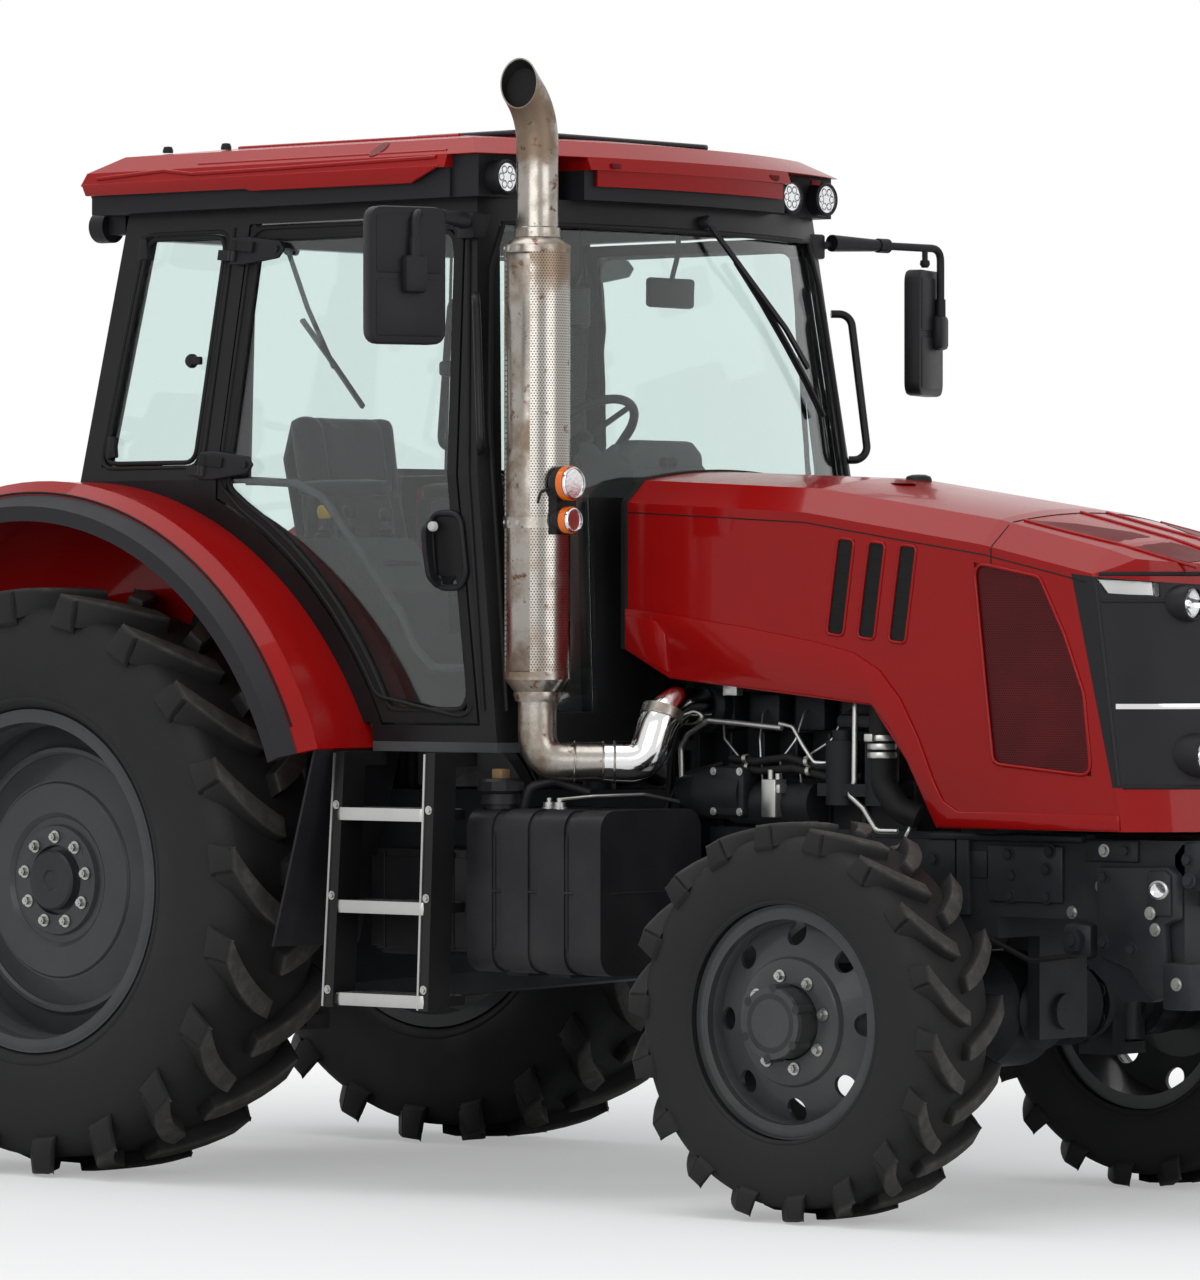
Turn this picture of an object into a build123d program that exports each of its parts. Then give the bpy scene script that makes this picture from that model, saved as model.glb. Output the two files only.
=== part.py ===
"""Farm tractor with a closed cab, tilting hood, driven front axle and rear three-point linkage.

Frame: millimetres, +X forward, +Y to the driver's left, +Z up. The origin lies on the ground
under the middle of the machine. Lengths along the machine are measured from the rear axle.
"""
import os
from math import atan2, cos, degrees, pi, radians, sin, sqrt, tan

from build123d import *

os.makedirs("parts", exist_ok=True)

# ---------------------------------------------------------------- stance
WHEELBASE = 2750
REAR_AXLE_X = -1315
FRONT_AXLE_X = REAR_AXLE_X + WHEELBASE
REAR_TRACK = 1760
FRONT_TRACK = 1610

# ---------------------------------------------------------------- clearances
SEAT_GAP = 0.3          # between a piece and the seat that carries it
SHAFT_GAP = 0.1         # radial, between a shaft and its own bore
PANEL_GAP = 8           # round a door or hood panel
JOINT_GAP = 6           # between the flat faces of pieces that turn past each other

# ---------------------------------------------------------------- tyres
REAR_TYRE_R = 868
REAR_TYRE_WIDTH = 467
REAR_BEAD_R = 480
REAR_LUGS = 20
REAR_LUG_HEIGHT = 45
FRONT_TYRE_R = 545
FRONT_TYRE_WIDTH = 310
FRONT_BEAD_R = 292
FRONT_LUGS = 18
FRONT_LUG_HEIGHT = 32
BEAD_INSET = 48         # of each bead from the tyre's widest plane
LUG_FOOT = 0.12         # share of the tyre's radius that a lug reaches down its shoulder
# columns: share of the tyre's half width, leading edge, trailing edge (shares of the pitch)
LUG_BAR = ((0.03, 0.44, 0.29), (1.03, -0.23, -0.44))
FLANGE_HEIGHT = 27      # of a rim flange above the bead
FLANGE_WALL = 12
DISC_WALL = 14
WHEEL_BOLT_R = 15

# ---------------------------------------------------------------- driveline
SHAFT_R = 55            # rear half shaft
TRUNNION_R = 50         # front axle's swing bearings
STUB_R = 17.5           # rear drive stub
STUB_LENGTH = 100
STUB_Z = 690
TRUMPET_END_Y = 862     # outer end of the rear axle trumpet
REAR_SHAFT_END_Y = 950
GEARBOX_HALF = 250
GEARBOX_BOTTOM = 470
GEARBOX_TOP = 1130
GEARBOX_REAR_X = REAR_AXLE_X - 300
ENGINE_REAR_X = REAR_AXLE_X + 1800
ENGINE_LENGTH = WHEELBASE - 1870
ENGINE_HALF = 262
SUMP_BOTTOM = 620

# ---------------------------------------------------------------- front frame and axle
RAIL_WALL = 38
RAIL_BOTTOM = 820
RAIL_TOP = 1050
RAIL_REAR_X = REAR_AXLE_X + 1960
SUPPORT_REAR_X = FRONT_AXLE_X + 550
SUPPORT_FRONT_X = FRONT_AXLE_X + 880
WEIGHT_SHELF_X = FRONT_AXLE_X + 985
SUPPORT_TOP = 1040
BEAM_Z = 545
BEAM_R = 95
KINGPIN_Y = 630
KINGPIN_R = 22
BARREL_R = 52
BARREL_HALF = 112       # half height of the knuckle's barrel
YOKE_WALL = 34
SPINDLE_R = 45
SPINDLE_END_Y = 900
KNUCKLE_END_Y = 785
STEER_ARM = 160         # kingpin to the steering rod's eye
ROD_R = 16
ROD_Z = BEAM_Z - 62

# ---------------------------------------------------------------- rear linkage
LINK_PIVOT_X = REAR_AXLE_X - 200
LINK_PIVOT_Z = 480
LINK_LENGTH = 900
LINK_END_Z = 600
LINK_PIVOT_Y = 300
LINK_END_Y = 412.5
LINK_PIN_R = 20
LIFT_PIN_R = 14
LIFT_SHAFT_R = 35
LINK_BALL_BORE_R = 14.35
LINK_BALL_WIDTH = 45
LIFT_REACH = 400        # along the link to the lift rod, equal to the lift arm's length
LIFT_SHAFT_Z = 1090
TOP_BALL_BORE_R = 12.85
TOP_BALL_HALF = 25.5
TOP_LINK_LENGTH = 620
TOP_PIN_Z = 960
DRAWBAR_HOLE_R = 16

# ---------------------------------------------------------------- cab
FLOOR_Z = 1290
FLOOR_WALL = 28
FLOOR_STEP_X = 1114      # the floor is wide ahead of this, from the rear axle
BELT_Z = 2050
CAB_TOP_Z = 2845
CAB_WALL = 55
GLASS_WALL = 6
GLASS_INSET = 12
# columns: height, half width, front corner, front middle, rear corner, rear middle
CAB_LEVELS = ((FLOOR_Z, 800, 1590, 1735, -20, -40),
              (BELT_Z, 850, 1560, 1708, -20, -60),
              (CAB_TOP_Z, 760, 1480, 1620, 95, 60))
DOOR_SWEEP_R = 1250     # rear lower door edge, about the rear wheel's centre
DOOR_BOTTOM_Z = 1345
DOOR_TOP_Z = 2790
DOOR_WALL = 32
DOOR_SEAL = 34
HINGE_LOW = (500, 868, 2090)      # on the hinge line: from the rear axle, to the left, height
HINGE_HIGH = (560, 800, 2720)
HINGE_PIN_R = 8
HINGE_BARREL_R = 15
HINGE_BARREL = 30
LOCK_BOX = ((1380, 1500), (1765, 1935))     # handle and lock: from the rear axle, height
SEAT_BASE_Z = 1700
COLUMN_FOOT = (1380, 1960)      # on the steering column's axis: from the rear axle, height
COLUMN_TOP = (1215, 2150)
WHEEL_RISE = 270                # steering wheel's middle above the column's foot

# ---------------------------------------------------------------- fenders
FENDER_R = 1180
FENDER_WALL = 15
FENDER_INNER_Y = 600
FENDER_OUTER_Y = 1075
FENDER_START = 20       # degrees above level, ahead of the axle
FENDER_END = 150
FENDER_EDGE_Y = 1028
FENDER_DROP = 36        # of the outer edge below the top
FLARE_WIDTH = 45

# ---------------------------------------------------------------- roof
ROOF_Z = 2930
ROOF_HALF = 835
ROOF_REAR = -35
ROOF_FRONT = 1690
LAMP_NOTCH_X = 1420
LAMP_NOTCH_Y = 455
LAMP_NOTCH_TOP = 2966
LAMP_Z = 2900
WORK_LAMP_R = 48
LAMP_YS = (725, 560)
REAR_LAMP_Y = 690
REAR_LAMP_Z = 2816
STACK_LAMP_X = 1812
STACK_LAMPS = ((2024, 47), (1920, 36))      # height, radius
# columns: height, inset from the roof's plan outline
ROOF_LEVELS = ((ROOF_Z, 0), (2968, 14), (3018, 95), (3045, 330))

# ---------------------------------------------------------------- hood
HOOD_REAR = 1760
HOOD_HALF = 440
HOOD_BASE_Z = 1066
HOOD_WALL = 14
# columns: distance from the rear axle, shoulder, chamfer top, crown
HOOD_SECTIONS = ((HOOD_REAR, 1975, 2040, 2070),
                 (WHEELBASE - 330, 1940, 2008, 2042),
                 (WHEELBASE + 300, 1845, 1915, 1950),
                 (WHEELBASE + 670, 1765, 1832, 1862),
                 (WHEELBASE + 1040, 1660, 1722, 1748))
# columns: height, nose corner, nose front
NOSE_LEVELS = ((1000, WHEELBASE + 780, WHEELBASE + 1008), (2200, WHEELBASE + 610, WHEELBASE + 860))
HOOD_CHAMFER_Y = 362
HOOD_HINGE = (1800, 2010)       # hinge line: from the rear axle, height
HOOD_PIN_R = 9
HOOD_LEAF_Y = (184, 206)
HOOD_END = WHEELBASE + 1150     # ahead of the whole nose
GRILLE_BOTTOM_Z = 1185
GRILLE_TOP_Z = 1765
GRILLE_SLOTS = 7

# ---------------------------------------------------------------- tanks and steps
TANK_Y = 625
TANK_Z = 872
TANK_WIDTH = 440
TANK_HEIGHT = 464
STEP_SPANS = ((1085, 1132), (1452, 1480))       # foot and head of each stringer, from the rear axle
TREAD_HEIGHTS = (555, 820, 1085)

# ---------------------------------------------------------------- mirrors
MIRROR_ARM_R = 12
MIRROR_YAW = 20         # degrees, towards the driver
# columns: side, elbow and head from the rear axle, elbow and head to the side, arm's height, head's middle
MIRROR_PLACES = ((-1, 1640, 1618, 1215, 1222, 2765, 2600), (1, 1560, 1512, 1290, 1262, 2765, 2515))

# ---------------------------------------------------------------- exhaust
MUFFLER_X = 1700
MUFFLER_Y = -752
MUFFLER_R = 90
MUFFLER_BOTTOM = 1468
MUFFLER_TOP = 2700
TAIL_R = 60
PIPE_R = 45
TAIL_TOP = 3245
MANIFOLD_Y = -300
TURBO_Y = 345
TURBO_Z = 1395


def fore(distance):
    """Place along the machine of a point so far ahead of the rear axle."""
    return REAR_AXLE_X + distance


def keep(part, name):
    """Label a finished piece and write its STEP file."""
    part.label = name
    export_step(part, f"parts/{name}.step")


def mirrored(part):
    """The same piece on the other side of the machine."""
    return mirror(part, about=Plane.XZ, mode=Mode.PRIVATE)


def pair(part):
    """A piece and its mirror image as one part."""
    with BuildPart() as both:
        add(part)
        add(mirrored(part))
    return both.part


def side_plate(outline, low, high):
    """Prism across the machine over an outline in the side view, from y=low to y=high."""
    with BuildPart() as plate:
        with BuildSketch(Plane.XZ.offset(-high)):
            with BuildLine():
                Polyline(*outline, close=True)
            make_face()
        extrude(amount=high - low)
    return plate.part


def bar_y(x, z, radius, low, high):
    """Round bar across the machine."""
    with BuildPart() as bar:
        with BuildSketch(Plane.XZ.offset(-high)):
            with Locations((x, z)):
                Circle(radius)
        extrude(amount=high - low)
    return bar.part


def bar_z(x, y, radius, low, high):
    """Upright round bar."""
    with BuildPart() as bar:
        with BuildSketch(Plane.XY.offset(low)):
            with Locations((x, y)):
                Circle(radius)
        extrude(amount=high - low)
    return bar.part


def bar_x(y, z, radius, low, high):
    """Round bar along the machine."""
    with BuildPart() as bar:
        with BuildSketch(Plane.YZ.offset(low)):
            with Locations((y, z)):
                Circle(radius)
        extrude(amount=high - low)
    return bar.part


def block(x, y, z):
    """Box between the given pairs of faces."""
    with BuildPart() as box:
        with BuildSketch(Plane.XY.offset(z[0])):
            with Locations(((x[0] + x[1]) / 2, (y[0] + y[1]) / 2)):
                Rectangle(x[1] - x[0], y[1] - y[0])
        extrude(amount=z[1] - z[0])
    return box.part


def tube_path(points, bend, radius):
    """Round tube along straight runs joined by tangent arcs."""
    with BuildPart() as tube:
        with BuildLine():
            path = FilletPolyline(*points, radius=bend)
        with BuildSketch(Plane(origin=path @ 0, z_dir=path % 0)):
            Circle(radius)
        sweep()
    return tube.part


def within(body, *regions):
    """What of a body lies inside any of the given regions."""
    shares = [body & region for region in regions]
    with BuildPart() as pieces:
        for share in shares:
            add(share)
    return pieces.part


# ================================================================ wheels
def tyre(radius, width, bead, lugs, lug_height):
    """Drive tyre about its own centre, axis along Y. The bars' middle ends lead when it rolls forward."""
    half = width / 2
    crown = radius - lug_height
    wall_y = half - 6
    bead_y = half - BEAD_INSET
    shoulder_y = 0.8 * half
    wall_r = crown - 0.13 * radius
    rim_r = bead + FLANGE_HEIGHT + 9
    turn = 360 / lugs
    flat = cos(radians(turn / 2))
    spread = tan(radians(turn / 2)) * radius
    # one flat of the carcass, bead to bead
    with BuildPart() as sector:
        with BuildSketch(Plane.YZ.offset(-spread)):
            with BuildLine():
                Polyline((-bead_y, bead), (-bead_y, rim_r), (-wall_y, wall_r * flat),
                         (-shoulder_y, crown * flat), (shoulder_y, crown * flat), (wall_y, wall_r * flat),
                         (bead_y, rim_r), (bead_y, bead), close=True)
            make_face()
        extrude(amount=2 * spread)
        with BuildSketch(Plane.XZ.offset(half)):
            with BuildLine():
                Polyline((0, 0), (spread, radius), (-spread, radius), close=True)
            make_face()
        extrude(amount=-width, mode=Mode.INTERSECT)
    pitch = 2 * pi * radius / lugs
    foot = crown - LUG_FOOT * radius
    top = sqrt(radius ** 2 - (LUG_BAR[0][1] * pitch) ** 2)
    tip_y = LUG_BAR[1][0] * half
    ahead = [(lead * pitch, share * half) for share, lead, trail in LUG_BAR]
    behind = [(trail * pitch, share * half) for share, lead, trail in reversed(LUG_BAR)]
    with BuildPart() as lug:
        with BuildSketch(Plane.XY.offset(foot)):
            with BuildLine():
                Polyline(*ahead, *behind, close=True)
            make_face()
        extrude(amount=top - foot)
        # its outer end leans in towards the foot
        with BuildSketch(Plane.YZ):
            with BuildLine():
                Polyline((tip_y + 1, top), (tip_y + 1, foot - 1), (0.92 * tip_y, foot - 1), close=True)
            make_face()
        extrude(amount=pitch, both=True, mode=Mode.SUBTRACT)
    with BuildPart() as ring:
        with Locations(*[Location((0, 0, 0), (0, count * turn, 0)) for count in range(lugs)]):
            add(sector.part)
        with Locations(*[Location((0, 0, 0), (0, count * turn, 0)) for count in range(lugs)]):
            add(lug.part)
        with Locations(*[Location((0, 0, 0), (0, (count + 0.5) * turn, 0)) for count in range(lugs)]):
            add(mirrored(lug.part))
    return ring.part


def rim(bead, width, disc, hub, bore, holes):
    """Wheel rim about its own centre: barrel, flanges, dished disc and hub. +Y is outboard.

    disc: outboard face of the disc at the barrel and at the hub.
    hub: inboard face, outboard face and radius. bore: radius and depth from inboard.
    holes: count, radius and pitch radius of the hand holes, then count and pitch radius of the bolts.
    """
    bead_y = width / 2 - BEAD_INSET
    outer = bead - SEAT_GAP
    inner = bead - FLANGE_WALL
    flange = bead + FLANGE_HEIGHT
    with BuildPart() as wheel:
        with BuildSketch(Plane.YZ):
            with BuildLine():
                Polyline((-bead_y - FLANGE_WALL, inner), (bead_y + FLANGE_WALL, inner),
                         (bead_y + FLANGE_WALL, flange), (bead_y + SEAT_GAP, flange),
                         (bead_y + SEAT_GAP, outer), (-bead_y - SEAT_GAP, outer),
                         (-bead_y - SEAT_GAP, flange), (-bead_y - FLANGE_WALL, flange), close=True)
            make_face()
            with BuildLine():
                Polyline((disc[0], inner + 2), (disc[1], 0.62 * bead), (disc[1], 10),
                         (disc[1] - DISC_WALL, 10),
                         (disc[1] - DISC_WALL, 0.62 * bead - 4), (disc[0] - DISC_WALL, inner + 2), close=True)
            make_face()
            with Locations(((hub[0] + hub[1]) / 2, hub[2] / 2)):
                Rectangle(hub[1] - hub[0], hub[2])
        revolve(axis=Axis.Y)
        with BuildSketch(Plane.XZ.offset(-hub[0])):
            Circle(bore[0])
        extrude(amount=-bore[1], mode=Mode.SUBTRACT)
        with BuildSketch(Plane.XZ.offset(-disc[1] + DISC_WALL + 60)):
            with PolarLocations(holes[2], holes[0]):
                Circle(holes[1])
        extrude(amount=-150, mode=Mode.SUBTRACT)
        with BuildSketch(Plane.XZ.offset(-disc[1])):
            with PolarLocations(holes[4], holes[3]):
                RegularPolygon(WHEEL_BOLT_R, 6)
        extrude(amount=-16)
    return wheel.part


rear_y = REAR_TRACK / 2
front_y = FRONT_TRACK / 2
rear_hub_in = TRUMPET_END_Y + JOINT_GAP - rear_y
front_hub_in = KNUCKLE_END_Y + JOINT_GAP - front_y
wheel_pieces = (
    ("rear_tyre", (REAR_AXLE_X, rear_y, REAR_TYRE_R),
     tyre(REAR_TYRE_R, REAR_TYRE_WIDTH, REAR_BEAD_R, REAR_LUGS, REAR_LUG_HEIGHT)),
    ("rear_rim", (REAR_AXLE_X, rear_y, REAR_TYRE_R),
     rim(REAR_BEAD_R, REAR_TYRE_WIDTH, (20, 78), (rear_hub_in, 108, 88),
         (SHAFT_R + SHAFT_GAP, REAR_SHAFT_END_Y - rear_y - rear_hub_in + 4), (8, 11, 235, 9, 128))),
    ("front_tyre", (FRONT_AXLE_X, front_y, FRONT_TYRE_R),
     tyre(FRONT_TYRE_R, FRONT_TYRE_WIDTH, FRONT_BEAD_R, FRONT_LUGS, FRONT_LUG_HEIGHT)),
    ("front_rim", (FRONT_AXLE_X, front_y, FRONT_TYRE_R),
     rim(FRONT_BEAD_R, FRONT_TYRE_WIDTH, (60, 95), (front_hub_in, 190, 98),
         (SPINDLE_R + SHAFT_GAP, SPINDLE_END_Y - front_y - front_hub_in + 4), (8, 32, 240, 8, 128))),
)
for name, centre, shape in wheel_pieces:
    with BuildPart() as wheel_left:
        with Locations(centre):
            add(shape)
    keep(wheel_left.part, f"{name}_left")
    keep(mirrored(wheel_left.part), f"{name}_right")


# ================================================================ driveline
with BuildPart() as transmission:
    # clutch housing, gearbox and rear axle centre in side view
    with BuildSketch(Plane.XZ):
        with BuildLine():
            Polyline((GEARBOX_REAR_X, GEARBOX_BOTTOM + 60), (REAR_AXLE_X - 120, GEARBOX_BOTTOM),
                     (REAR_AXLE_X + 500, GEARBOX_BOTTOM + 20), (ENGINE_REAR_X, SUMP_BOTTOM),
                     (ENGINE_REAR_X, GEARBOX_TOP + 20), (REAR_AXLE_X + 400, GEARBOX_TOP),
                     (REAR_AXLE_X - 180, GEARBOX_TOP + 60), (GEARBOX_REAR_X, GEARBOX_TOP - 60), close=True)
        make_face()
    extrude(amount=GEARBOX_HALF, both=True)
    chamfer(transmission.edges().filter_by(Axis.X, tolerance=30).filter_by(
        lambda edge: abs(edge.center().Z - (GEARBOX_BOTTOM + 10)) < 20), length=60)
    # rubber mounts under the cab floor
    for distance in (330, 1450):
        for side in (-1, 1):
            add(bar_z(fore(distance), side * 190, 48, GEARBOX_TOP - 30, FLOOR_Z - FLOOR_WALL))
    # lift shaft and its boss, lower link pins in their bracket
    add(bar_y(LINK_PIVOT_X, LIFT_SHAFT_Z, 70, -255, 255))
    add(bar_y(LINK_PIVOT_X, LIFT_SHAFT_Z, LIFT_SHAFT_R, -LINK_PIVOT_Y - 14, LINK_PIVOT_Y + 14))
    add(block((LINK_PIVOT_X - 60, LINK_PIVOT_X + 60), (-GEARBOX_HALF, GEARBOX_HALF), (440, 540)))
    add(bar_y(LINK_PIVOT_X, LINK_PIVOT_Z, LINK_PIN_R, -LINK_PIVOT_Y - 26, LINK_PIVOT_Y + 26))
    # drive stub and its guard
    boss_x = GEARBOX_REAR_X - 30
    add(bar_x(0, STUB_Z, 60, boss_x, GEARBOX_REAR_X + 10))
    add(bar_x(0, STUB_Z, STUB_R, boss_x - STUB_LENGTH, boss_x))
    add(block((boss_x - STUB_LENGTH - 10, GEARBOX_REAR_X + 10), (-105, 105), (STUB_Z + 100, STUB_Z + 110)))
    # shelves that carry the tank and the battery box
    for side in (-1, 1):
        low, high = sorted((side * (GEARBOX_HALF - 100), side * 700))
        add(block((fore(1540), fore(1620)), (low, high), (625, 640)))
        add(block((fore(1700), fore(1780)), (low, high), (625, 640)))
        add(block((fore(1060), fore(1320)), (low, high), (675, 690)))
keep(transmission.part, "transmission")

with BuildPart() as half_axle:
    with BuildSketch(Plane.YZ):
        with BuildLine():
            Polyline((GEARBOX_HALF, 0), (GEARBOX_HALF, 205), (330, 205), (430, 135), (700, 125), (700, 190),
                     (TRUMPET_END_Y, 190), (TRUMPET_END_Y, SHAFT_R), (REAR_SHAFT_END_Y, SHAFT_R),
                     (REAR_SHAFT_END_Y, 0), close=True)
        make_face()
    revolve(axis=Axis.Y)
with BuildPart() as rear_axle:
    with Locations((REAR_AXLE_X, 0, REAR_TYRE_R)):
        add(half_axle.part)
        add(mirrored(half_axle.part))
keep(rear_axle.part, "rear_axle")

engine_front = ENGINE_REAR_X + ENGINE_LENGTH
with BuildPart() as engine:
    add(block((ENGINE_REAR_X, engine_front), (-ENGINE_HALF, ENGINE_HALF), (RAIL_BOTTOM, 1190)))
    add(block((ENGINE_REAR_X + 60, engine_front - 180), (-200, 200), (SUMP_BOTTOM, RAIL_BOTTOM)))
    add(block((ENGINE_REAR_X + 20, engine_front - 60), (-205, 205), (1190, 1600)))
    add(block((ENGINE_REAR_X + 60, engine_front - 100), (-120, 150), (1600, 1730)))
    fillet(engine.edges().filter_by(Axis.X).group_by(Axis.Z)[-1], radius=40)
keep(engine.part, "engine")

with BuildPart() as engine_fittings:
    # exhaust ports and manifold, right side
    for port in range(4):
        add(block((fore(1930 + 170 * port), fore(1990 + 170 * port)), (MANIFOLD_Y, -205), (1440, 1500)))
    add(bar_x(MANIFOLD_Y, 1470, 36, fore(1900), fore(2540)))
    # turbocharger under the manifold, its outlet facing outwards
    add(bar_y(fore(1950), TURBO_Z, 56, -TURBO_Y, -205))
    # injection pump
    add(bar_x(-322, 1120, 60, fore(2080), fore(2380)))
    add(block((fore(2130), fore(2330)), (-322, -ENGINE_HALF), (1080, 1150)))
    # fuel filters on their head
    for distance in (2470, 2610):
        add(bar_z(fore(distance), -330, 48, 1120, 1300))
        add(bar_z(fore(distance), -330, 30, 1300, 1330))
    add(block((fore(2410), fore(2670)), (-370, -ENGINE_HALF), (1145, 1180)))
    # alternator, left side, and starter
    add(bar_x(330, 1300, 68, fore(2480), fore(2640)))
    add(block((fore(2520), fore(2600)), (205, 330), (1270, 1320)))
    add(bar_x(322, 1115, 58, fore(1830), fore(2080)))
    add(block((fore(1840), fore(1940)), (ENGINE_HALF, 322), (1070, 1150)))
    # fan on its hub
    add(bar_x(0, 1400, 60, engine_front - 60, fore(2800)))
    with BuildSketch(Plane.YZ.offset(fore(2790))):
        with Locations((0, 1400)):
            Circle(95)
            with PolarLocations(175, 7):
                Rectangle(200, 90)
    extrude(amount=22)
    # intake duct to the air filter over the engine
    add(bar_x(250, 1720, 95, fore(1960), fore(2420)))
    add(block((fore(2140), fore(2260)), (160, 290), (1600, 1660)))
    # carrier of the hood's hinge, on the back of the cylinder head
    for side in (-1, 1):
        carrier = [(fore(1825), 1600), (fore(1905), 1600), (fore(1905), 1700), (fore(1825), 2028),
                   (fore(1782), 2028), (fore(1782), 1990)]
        low, high = sorted((side * (HOOD_LEAF_Y[0] - 20), side * (HOOD_LEAF_Y[0] - 4)))
        add(side_plate(carrier, low, high))
    add(bar_y(fore(HOOD_HINGE[0]), HOOD_HINGE[1], HOOD_PIN_R, -HOOD_LEAF_Y[1] - 6, HOOD_LEAF_Y[1] + 6))
keep(engine_fittings.part, "engine_fittings")

with BuildPart() as radiator:
    core_x = FRONT_AXLE_X + 175
    add(block((core_x, core_x + 120), (-375, 375), (RAIL_TOP, 1740)))
    add(block((core_x + 127, core_x + 160), (-330, 330), (1180, 1640)))
    for height in (1250, 1520):
        add(block((core_x + 115, core_x + 131), (-300, 300), (height, height + 50)))
keep(radiator.part, "radiator")


# ================================================================ front frame and axle
rail_y = ENGINE_HALF + RAIL_WALL
with BuildPart() as front_frame:
    rail = [(RAIL_REAR_X, RAIL_BOTTOM + 40), (RAIL_REAR_X + 60, RAIL_BOTTOM), (SUPPORT_REAR_X, RAIL_BOTTOM),
            (SUPPORT_REAR_X, RAIL_TOP), (RAIL_REAR_X, RAIL_TOP)]
    for side in (-1, 1):
        low, high = sorted((side * ENGINE_HALF, side * rail_y))
        add(side_plate(rail, low, high))
    # front support casting with its tow pin jaw and weight carrier
    support = [(SUPPORT_REAR_X, 700), (SUPPORT_REAR_X + 120, 600), (SUPPORT_FRONT_X, 600),
               (SUPPORT_FRONT_X, SUPPORT_TOP), (SUPPORT_REAR_X, SUPPORT_TOP)]
    add(side_plate(support, -rail_y, rail_y))
    add(block((SUPPORT_FRONT_X - 20, WEIGHT_SHELF_X), (-230, 230), (640, 700)))
    add(block((SUPPORT_FRONT_X - 20, WEIGHT_SHELF_X), (-230, 230), (860, 905)))
    # saddle that carries the axle's trunnions
    add(block((FRONT_AXLE_X - 245, FRONT_AXLE_X + 245), (-rail_y, rail_y), (RAIL_BOTTOM - 60, RAIL_BOTTOM)))
    for low in (-245, 205):
        add(block((FRONT_AXLE_X + low, FRONT_AXLE_X + low + 40), (-110, 110),
                  (BEAM_Z - 75, RAIL_BOTTOM - 40)))
        bore = bar_x(0, BEAM_Z, TRUNNION_R + SEAT_GAP, FRONT_AXLE_X + low - 5, FRONT_AXLE_X + low + 45)
        add(bore, mode=Mode.SUBTRACT)
keep(front_frame.part, "front_frame")

cylinder_x = FRONT_AXLE_X - STEER_ARM
with BuildPart() as front_beam:
    with BuildSketch(Plane.YZ):
        with BuildLine():
            Polyline((-540, 0), (-540, 70), (-170, BEAM_R), (-90, 165), (90, 165), (170, BEAM_R), (540, 70),
                     (540, 0), close=True)
        make_face()
    revolve(axis=Axis.Y)
with BuildPart() as front_axle:
    with Locations((FRONT_AXLE_X, 0, BEAM_Z)):
        add(front_beam.part)
    add(bar_x(0, BEAM_Z, TRUNNION_R, FRONT_AXLE_X - 260, FRONT_AXLE_X + 260))
    ear_gap = BARREL_HALF + JOINT_GAP
    for side in (-1, 1):
        for up in (-1, 1):
            ear = sorted((BEAM_Z + up * ear_gap, BEAM_Z + up * (ear_gap + YOKE_WALL)))
            span = sorted((side * 500, side * KINGPIN_Y))
            add(block((FRONT_AXLE_X - 55, FRONT_AXLE_X + 55), span, ear))
            add(bar_z(FRONT_AXLE_X, side * KINGPIN_Y, 55, ear[0], ear[1]))
            with Locations((FRONT_AXLE_X, side * KINGPIN_Y, sum(ear) / 2)):
                Cylinder(KINGPIN_R + SHAFT_GAP, YOKE_WALL + 2, mode=Mode.SUBTRACT)
        span = sorted((side * 480, side * 540))
        add(block((FRONT_AXLE_X - 60, FRONT_AXLE_X + 60), span,
                  (BEAM_Z - ear_gap - YOKE_WALL, BEAM_Z + ear_gap + YOKE_WALL)))
    # steering cylinder behind the beam
    for clamp in ((-150, -110), (110, 150)):
        add(block((cylinder_x, FRONT_AXLE_X - 60), clamp, (ROD_Z - 20, ROD_Z + 45)))
    add(bar_y(cylinder_x, ROD_Z, 36, -240, 240))
    with BuildSketch(Plane.XZ.offset(-300)):
        with Locations((cylinder_x, ROD_Z)):
            Circle(ROD_R + SHAFT_GAP)
    extrude(amount=600, mode=Mode.SUBTRACT)
keep(front_axle.part, "front_axle")

with BuildPart() as steering_rod:
    add(bar_y(cylinder_x, ROD_Z, ROD_R, -KINGPIN_Y, KINGPIN_Y))
    for side in (-1, 1):
        add(bar_z(cylinder_x, side * KINGPIN_Y, 26, ROD_Z - 18, ROD_Z + 18))
keep(steering_rod.part, "steering_rod")

with BuildPart() as knuckle:
    add(bar_z(FRONT_AXLE_X, KINGPIN_Y, BARREL_R, BEAM_Z - BARREL_HALF, BEAM_Z + BARREL_HALF))
    pin_half = BARREL_HALF + YOKE_WALL
    add(bar_z(FRONT_AXLE_X, KINGPIN_Y, KINGPIN_R, BEAM_Z - pin_half, BEAM_Z + pin_half))
    add(bar_y(FRONT_AXLE_X, BEAM_Z, 104, KINGPIN_Y + 40, KNUCKLE_END_Y))
    add(bar_y(FRONT_AXLE_X, BEAM_Z, 70, KINGPIN_Y, KINGPIN_Y + 45))
    add(bar_y(FRONT_AXLE_X, BEAM_Z, SPINDLE_R, KNUCKLE_END_Y - 5, SPINDLE_END_Y))
    # steering arm, over the rod's eye
    arm_z = ROD_Z + 18 + JOINT_GAP
    add(block((cylinder_x, FRONT_AXLE_X), (KINGPIN_Y - 24, KINGPIN_Y + 24), (arm_z, arm_z + 26)))
    add(bar_z(cylinder_x, KINGPIN_Y, 30, arm_z, arm_z + 26))
keep(knuckle.part, "knuckle_left")
keep(mirrored(knuckle.part), "knuckle_right")


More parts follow.
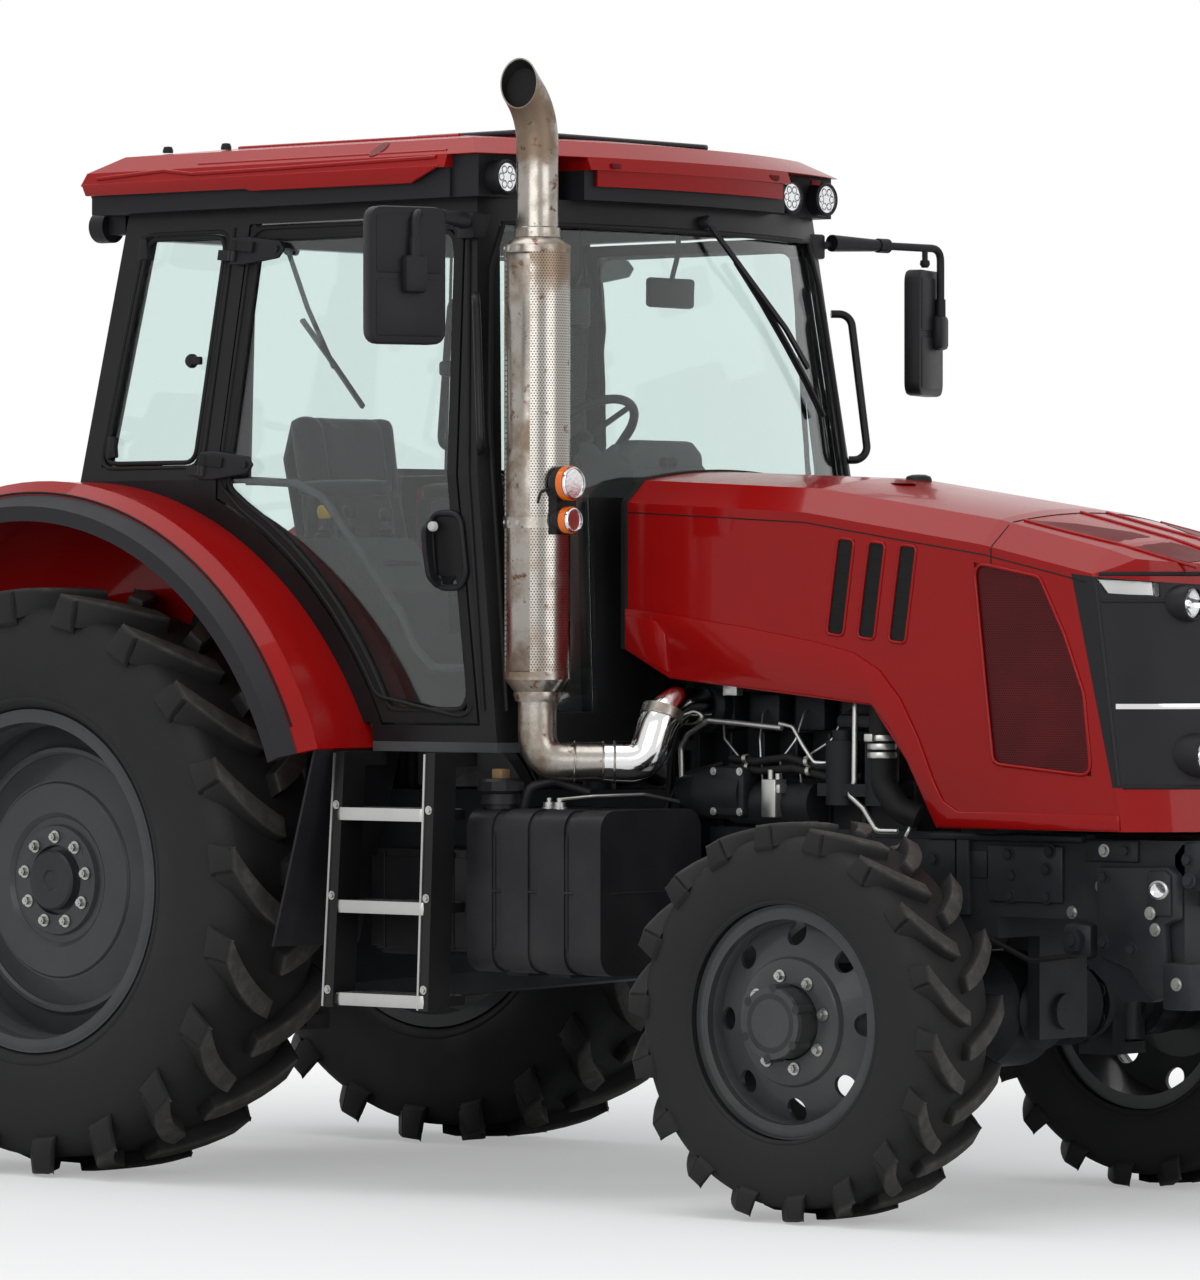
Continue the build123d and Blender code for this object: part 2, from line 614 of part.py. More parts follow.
# ================================================================ rear linkage
link_run = sqrt(LINK_LENGTH ** 2 - (LINK_END_Z - LINK_PIVOT_Z) ** 2)
link_end_x = LINK_PIVOT_X - link_run
lift_share = LIFT_REACH / LINK_LENGTH
lift_x = LINK_PIVOT_X - lift_share * link_run
lift_drop = lift_share * (LINK_END_Z - LINK_PIVOT_Z)
lift_link_z = LINK_PIVOT_Z + lift_drop
lift_arm_z = LIFT_SHAFT_Z + lift_drop
lift_y = LINK_PIVOT_Y + 34

with BuildPart() as lower_link:
    # bar in side view, its eyes at both ends, spread outwards behind the lift rod
    bar_side = [(LINK_PIVOT_X, LINK_PIVOT_Z - 36), (link_end_x, LINK_END_Z - 34),
                (link_end_x, LINK_END_Z + 34), (LINK_PIVOT_X, LINK_PIVOT_Z + 36)]
    add(side_plate(bar_side, LINK_PIVOT_Y - 12, LINK_END_Y + 12))
    with BuildSketch(Plane.XY.offset(LINK_PIVOT_Z - 200)):
        with BuildLine():
            Polyline((LINK_PIVOT_X + 60, LINK_PIVOT_Y - 12), (lift_x - 60, LINK_PIVOT_Y - 12),
                     (link_end_x, LINK_END_Y - 12), (link_end_x, LINK_END_Y + 12),
                     (lift_x - 60, LINK_PIVOT_Y + 12), (LINK_PIVOT_X + 60, LINK_PIVOT_Y + 12), close=True)
        make_face()
    extrude(amount=600, mode=Mode.INTERSECT)
    add(bar_y(LINK_PIVOT_X, LINK_PIVOT_Z, 46, LINK_PIVOT_Y - 20, LINK_PIVOT_Y + 20))
    add(bar_y(link_end_x, LINK_END_Z, 48, LINK_END_Y - LINK_BALL_WIDTH / 2, LINK_END_Y + LINK_BALL_WIDTH / 2))
    add(bar_y(lift_x, lift_link_z, LIFT_PIN_R, LINK_PIVOT_Y + 10, lift_y + 26))
    add(bar_y(LINK_PIVOT_X, LINK_PIVOT_Z, LINK_PIN_R + SHAFT_GAP, LINK_PIVOT_Y - 30, LINK_PIVOT_Y + 30),
        mode=Mode.SUBTRACT)
    add(bar_y(link_end_x, LINK_END_Z, LINK_BALL_BORE_R, LINK_END_Y - 40, LINK_END_Y + 40), mode=Mode.SUBTRACT)
keep(pair(lower_link.part), "lower_links")

with BuildPart() as lift_arm:
    slope = [(LINK_PIVOT_X, LIFT_SHAFT_Z - 34), (lift_x, lift_arm_z - 24), (lift_x, lift_arm_z + 24),
             (LINK_PIVOT_X, LIFT_SHAFT_Z + 34)]
    add(side_plate(slope, LINK_PIVOT_Y - 26, LINK_PIVOT_Y + 6))
    add(bar_y(LINK_PIVOT_X, LIFT_SHAFT_Z, 62, LINK_PIVOT_Y - 34, LINK_PIVOT_Y + 10))
    add(bar_y(lift_x, lift_arm_z, 32, LINK_PIVOT_Y - 26, LINK_PIVOT_Y + 6))
    add(bar_y(lift_x, lift_arm_z, LIFT_PIN_R, LINK_PIVOT_Y + 4, lift_y + 26))
    add(bar_y(LINK_PIVOT_X, LIFT_SHAFT_Z, LIFT_SHAFT_R + SHAFT_GAP, LINK_PIVOT_Y - 50, LINK_PIVOT_Y + 50),
        mode=Mode.SUBTRACT)
keep(pair(lift_arm.part), "lift_arms")

with BuildPart() as lift_rod:
    add(bar_z(lift_x, lift_y, 18, lift_link_z + 10, lift_arm_z - 10))
    add(bar_z(lift_x, lift_y, 27, lift_link_z + 190, lift_arm_z - 190))
    for height in (lift_link_z, lift_arm_z):
        add(bar_y(lift_x, height, 30, lift_y - 18, lift_y + 18))
        add(bar_y(lift_x, height, LIFT_PIN_R + SHAFT_GAP, lift_y - 30, lift_y + 30), mode=Mode.SUBTRACT)
keep(pair(lift_rod.part), "lift_rods")

with BuildPart() as drawbar:
    # bar under the gearbox and its two hangers
    add(block((REAR_AXLE_X - 760, REAR_AXLE_X + 150), (-45, 45), (400, 435)))
    add(block((REAR_AXLE_X - 340, REAR_AXLE_X - 240), (-90, 90), (388, GEARBOX_BOTTOM - 30)))
    add(block((REAR_AXLE_X + 40, REAR_AXLE_X + 120), (-90, 90), (388, GEARBOX_BOTTOM - 5)))
    add(bar_z(REAR_AXLE_X - 715, 0, DRAWBAR_HOLE_R, 380, 450), mode=Mode.SUBTRACT)
keep(drawbar.part, "drawbar")


# ================================================================ cab
def cab_outline(level, inset):
    """Plan outline of the cab at one level, moved inwards by the inset: bowed front and rear, flat sides."""
    height, half, corner, middle, rear_corner, rear_middle = level
    side = half - inset
    with BuildSketch(Plane.XY.offset(height)) as outline:
        with BuildLine():
            Line((fore(rear_corner + inset), side), (fore(corner - inset), side))
            ThreePointArc((fore(corner - inset), side), (fore(middle - inset), 0),
                          (fore(corner - inset), -side))
            Line((fore(corner - inset), -side), (fore(rear_corner + inset), -side))
            ThreePointArc((fore(rear_corner + inset), -side), (fore(rear_middle + inset), 0),
                          (fore(rear_corner + inset), side))
        make_face()
    return outline.sketch


def cab_body(inset):
    """Solid of the cab, moved inwards by the inset, from the floor to the top rail."""
    with BuildPart() as body:
        for lower, upper in zip(CAB_LEVELS, CAB_LEVELS[1:]):
            for level in (lower, upper):
                add(cab_outline(level, inset))
            loft(ruled=True)
    return body.part


def cab_skin(outer, wall):
    """Hollow cab whose wall lies between two insets, open below and above."""
    with BuildPart() as skin:
        add(cab_body(outer))
        add(cab_body(outer + wall), mode=Mode.SUBTRACT)
    return skin.part


def door_area(grow):
    """Door outline in side view, grown outwards: straight pillars, rear corner swept about the wheel."""
    sweep_z = REAR_TYRE_R + sqrt(DOOR_SWEEP_R ** 2 - 540 ** 2)
    foot_x = sqrt(DOOR_SWEEP_R ** 2 - (DOOR_BOTTOM_Z - REAR_TYRE_R) ** 2)
    middle = (atan2(sweep_z - REAR_TYRE_R, 540) + atan2(DOOR_BOTTOM_Z - REAR_TYRE_R, foot_x)) / 2
    with BuildSketch(Plane.XZ.offset(-2000)) as area:
        with BuildLine():
            Polyline((fore(foot_x), DOOR_BOTTOM_Z), (fore(1520), DOOR_BOTTOM_Z), (fore(1435), DOOR_TOP_Z),
                     (fore(600), DOOR_TOP_Z), (fore(540), sweep_z))
            ThreePointArc((fore(540), sweep_z),
                          (fore(DOOR_SWEEP_R * cos(middle)), REAR_TYRE_R + DOOR_SWEEP_R * sin(middle)),
                          (fore(foot_x), DOOR_BOTTOM_Z))
        make_face()
        if grow:
            offset(amount=grow, kind=Kind.INTERSECTION)
    return area.sketch


def across(area, low, high):
    """Prism over a side-view area between two places across the machine."""
    with BuildPart() as prism:
        extrude(area.moved(Location((0, high - 2000, 0))), amount=high - low)
    return prism.part


def quarter_area(grow):
    """Rear quarter window in side view."""
    with BuildSketch(Plane.XZ.offset(-2000)) as area:
        with BuildLine():
            Polyline((fore(62), 2092), (fore(452), 2092), (fore(510), 2775), (fore(172), 2775), close=True)
        make_face()
        if grow:
            offset(amount=grow, kind=Kind.INTERSECTION)
    return area.sketch


def front_area(grow):
    """Windshield seen from ahead: full width above the hood, a leg down each side of it."""
    with BuildSketch(Plane.YZ.offset(REAR_AXLE_X)) as area:
        with BuildLine():
            Polyline((-735, 1375), (-470, 1375), (-470, 1990), (470, 1990), (470, 1375), (735, 1375),
                     (775, 2050), (700, 2770), (-700, 2770), (-775, 2050), close=True)
        make_face()
        if grow:
            offset(amount=grow, kind=Kind.INTERSECTION)
    return area.sketch


def rear_area(grow):
    """Rear window seen from behind, between the fenders and then over them."""
    with BuildSketch(Plane.YZ.offset(REAR_AXLE_X)) as area:
        with BuildLine():
            Polyline((-540, 1800), (540, 1800), (540, 2110), (770, 2110), (690, 2770), (-690, 2770),
                     (-770, 2110), (-540, 2110), close=True)
        make_face()
        if grow:
            offset(amount=grow, kind=Kind.INTERSECTION)
    return area.sketch


def along(area, low, high):
    """Prism over an area seen along the machine, between two distances from the rear axle."""
    with BuildPart() as prism:
        extrude(area.moved(Location((low, 0, 0))), amount=high - low)
    return prism.part


def hinge_leaf(reach, start, pinned):
    """A leaf at each hinge: its barrel begins so far along the hinge line, its arm reaches fore or aft."""
    low = Vector(fore(HINGE_LOW[0]), HINGE_LOW[1], HINGE_LOW[2])
    high = Vector(fore(HINGE_HIGH[0]), HINGE_HIGH[1], HINGE_HIGH[2])
    near, far = sorted((0.5 * reach, reach))
    with BuildPart() as leaf:
        for point in (low, high):
            line = Plane(origin=point, x_dir=(1, 0, 0), z_dir=high - low)
            with BuildSketch(line.offset(start)):
                Circle(HINGE_BARREL_R)
                with Locations((reach / 2, 0)):
                    Rectangle(abs(reach), 14)
                with Locations(((near + far) / 2, -12)):
                    Rectangle(far - near, 38)
            extrude(amount=HINGE_BARREL)
            with BuildSketch(line.offset(-HINGE_BARREL - 1)):
                Circle(HINGE_PIN_R if pinned else HINGE_PIN_R + SHAFT_GAP)
            if pinned:
                extrude(amount=2 * HINGE_BARREL)
            else:
                extrude(amount=2 * HINGE_BARREL + 3, mode=Mode.SUBTRACT)
    return leaf.part


with BuildPart() as cab_frame:
    add(cab_skin(0, CAB_WALL))
    add(pair(hinge_leaf(-60, -HINGE_BARREL - 1, True)))
    for side in (-1, 1):
        low, high = sorted((side * 400, side * 1000))
        add(across(door_area(PANEL_GAP), low, high), mode=Mode.SUBTRACT)
        add(across(quarter_area(0), low, high), mode=Mode.SUBTRACT)
        low, high = sorted((side * (FENDER_INNER_Y - SEAT_GAP), side * 1000))
        add(bar_y(REAR_AXLE_X, REAR_TYRE_R, FENDER_R + SEAT_GAP, low, high), mode=Mode.SUBTRACT)
        add(block((fore(-200), fore(FLOOR_STEP_X)), (low, high), (FLOOR_Z - 1, 1345)), mode=Mode.SUBTRACT)
    add(along(front_area(0), 1000, 2000), mode=Mode.SUBTRACT)
    add(along(rear_area(0), -500, 300), mode=Mode.SUBTRACT)
keep(cab_frame.part, "cab_frame")

windows = [along(front_area(-SEAT_GAP), 1300, 1900), along(rear_area(-SEAT_GAP), -300, 140)]
for low, high in ((650, 1000), (-1000, -650)):
    windows.append(across(quarter_area(-SEAT_GAP), low, high))
keep(within(cab_skin(GLASS_INSET, GLASS_WALL), *windows), "cab_glass")

# cab floor, its rear riser and the seat's base
with BuildPart() as cab_floor:
    with BuildSketch(Plane.XY.offset(FLOOR_Z - FLOOR_WALL)):
        add(cab_outline(CAB_LEVELS[0], 0).moved(Location((0, 0, -FLOOR_Z))))
        for side in (-1, 1):
            with Locations((fore(FLOOR_STEP_X - 700), side * (FENDER_INNER_Y + 200))):
                Rectangle(1400, 400, mode=Mode.SUBTRACT)
    extrude(amount=FLOOR_WALL)
    add(block((fore(45), fore(330)), (-FENDER_INNER_Y, FENDER_INNER_Y), (FLOOR_Z, 1650)))
    add(block((fore(330), fore(760)), (-215, 215), (FLOOR_Z, 1600)))
    add(bar_z(fore(520), 0, 150, 1600, SEAT_BASE_Z))
keep(cab_floor.part, "cab_floor")

# driver's seat: cushion, backrest and armrests
with BuildPart() as seat_outline:
    with BuildSketch(Plane.YZ.offset(fore(200))):
        with Locations((0, 2020)):
            RectangleRounded(470, 560, 110)
    extrude(amount=300)
with BuildPart() as driver_seat:
    with BuildSketch(Plane.XY.offset(SEAT_BASE_Z + SEAT_GAP)):
        with Locations((fore(560), 0)):
            RectangleRounded(500, 500, 70)
    extrude(amount=130)
    back = [(fore(330), 1800), (fore(425), 1830), (fore(322), 2300), (fore(235), 2290)]
    add(within(side_plate(back, -240, 240), seat_outline.part))
    for side in (-1, 1):
        low, high = sorted((side * 228, side * 330))
        add(block((fore(350), fore(700)), (low, high), (2000, 2060)))
        low, high = sorted((side * 228, side * 262))
        add(block((fore(350), fore(400)), (low, high), (1880, 2060)))
keep(driver_seat.part, "driver_seat")

# dash console with the steering column, and the side console with its levers
def column_place(rise):
    """Place at a distance up the steering column, Z along the column."""
    run = COLUMN_TOP[0] - COLUMN_FOOT[0]
    climb = COLUMN_TOP[1] - COLUMN_FOOT[1]
    length = sqrt(run ** 2 + climb ** 2)
    return Location((fore(COLUMN_FOOT[0] + run / length * rise), 0, COLUMN_FOOT[1] + climb / length * rise),
                    (0, degrees(atan2(run, climb)), 0))


with BuildPart() as console:
    dash = [(fore(1300), FLOOR_Z), (fore(1560), FLOOR_Z), (fore(1560), 2070), (fore(1480), 2150),
            (fore(1350), 2075), (fore(1290), 1960)]
    add(side_plate(dash, -170, 170))
    with Locations(column_place(127)):
        Cylinder(38, 200)
    with Locations(column_place(WHEEL_RISE - 35 - SEAT_GAP)):
        Cylinder(16, 40)
    side_box = [(fore(340), FLOOR_Z), (fore(1000), FLOOR_Z), (fore(1000), 1720), (fore(860), 1880),
                (fore(340), 1880)]
    add(side_plate(side_box, -FENDER_INNER_Y + 4, -345))
    with Locations((fore(620), -470, 1900), (fore(720), -470, 1900), (fore(820), -420, 1890)):
        Cylinder(9, 150)
keep(console.part, "console")

with BuildPart() as grip:
    with BuildSketch(Plane.XZ):
        with Locations((190, 0)):
            RegularPolygon(14, 8)
    revolve(axis=Axis.Z)
with BuildPart() as steering_wheel:
    with Locations(column_place(WHEEL_RISE)):
        Cylinder(46, 30)
        with PolarLocations(118, 3):
            Box(150, 26, 12)
        add(grip.part)
keep(steering_wheel.part, "steering_wheel")

# ---------------------------------------------------------------- doors
with BuildPart() as lock_box:
    add(block((fore(LOCK_BOX[0][0]), fore(LOCK_BOX[0][1])), (400, 1000), LOCK_BOX[1]))
lock_plate = within(within(cab_skin(0, DOOR_WALL), lock_box.part), across(door_area(0), 400, 1000))
with BuildPart() as door_frame:
    add(cab_skin(0, DOOR_WALL))
    add(across(door_area(0), 400, 1000), mode=Mode.INTERSECT)
    add(across(door_area(-DOOR_SEAL), 400, 1000), mode=Mode.SUBTRACT)
    add(lock_plate)
    add(hinge_leaf(80, 1, False))
keep(door_frame.part, "door_frame_left")
keep(mirrored(door_frame.part), "door_frame_right")

with BuildPart() as door_glass:
    add(cab_skin(GLASS_INSET, GLASS_WALL))
    add(across(door_area(-DOOR_SEAL - SEAT_GAP), 400, 1000), mode=Mode.INTERSECT)
    add(block((fore(LOCK_BOX[0][0] - SEAT_GAP), fore(LOCK_BOX[0][1])), (400, 1000),
              (LOCK_BOX[1][0] - SEAT_GAP, LOCK_BOX[1][1] + SEAT_GAP)), mode=Mode.SUBTRACT)
keep(door_glass.part, "door_glass_left")
keep(mirrored(door_glass.part), "door_glass_right")

# ---------------------------------------------------------------- fenders
def wheel_sweep(profile):
    """Left fender shell swept round the rear axle: profile of (radius, distance to the left)."""
    turn = radians(FENDER_START)
    start = Plane(origin=(REAR_AXLE_X, 0, REAR_TYRE_R), x_dir=(cos(turn), 0, sin(turn)),
                  z_dir=(-sin(turn), 0, cos(turn)))
    with BuildPart() as shell:
        with BuildSketch(start):
            with BuildLine():
                Polyline(*profile, close=True)
            make_face()
        revolve(axis=Axis((REAR_AXLE_X, 0, REAR_TYRE_R), (0, -1, 0)),
                revolution_arc=FENDER_END - FENDER_START)
    return shell.part


with BuildPart() as fender_wall:
    add(bar_y(REAR_AXLE_X, REAR_TYRE_R, FENDER_R - 5, FENDER_INNER_Y, FENDER_INNER_Y + 12))
    add(block((fore(-1010), fore(1120)), (FENDER_INNER_Y - 1, FENDER_INNER_Y + 13),
              (FLOOR_Z - FLOOR_WALL, FLOOR_Z + 900)), mode=Mode.INTERSECT)
with BuildPart() as fenders:
    # top shell, its outer edge sloping down
    add(wheel_sweep(((FENDER_R - FENDER_WALL, FENDER_INNER_Y), (FENDER_R, FENDER_INNER_Y),
                     (FENDER_R, FENDER_EDGE_Y), (FENDER_R - FENDER_DROP, FENDER_OUTER_Y),
                     (FENDER_R - FENDER_DROP - FENDER_WALL, FENDER_OUTER_Y),
                     (FENDER_R - FENDER_WALL, FENDER_EDGE_Y - 6))))
    add(fender_wall.part)
    mirror(about=Plane.XZ)
keep(fenders.part, "fenders")

with BuildPart() as fender_flares:
    flare_r = FENDER_R - FENDER_DROP - 4
    edge_y = FENDER_OUTER_Y + FLARE_WIDTH
    add(wheel_sweep(((flare_r - 22, FENDER_OUTER_Y), (flare_r, FENDER_OUTER_Y), (flare_r - 34, edge_y),
                     (flare_r - 78, edge_y), (flare_r - 78, edge_y - 12))))
    # mud guard hung from the fender's front edge
    guard_r = FENDER_R - FENDER_WALL - SEAT_GAP
    guard_top = (fore(guard_r * cos(radians(FENDER_START))),
                 REAR_TYRE_R + guard_r * sin(radians(FENDER_START)))
    guard = [guard_top, (guard_top[0] - 8, guard_top[1] + 3), (fore(922), 700), (fore(930), 700)]
    add(side_plate(guard, FENDER_INNER_Y + 60, FENDER_EDGE_Y - 6))
    mirror(about=Plane.XZ)
keep(fender_flares.part, "fender_flares")


# ---------------------------------------------------------------- roof
def roof_outline(inset):
    """Plan outline of the roof, moved inwards: bowed front, rounded corners."""
    half = ROOF_HALF - inset
    with BuildSketch() as outline:
        with BuildLine():
            Line((fore(ROOF_REAR + inset), half), (fore(ROOF_FRONT - 150 - inset), half))
            ThreePointArc((fore(ROOF_FRONT - 150 - inset), half), (fore(ROOF_FRONT - inset), 0),
                          (fore(ROOF_FRONT - 150 - inset), -half))
            Line((fore(ROOF_FRONT - 150 - inset), -half), (fore(ROOF_REAR + inset), -half))
            ThreePointArc((fore(ROOF_REAR + inset), -half), (fore(ROOF_REAR - 40 + inset), 0),
                          (fore(ROOF_REAR + inset), half))
        make_face()
    return outline.sketch


def lamp_notch(low, high):
    """Corner recess for the work lamps, both sides, between two heights."""
    with BuildPart() as notch:
        add(block((fore(LAMP_NOTCH_X), fore(1750)), (LAMP_NOTCH_Y, 900), (low, high)))
    return pair(notch.part)


with BuildPart() as roof_shell:
    for height, inset in ROOF_LEVELS:
        add(roof_outline(inset).moved(Location((0, 0, height))))
    loft(ruled=True)
    add(lamp_notch(ROOF_Z - 1, LAMP_NOTCH_TOP), mode=Mode.SUBTRACT)
keep(roof_shell.part, "roof_shell")

with BuildPart() as roof_liner:
    add(roof_outline(24).moved(Location((0, 0, CAB_TOP_Z))))
    extrude(amount=ROOF_Z - CAB_TOP_Z)
    add(lamp_notch(CAB_TOP_Z - 1, ROOF_Z + 1), mode=Mode.SUBTRACT)
keep(roof_liner.part, "roof_liner")

# lamp housings: two at each front corner of the roof, one under each rear corner, two on the exhaust
with BuildPart() as lamp_housings:
    for side in (-1, 1):
        low, high = sorted((side * (LAMP_NOTCH_Y + SEAT_GAP), side * 800))
        add(block((fore(LAMP_NOTCH_X + SEAT_GAP), fore(1520)), (low, high),
                  (CAB_TOP_Z + SEAT_GAP, LAMP_NOTCH_TOP - SEAT_GAP)))
        for across_y in LAMP_YS:
            add(bar_x(side * across_y, LAMP_Z, WORK_LAMP_R, fore(1515), fore(1560)))
        add(bar_x(side * REAR_LAMP_Y, REAR_LAMP_Z, WORK_LAMP_R, fore(-90), fore(-40)))
        add(block((fore(-50), fore(30)), sorted((side * 670, side * 710)), (2790, CAB_TOP_Z)))
    # bracket on the exhaust and its two lamps
    add(block((fore(MUFFLER_X + 60), fore(STACK_LAMP_X)), (MUFFLER_Y - 46, MUFFLER_Y + 40), (1880, 2060)))
    add(bar_z(fore(MUFFLER_X), MUFFLER_Y, MUFFLER_R + SEAT_GAP, 1800, 2100), mode=Mode.SUBTRACT)
    for height, reach in STACK_LAMPS:
        add(bar_x(MUFFLER_Y - 22, height, reach, fore(STACK_LAMP_X - 6), fore(STACK_LAMP_X + 38)))
keep(lamp_housings.part, "lamp_housings")

with BuildPart() as lamp_lenses:
    for side in (-1, 1):
        for across_y in LAMP_YS:
            add(bar_x(side * across_y, LAMP_Z, WORK_LAMP_R - 6, fore(1560), fore(1566)))
        add(bar_x(side * REAR_LAMP_Y, REAR_LAMP_Z, WORK_LAMP_R - 6, fore(-96), fore(-90)))
    for height, reach in STACK_LAMPS:
        add(bar_x(MUFFLER_Y - 22, height, reach - 5, fore(STACK_LAMP_X + 38), fore(STACK_LAMP_X + 50)))
keep(lamp_lenses.part, "lamp_lenses")


# ================================================================ hood
def hood_body(inset):
    """Solid of the hood and nose moved inwards: crowned sections along the machine, rounded nose in plan."""
    half = HOOD_HALF - inset
    chamfer_y = HOOD_CHAMFER_Y - 0.6 * inset
    with BuildPart() as nose:
        for height, corner, front in NOSE_LEVELS:
            with BuildSketch(Plane.XY.offset(height)):
                with BuildLine():
                    Polyline((fore(corner - inset), half + 1), (fore(HOOD_REAR - 10), half + 1),
                             (fore(HOOD_REAR - 10), -half - 1), (fore(corner - inset), -half - 1))
                    ThreePointArc((fore(corner - inset), -half - 1), (fore(front - inset), 0),
                                  (fore(corner - inset), half + 1))
                make_face()
        loft(ruled=True)
    with BuildPart() as body:
        for distance, shoulder, shelf, crown in HOOD_SECTIONS:
            with BuildSketch(Plane.YZ.offset(fore(distance))):
                with BuildLine():
                    Polyline((-chamfer_y, shelf - inset), (-half, shoulder - 0.5 * inset), (-half, 1000),
                             (half, 1000), (half, shoulder - 0.5 * inset), (chamfer_y, shelf - inset))
                    ThreePointArc((chamfer_y, shelf - inset), (0, crown - inset), (-chamfer_y, shelf - inset))
                make_face()
        loft(ruled=True)
        add(nose.part, mode=Mode.INTERSECT)
    return body.part


def hood_region(outline):
    """Prism across the hood over a side-view outline given by distance from the rear axle and height."""
    return side_plate([(fore(distance), height) for distance, height in outline], -600, 600)


def hood_side(outline, side, span):
    """Prism over a side-view outline on one side of the hood, between two distances from its middle."""
    low, high = sorted((side * span[0], side * span[1]))
    return side_plate([(fore(distance), height) for distance, height in outline], low, high)


with BuildPart() as hood_skin:
    add(hood_body(0))
    add(hood_body(HOOD_WALL), mode=Mode.SUBTRACT)
hood_wall = hood_skin.part

# side line between the hood's panels and the grille, leaning back as it rises
split_low = (WHEELBASE + 770, HOOD_BASE_Z)
split_high = (WHEELBASE + 602, GRILLE_TOP_Z)
panel_edge = [(HOOD_REAR - 5, 1558), (1927, 1473), (WHEELBASE - 89, 1402), (WHEELBASE + 34, 1251),
              (WHEELBASE + 139, HOOD_BASE_Z), split_low,
              split_high, (HOOD_END, GRILLE_TOP_Z - 60), (HOOD_END, 2200), (HOOD_REAR - 5, 2200)]
VENT_COUNT = 3
VENT_PITCH = 110
vent_slots = []
for count in range(VENT_COUNT):
    x = WHEELBASE - 250 + VENT_PITCH * count
    z = 1600 - 10 * count
    vent_slots.append(hood_region([(x, z), (x + 60, z - 6), (x + 100, z + 262), (x + 40, z + 268)]))
# columns: ahead of the front axle, height
screen = [(WHEELBASE + ahead, height) for ahead, height in
          ((268, 1798), (495, 1757), (580, 1600), (645, 1440), (671, 1215), (335, 1245))]

with BuildPart() as hood_shell:
    add(hood_wall)
    add(hood_region(panel_edge), mode=Mode.INTERSECT)
    for slot in vent_slots:
        add(slot, mode=Mode.SUBTRACT)
    add(hood_region(screen), mode=Mode.SUBTRACT)
    # hinge leaves under the rear of the top panel
    for side in (-1, 1):
        low, high = sorted((side * HOOD_LEAF_Y[0], side * HOOD_LEAF_Y[1]))
        add(block((fore(HOOD_HINGE[0] - 16), fore(HOOD_HINGE[0] + 40)), (low, high),
                  (HOOD_HINGE[1] - 16, 2054)))
        add(bar_y(fore(HOOD_HINGE[0]), HOOD_HINGE[1], HOOD_PIN_R + SHAFT_GAP, low - 1, high + 1),
            mode=Mode.SUBTRACT)
keep(hood_shell.part, "hood_shell")

split_slope = (split_high[0] - split_low[0]) / (split_high[1] - split_low[1])
split_mid_x = split_low[0] + split_slope * (GRILLE_BOTTOM_Z - HOOD_BASE_Z)
grille_area = [(split_high[0] + SEAT_GAP, GRILLE_TOP_Z - SEAT_GAP), (split_mid_x + SEAT_GAP, GRILLE_BOTTOM_Z),
               (HOOD_END, GRILLE_BOTTOM_Z), (HOOD_END, GRILLE_TOP_Z - 60 - SEAT_GAP)]
bumper_area = [(split_mid_x + SEAT_GAP, GRILLE_BOTTOM_Z - SEAT_GAP), (split_low[0] + SEAT_GAP, HOOD_BASE_Z),
               (HOOD_END, HOOD_BASE_Z), (HOOD_END, GRILLE_BOTTOM_Z - SEAT_GAP)]
# columns: to the side, height, radius
lamp_places = ((262, 1685, 46), (270, 1273, 52))
# lamp strip round the corner of the nose, in side view
lamp_strip = [(WHEELBASE + 680, 1752), (WHEELBASE + 830, 1738), (WHEELBASE + 830, 1700),
              (WHEELBASE + 705, 1712)]
strip_span = (318, 600)
with BuildPart() as grille:
    add(hood_wall)
    add(hood_region(grille_area), mode=Mode.INTERSECT)
    for side in (-1, 1):
        for across_y, height, reach in lamp_places:
            add(bar_x(side * across_y, height, reach + SEAT_GAP, FRONT_AXLE_X + 650, FRONT_AXLE_X + 1050),
                mode=Mode.SUBTRACT)
        add(hood_side(lamp_strip, side, strip_span), mode=Mode.SUBTRACT)
    for row in range(GRILLE_SLOTS):
        add(block((FRONT_AXLE_X + 750, FRONT_AXLE_X + 1050), (-190, 190), (1240 + 60 * row, 1266 + 60 * row)),
            mode=Mode.SUBTRACT)
keep(grille.part, "grille")

with BuildPart() as hood_nose:
    add(hood_wall)
    add(hood_region(bumper_area), mode=Mode.INTERSECT)
keep(hood_nose.part, "hood_nose")

bowls = []
for side in (-1, 1):
    for across_y, height, reach in lamp_places:
        bowls.append(bar_x(side * across_y, height, reach, FRONT_AXLE_X + 680, FRONT_AXLE_X + 1050))
LAMP_INSET = 3
with BuildPart() as strip_glass:
    add(hood_body(LAMP_INSET))
    add(hood_body(LAMP_INSET + 30), mode=Mode.SUBTRACT)
strips = [hood_side(lamp_strip, side, strip_span) for side in (-1, 1)]
with BuildPart() as headlamps:
    add(within(hood_body(LAMP_INSET), *bowls))
    add(within(strip_glass.part, *strips))
keep(headlamps.part, "headlamps")

with BuildPart() as screen_skin:
    add(hood_body(4))
    add(hood_body(4 + 6), mode=Mode.SUBTRACT)
keep(within(screen_skin.part, hood_region(screen), *vent_slots), "hood_screens")


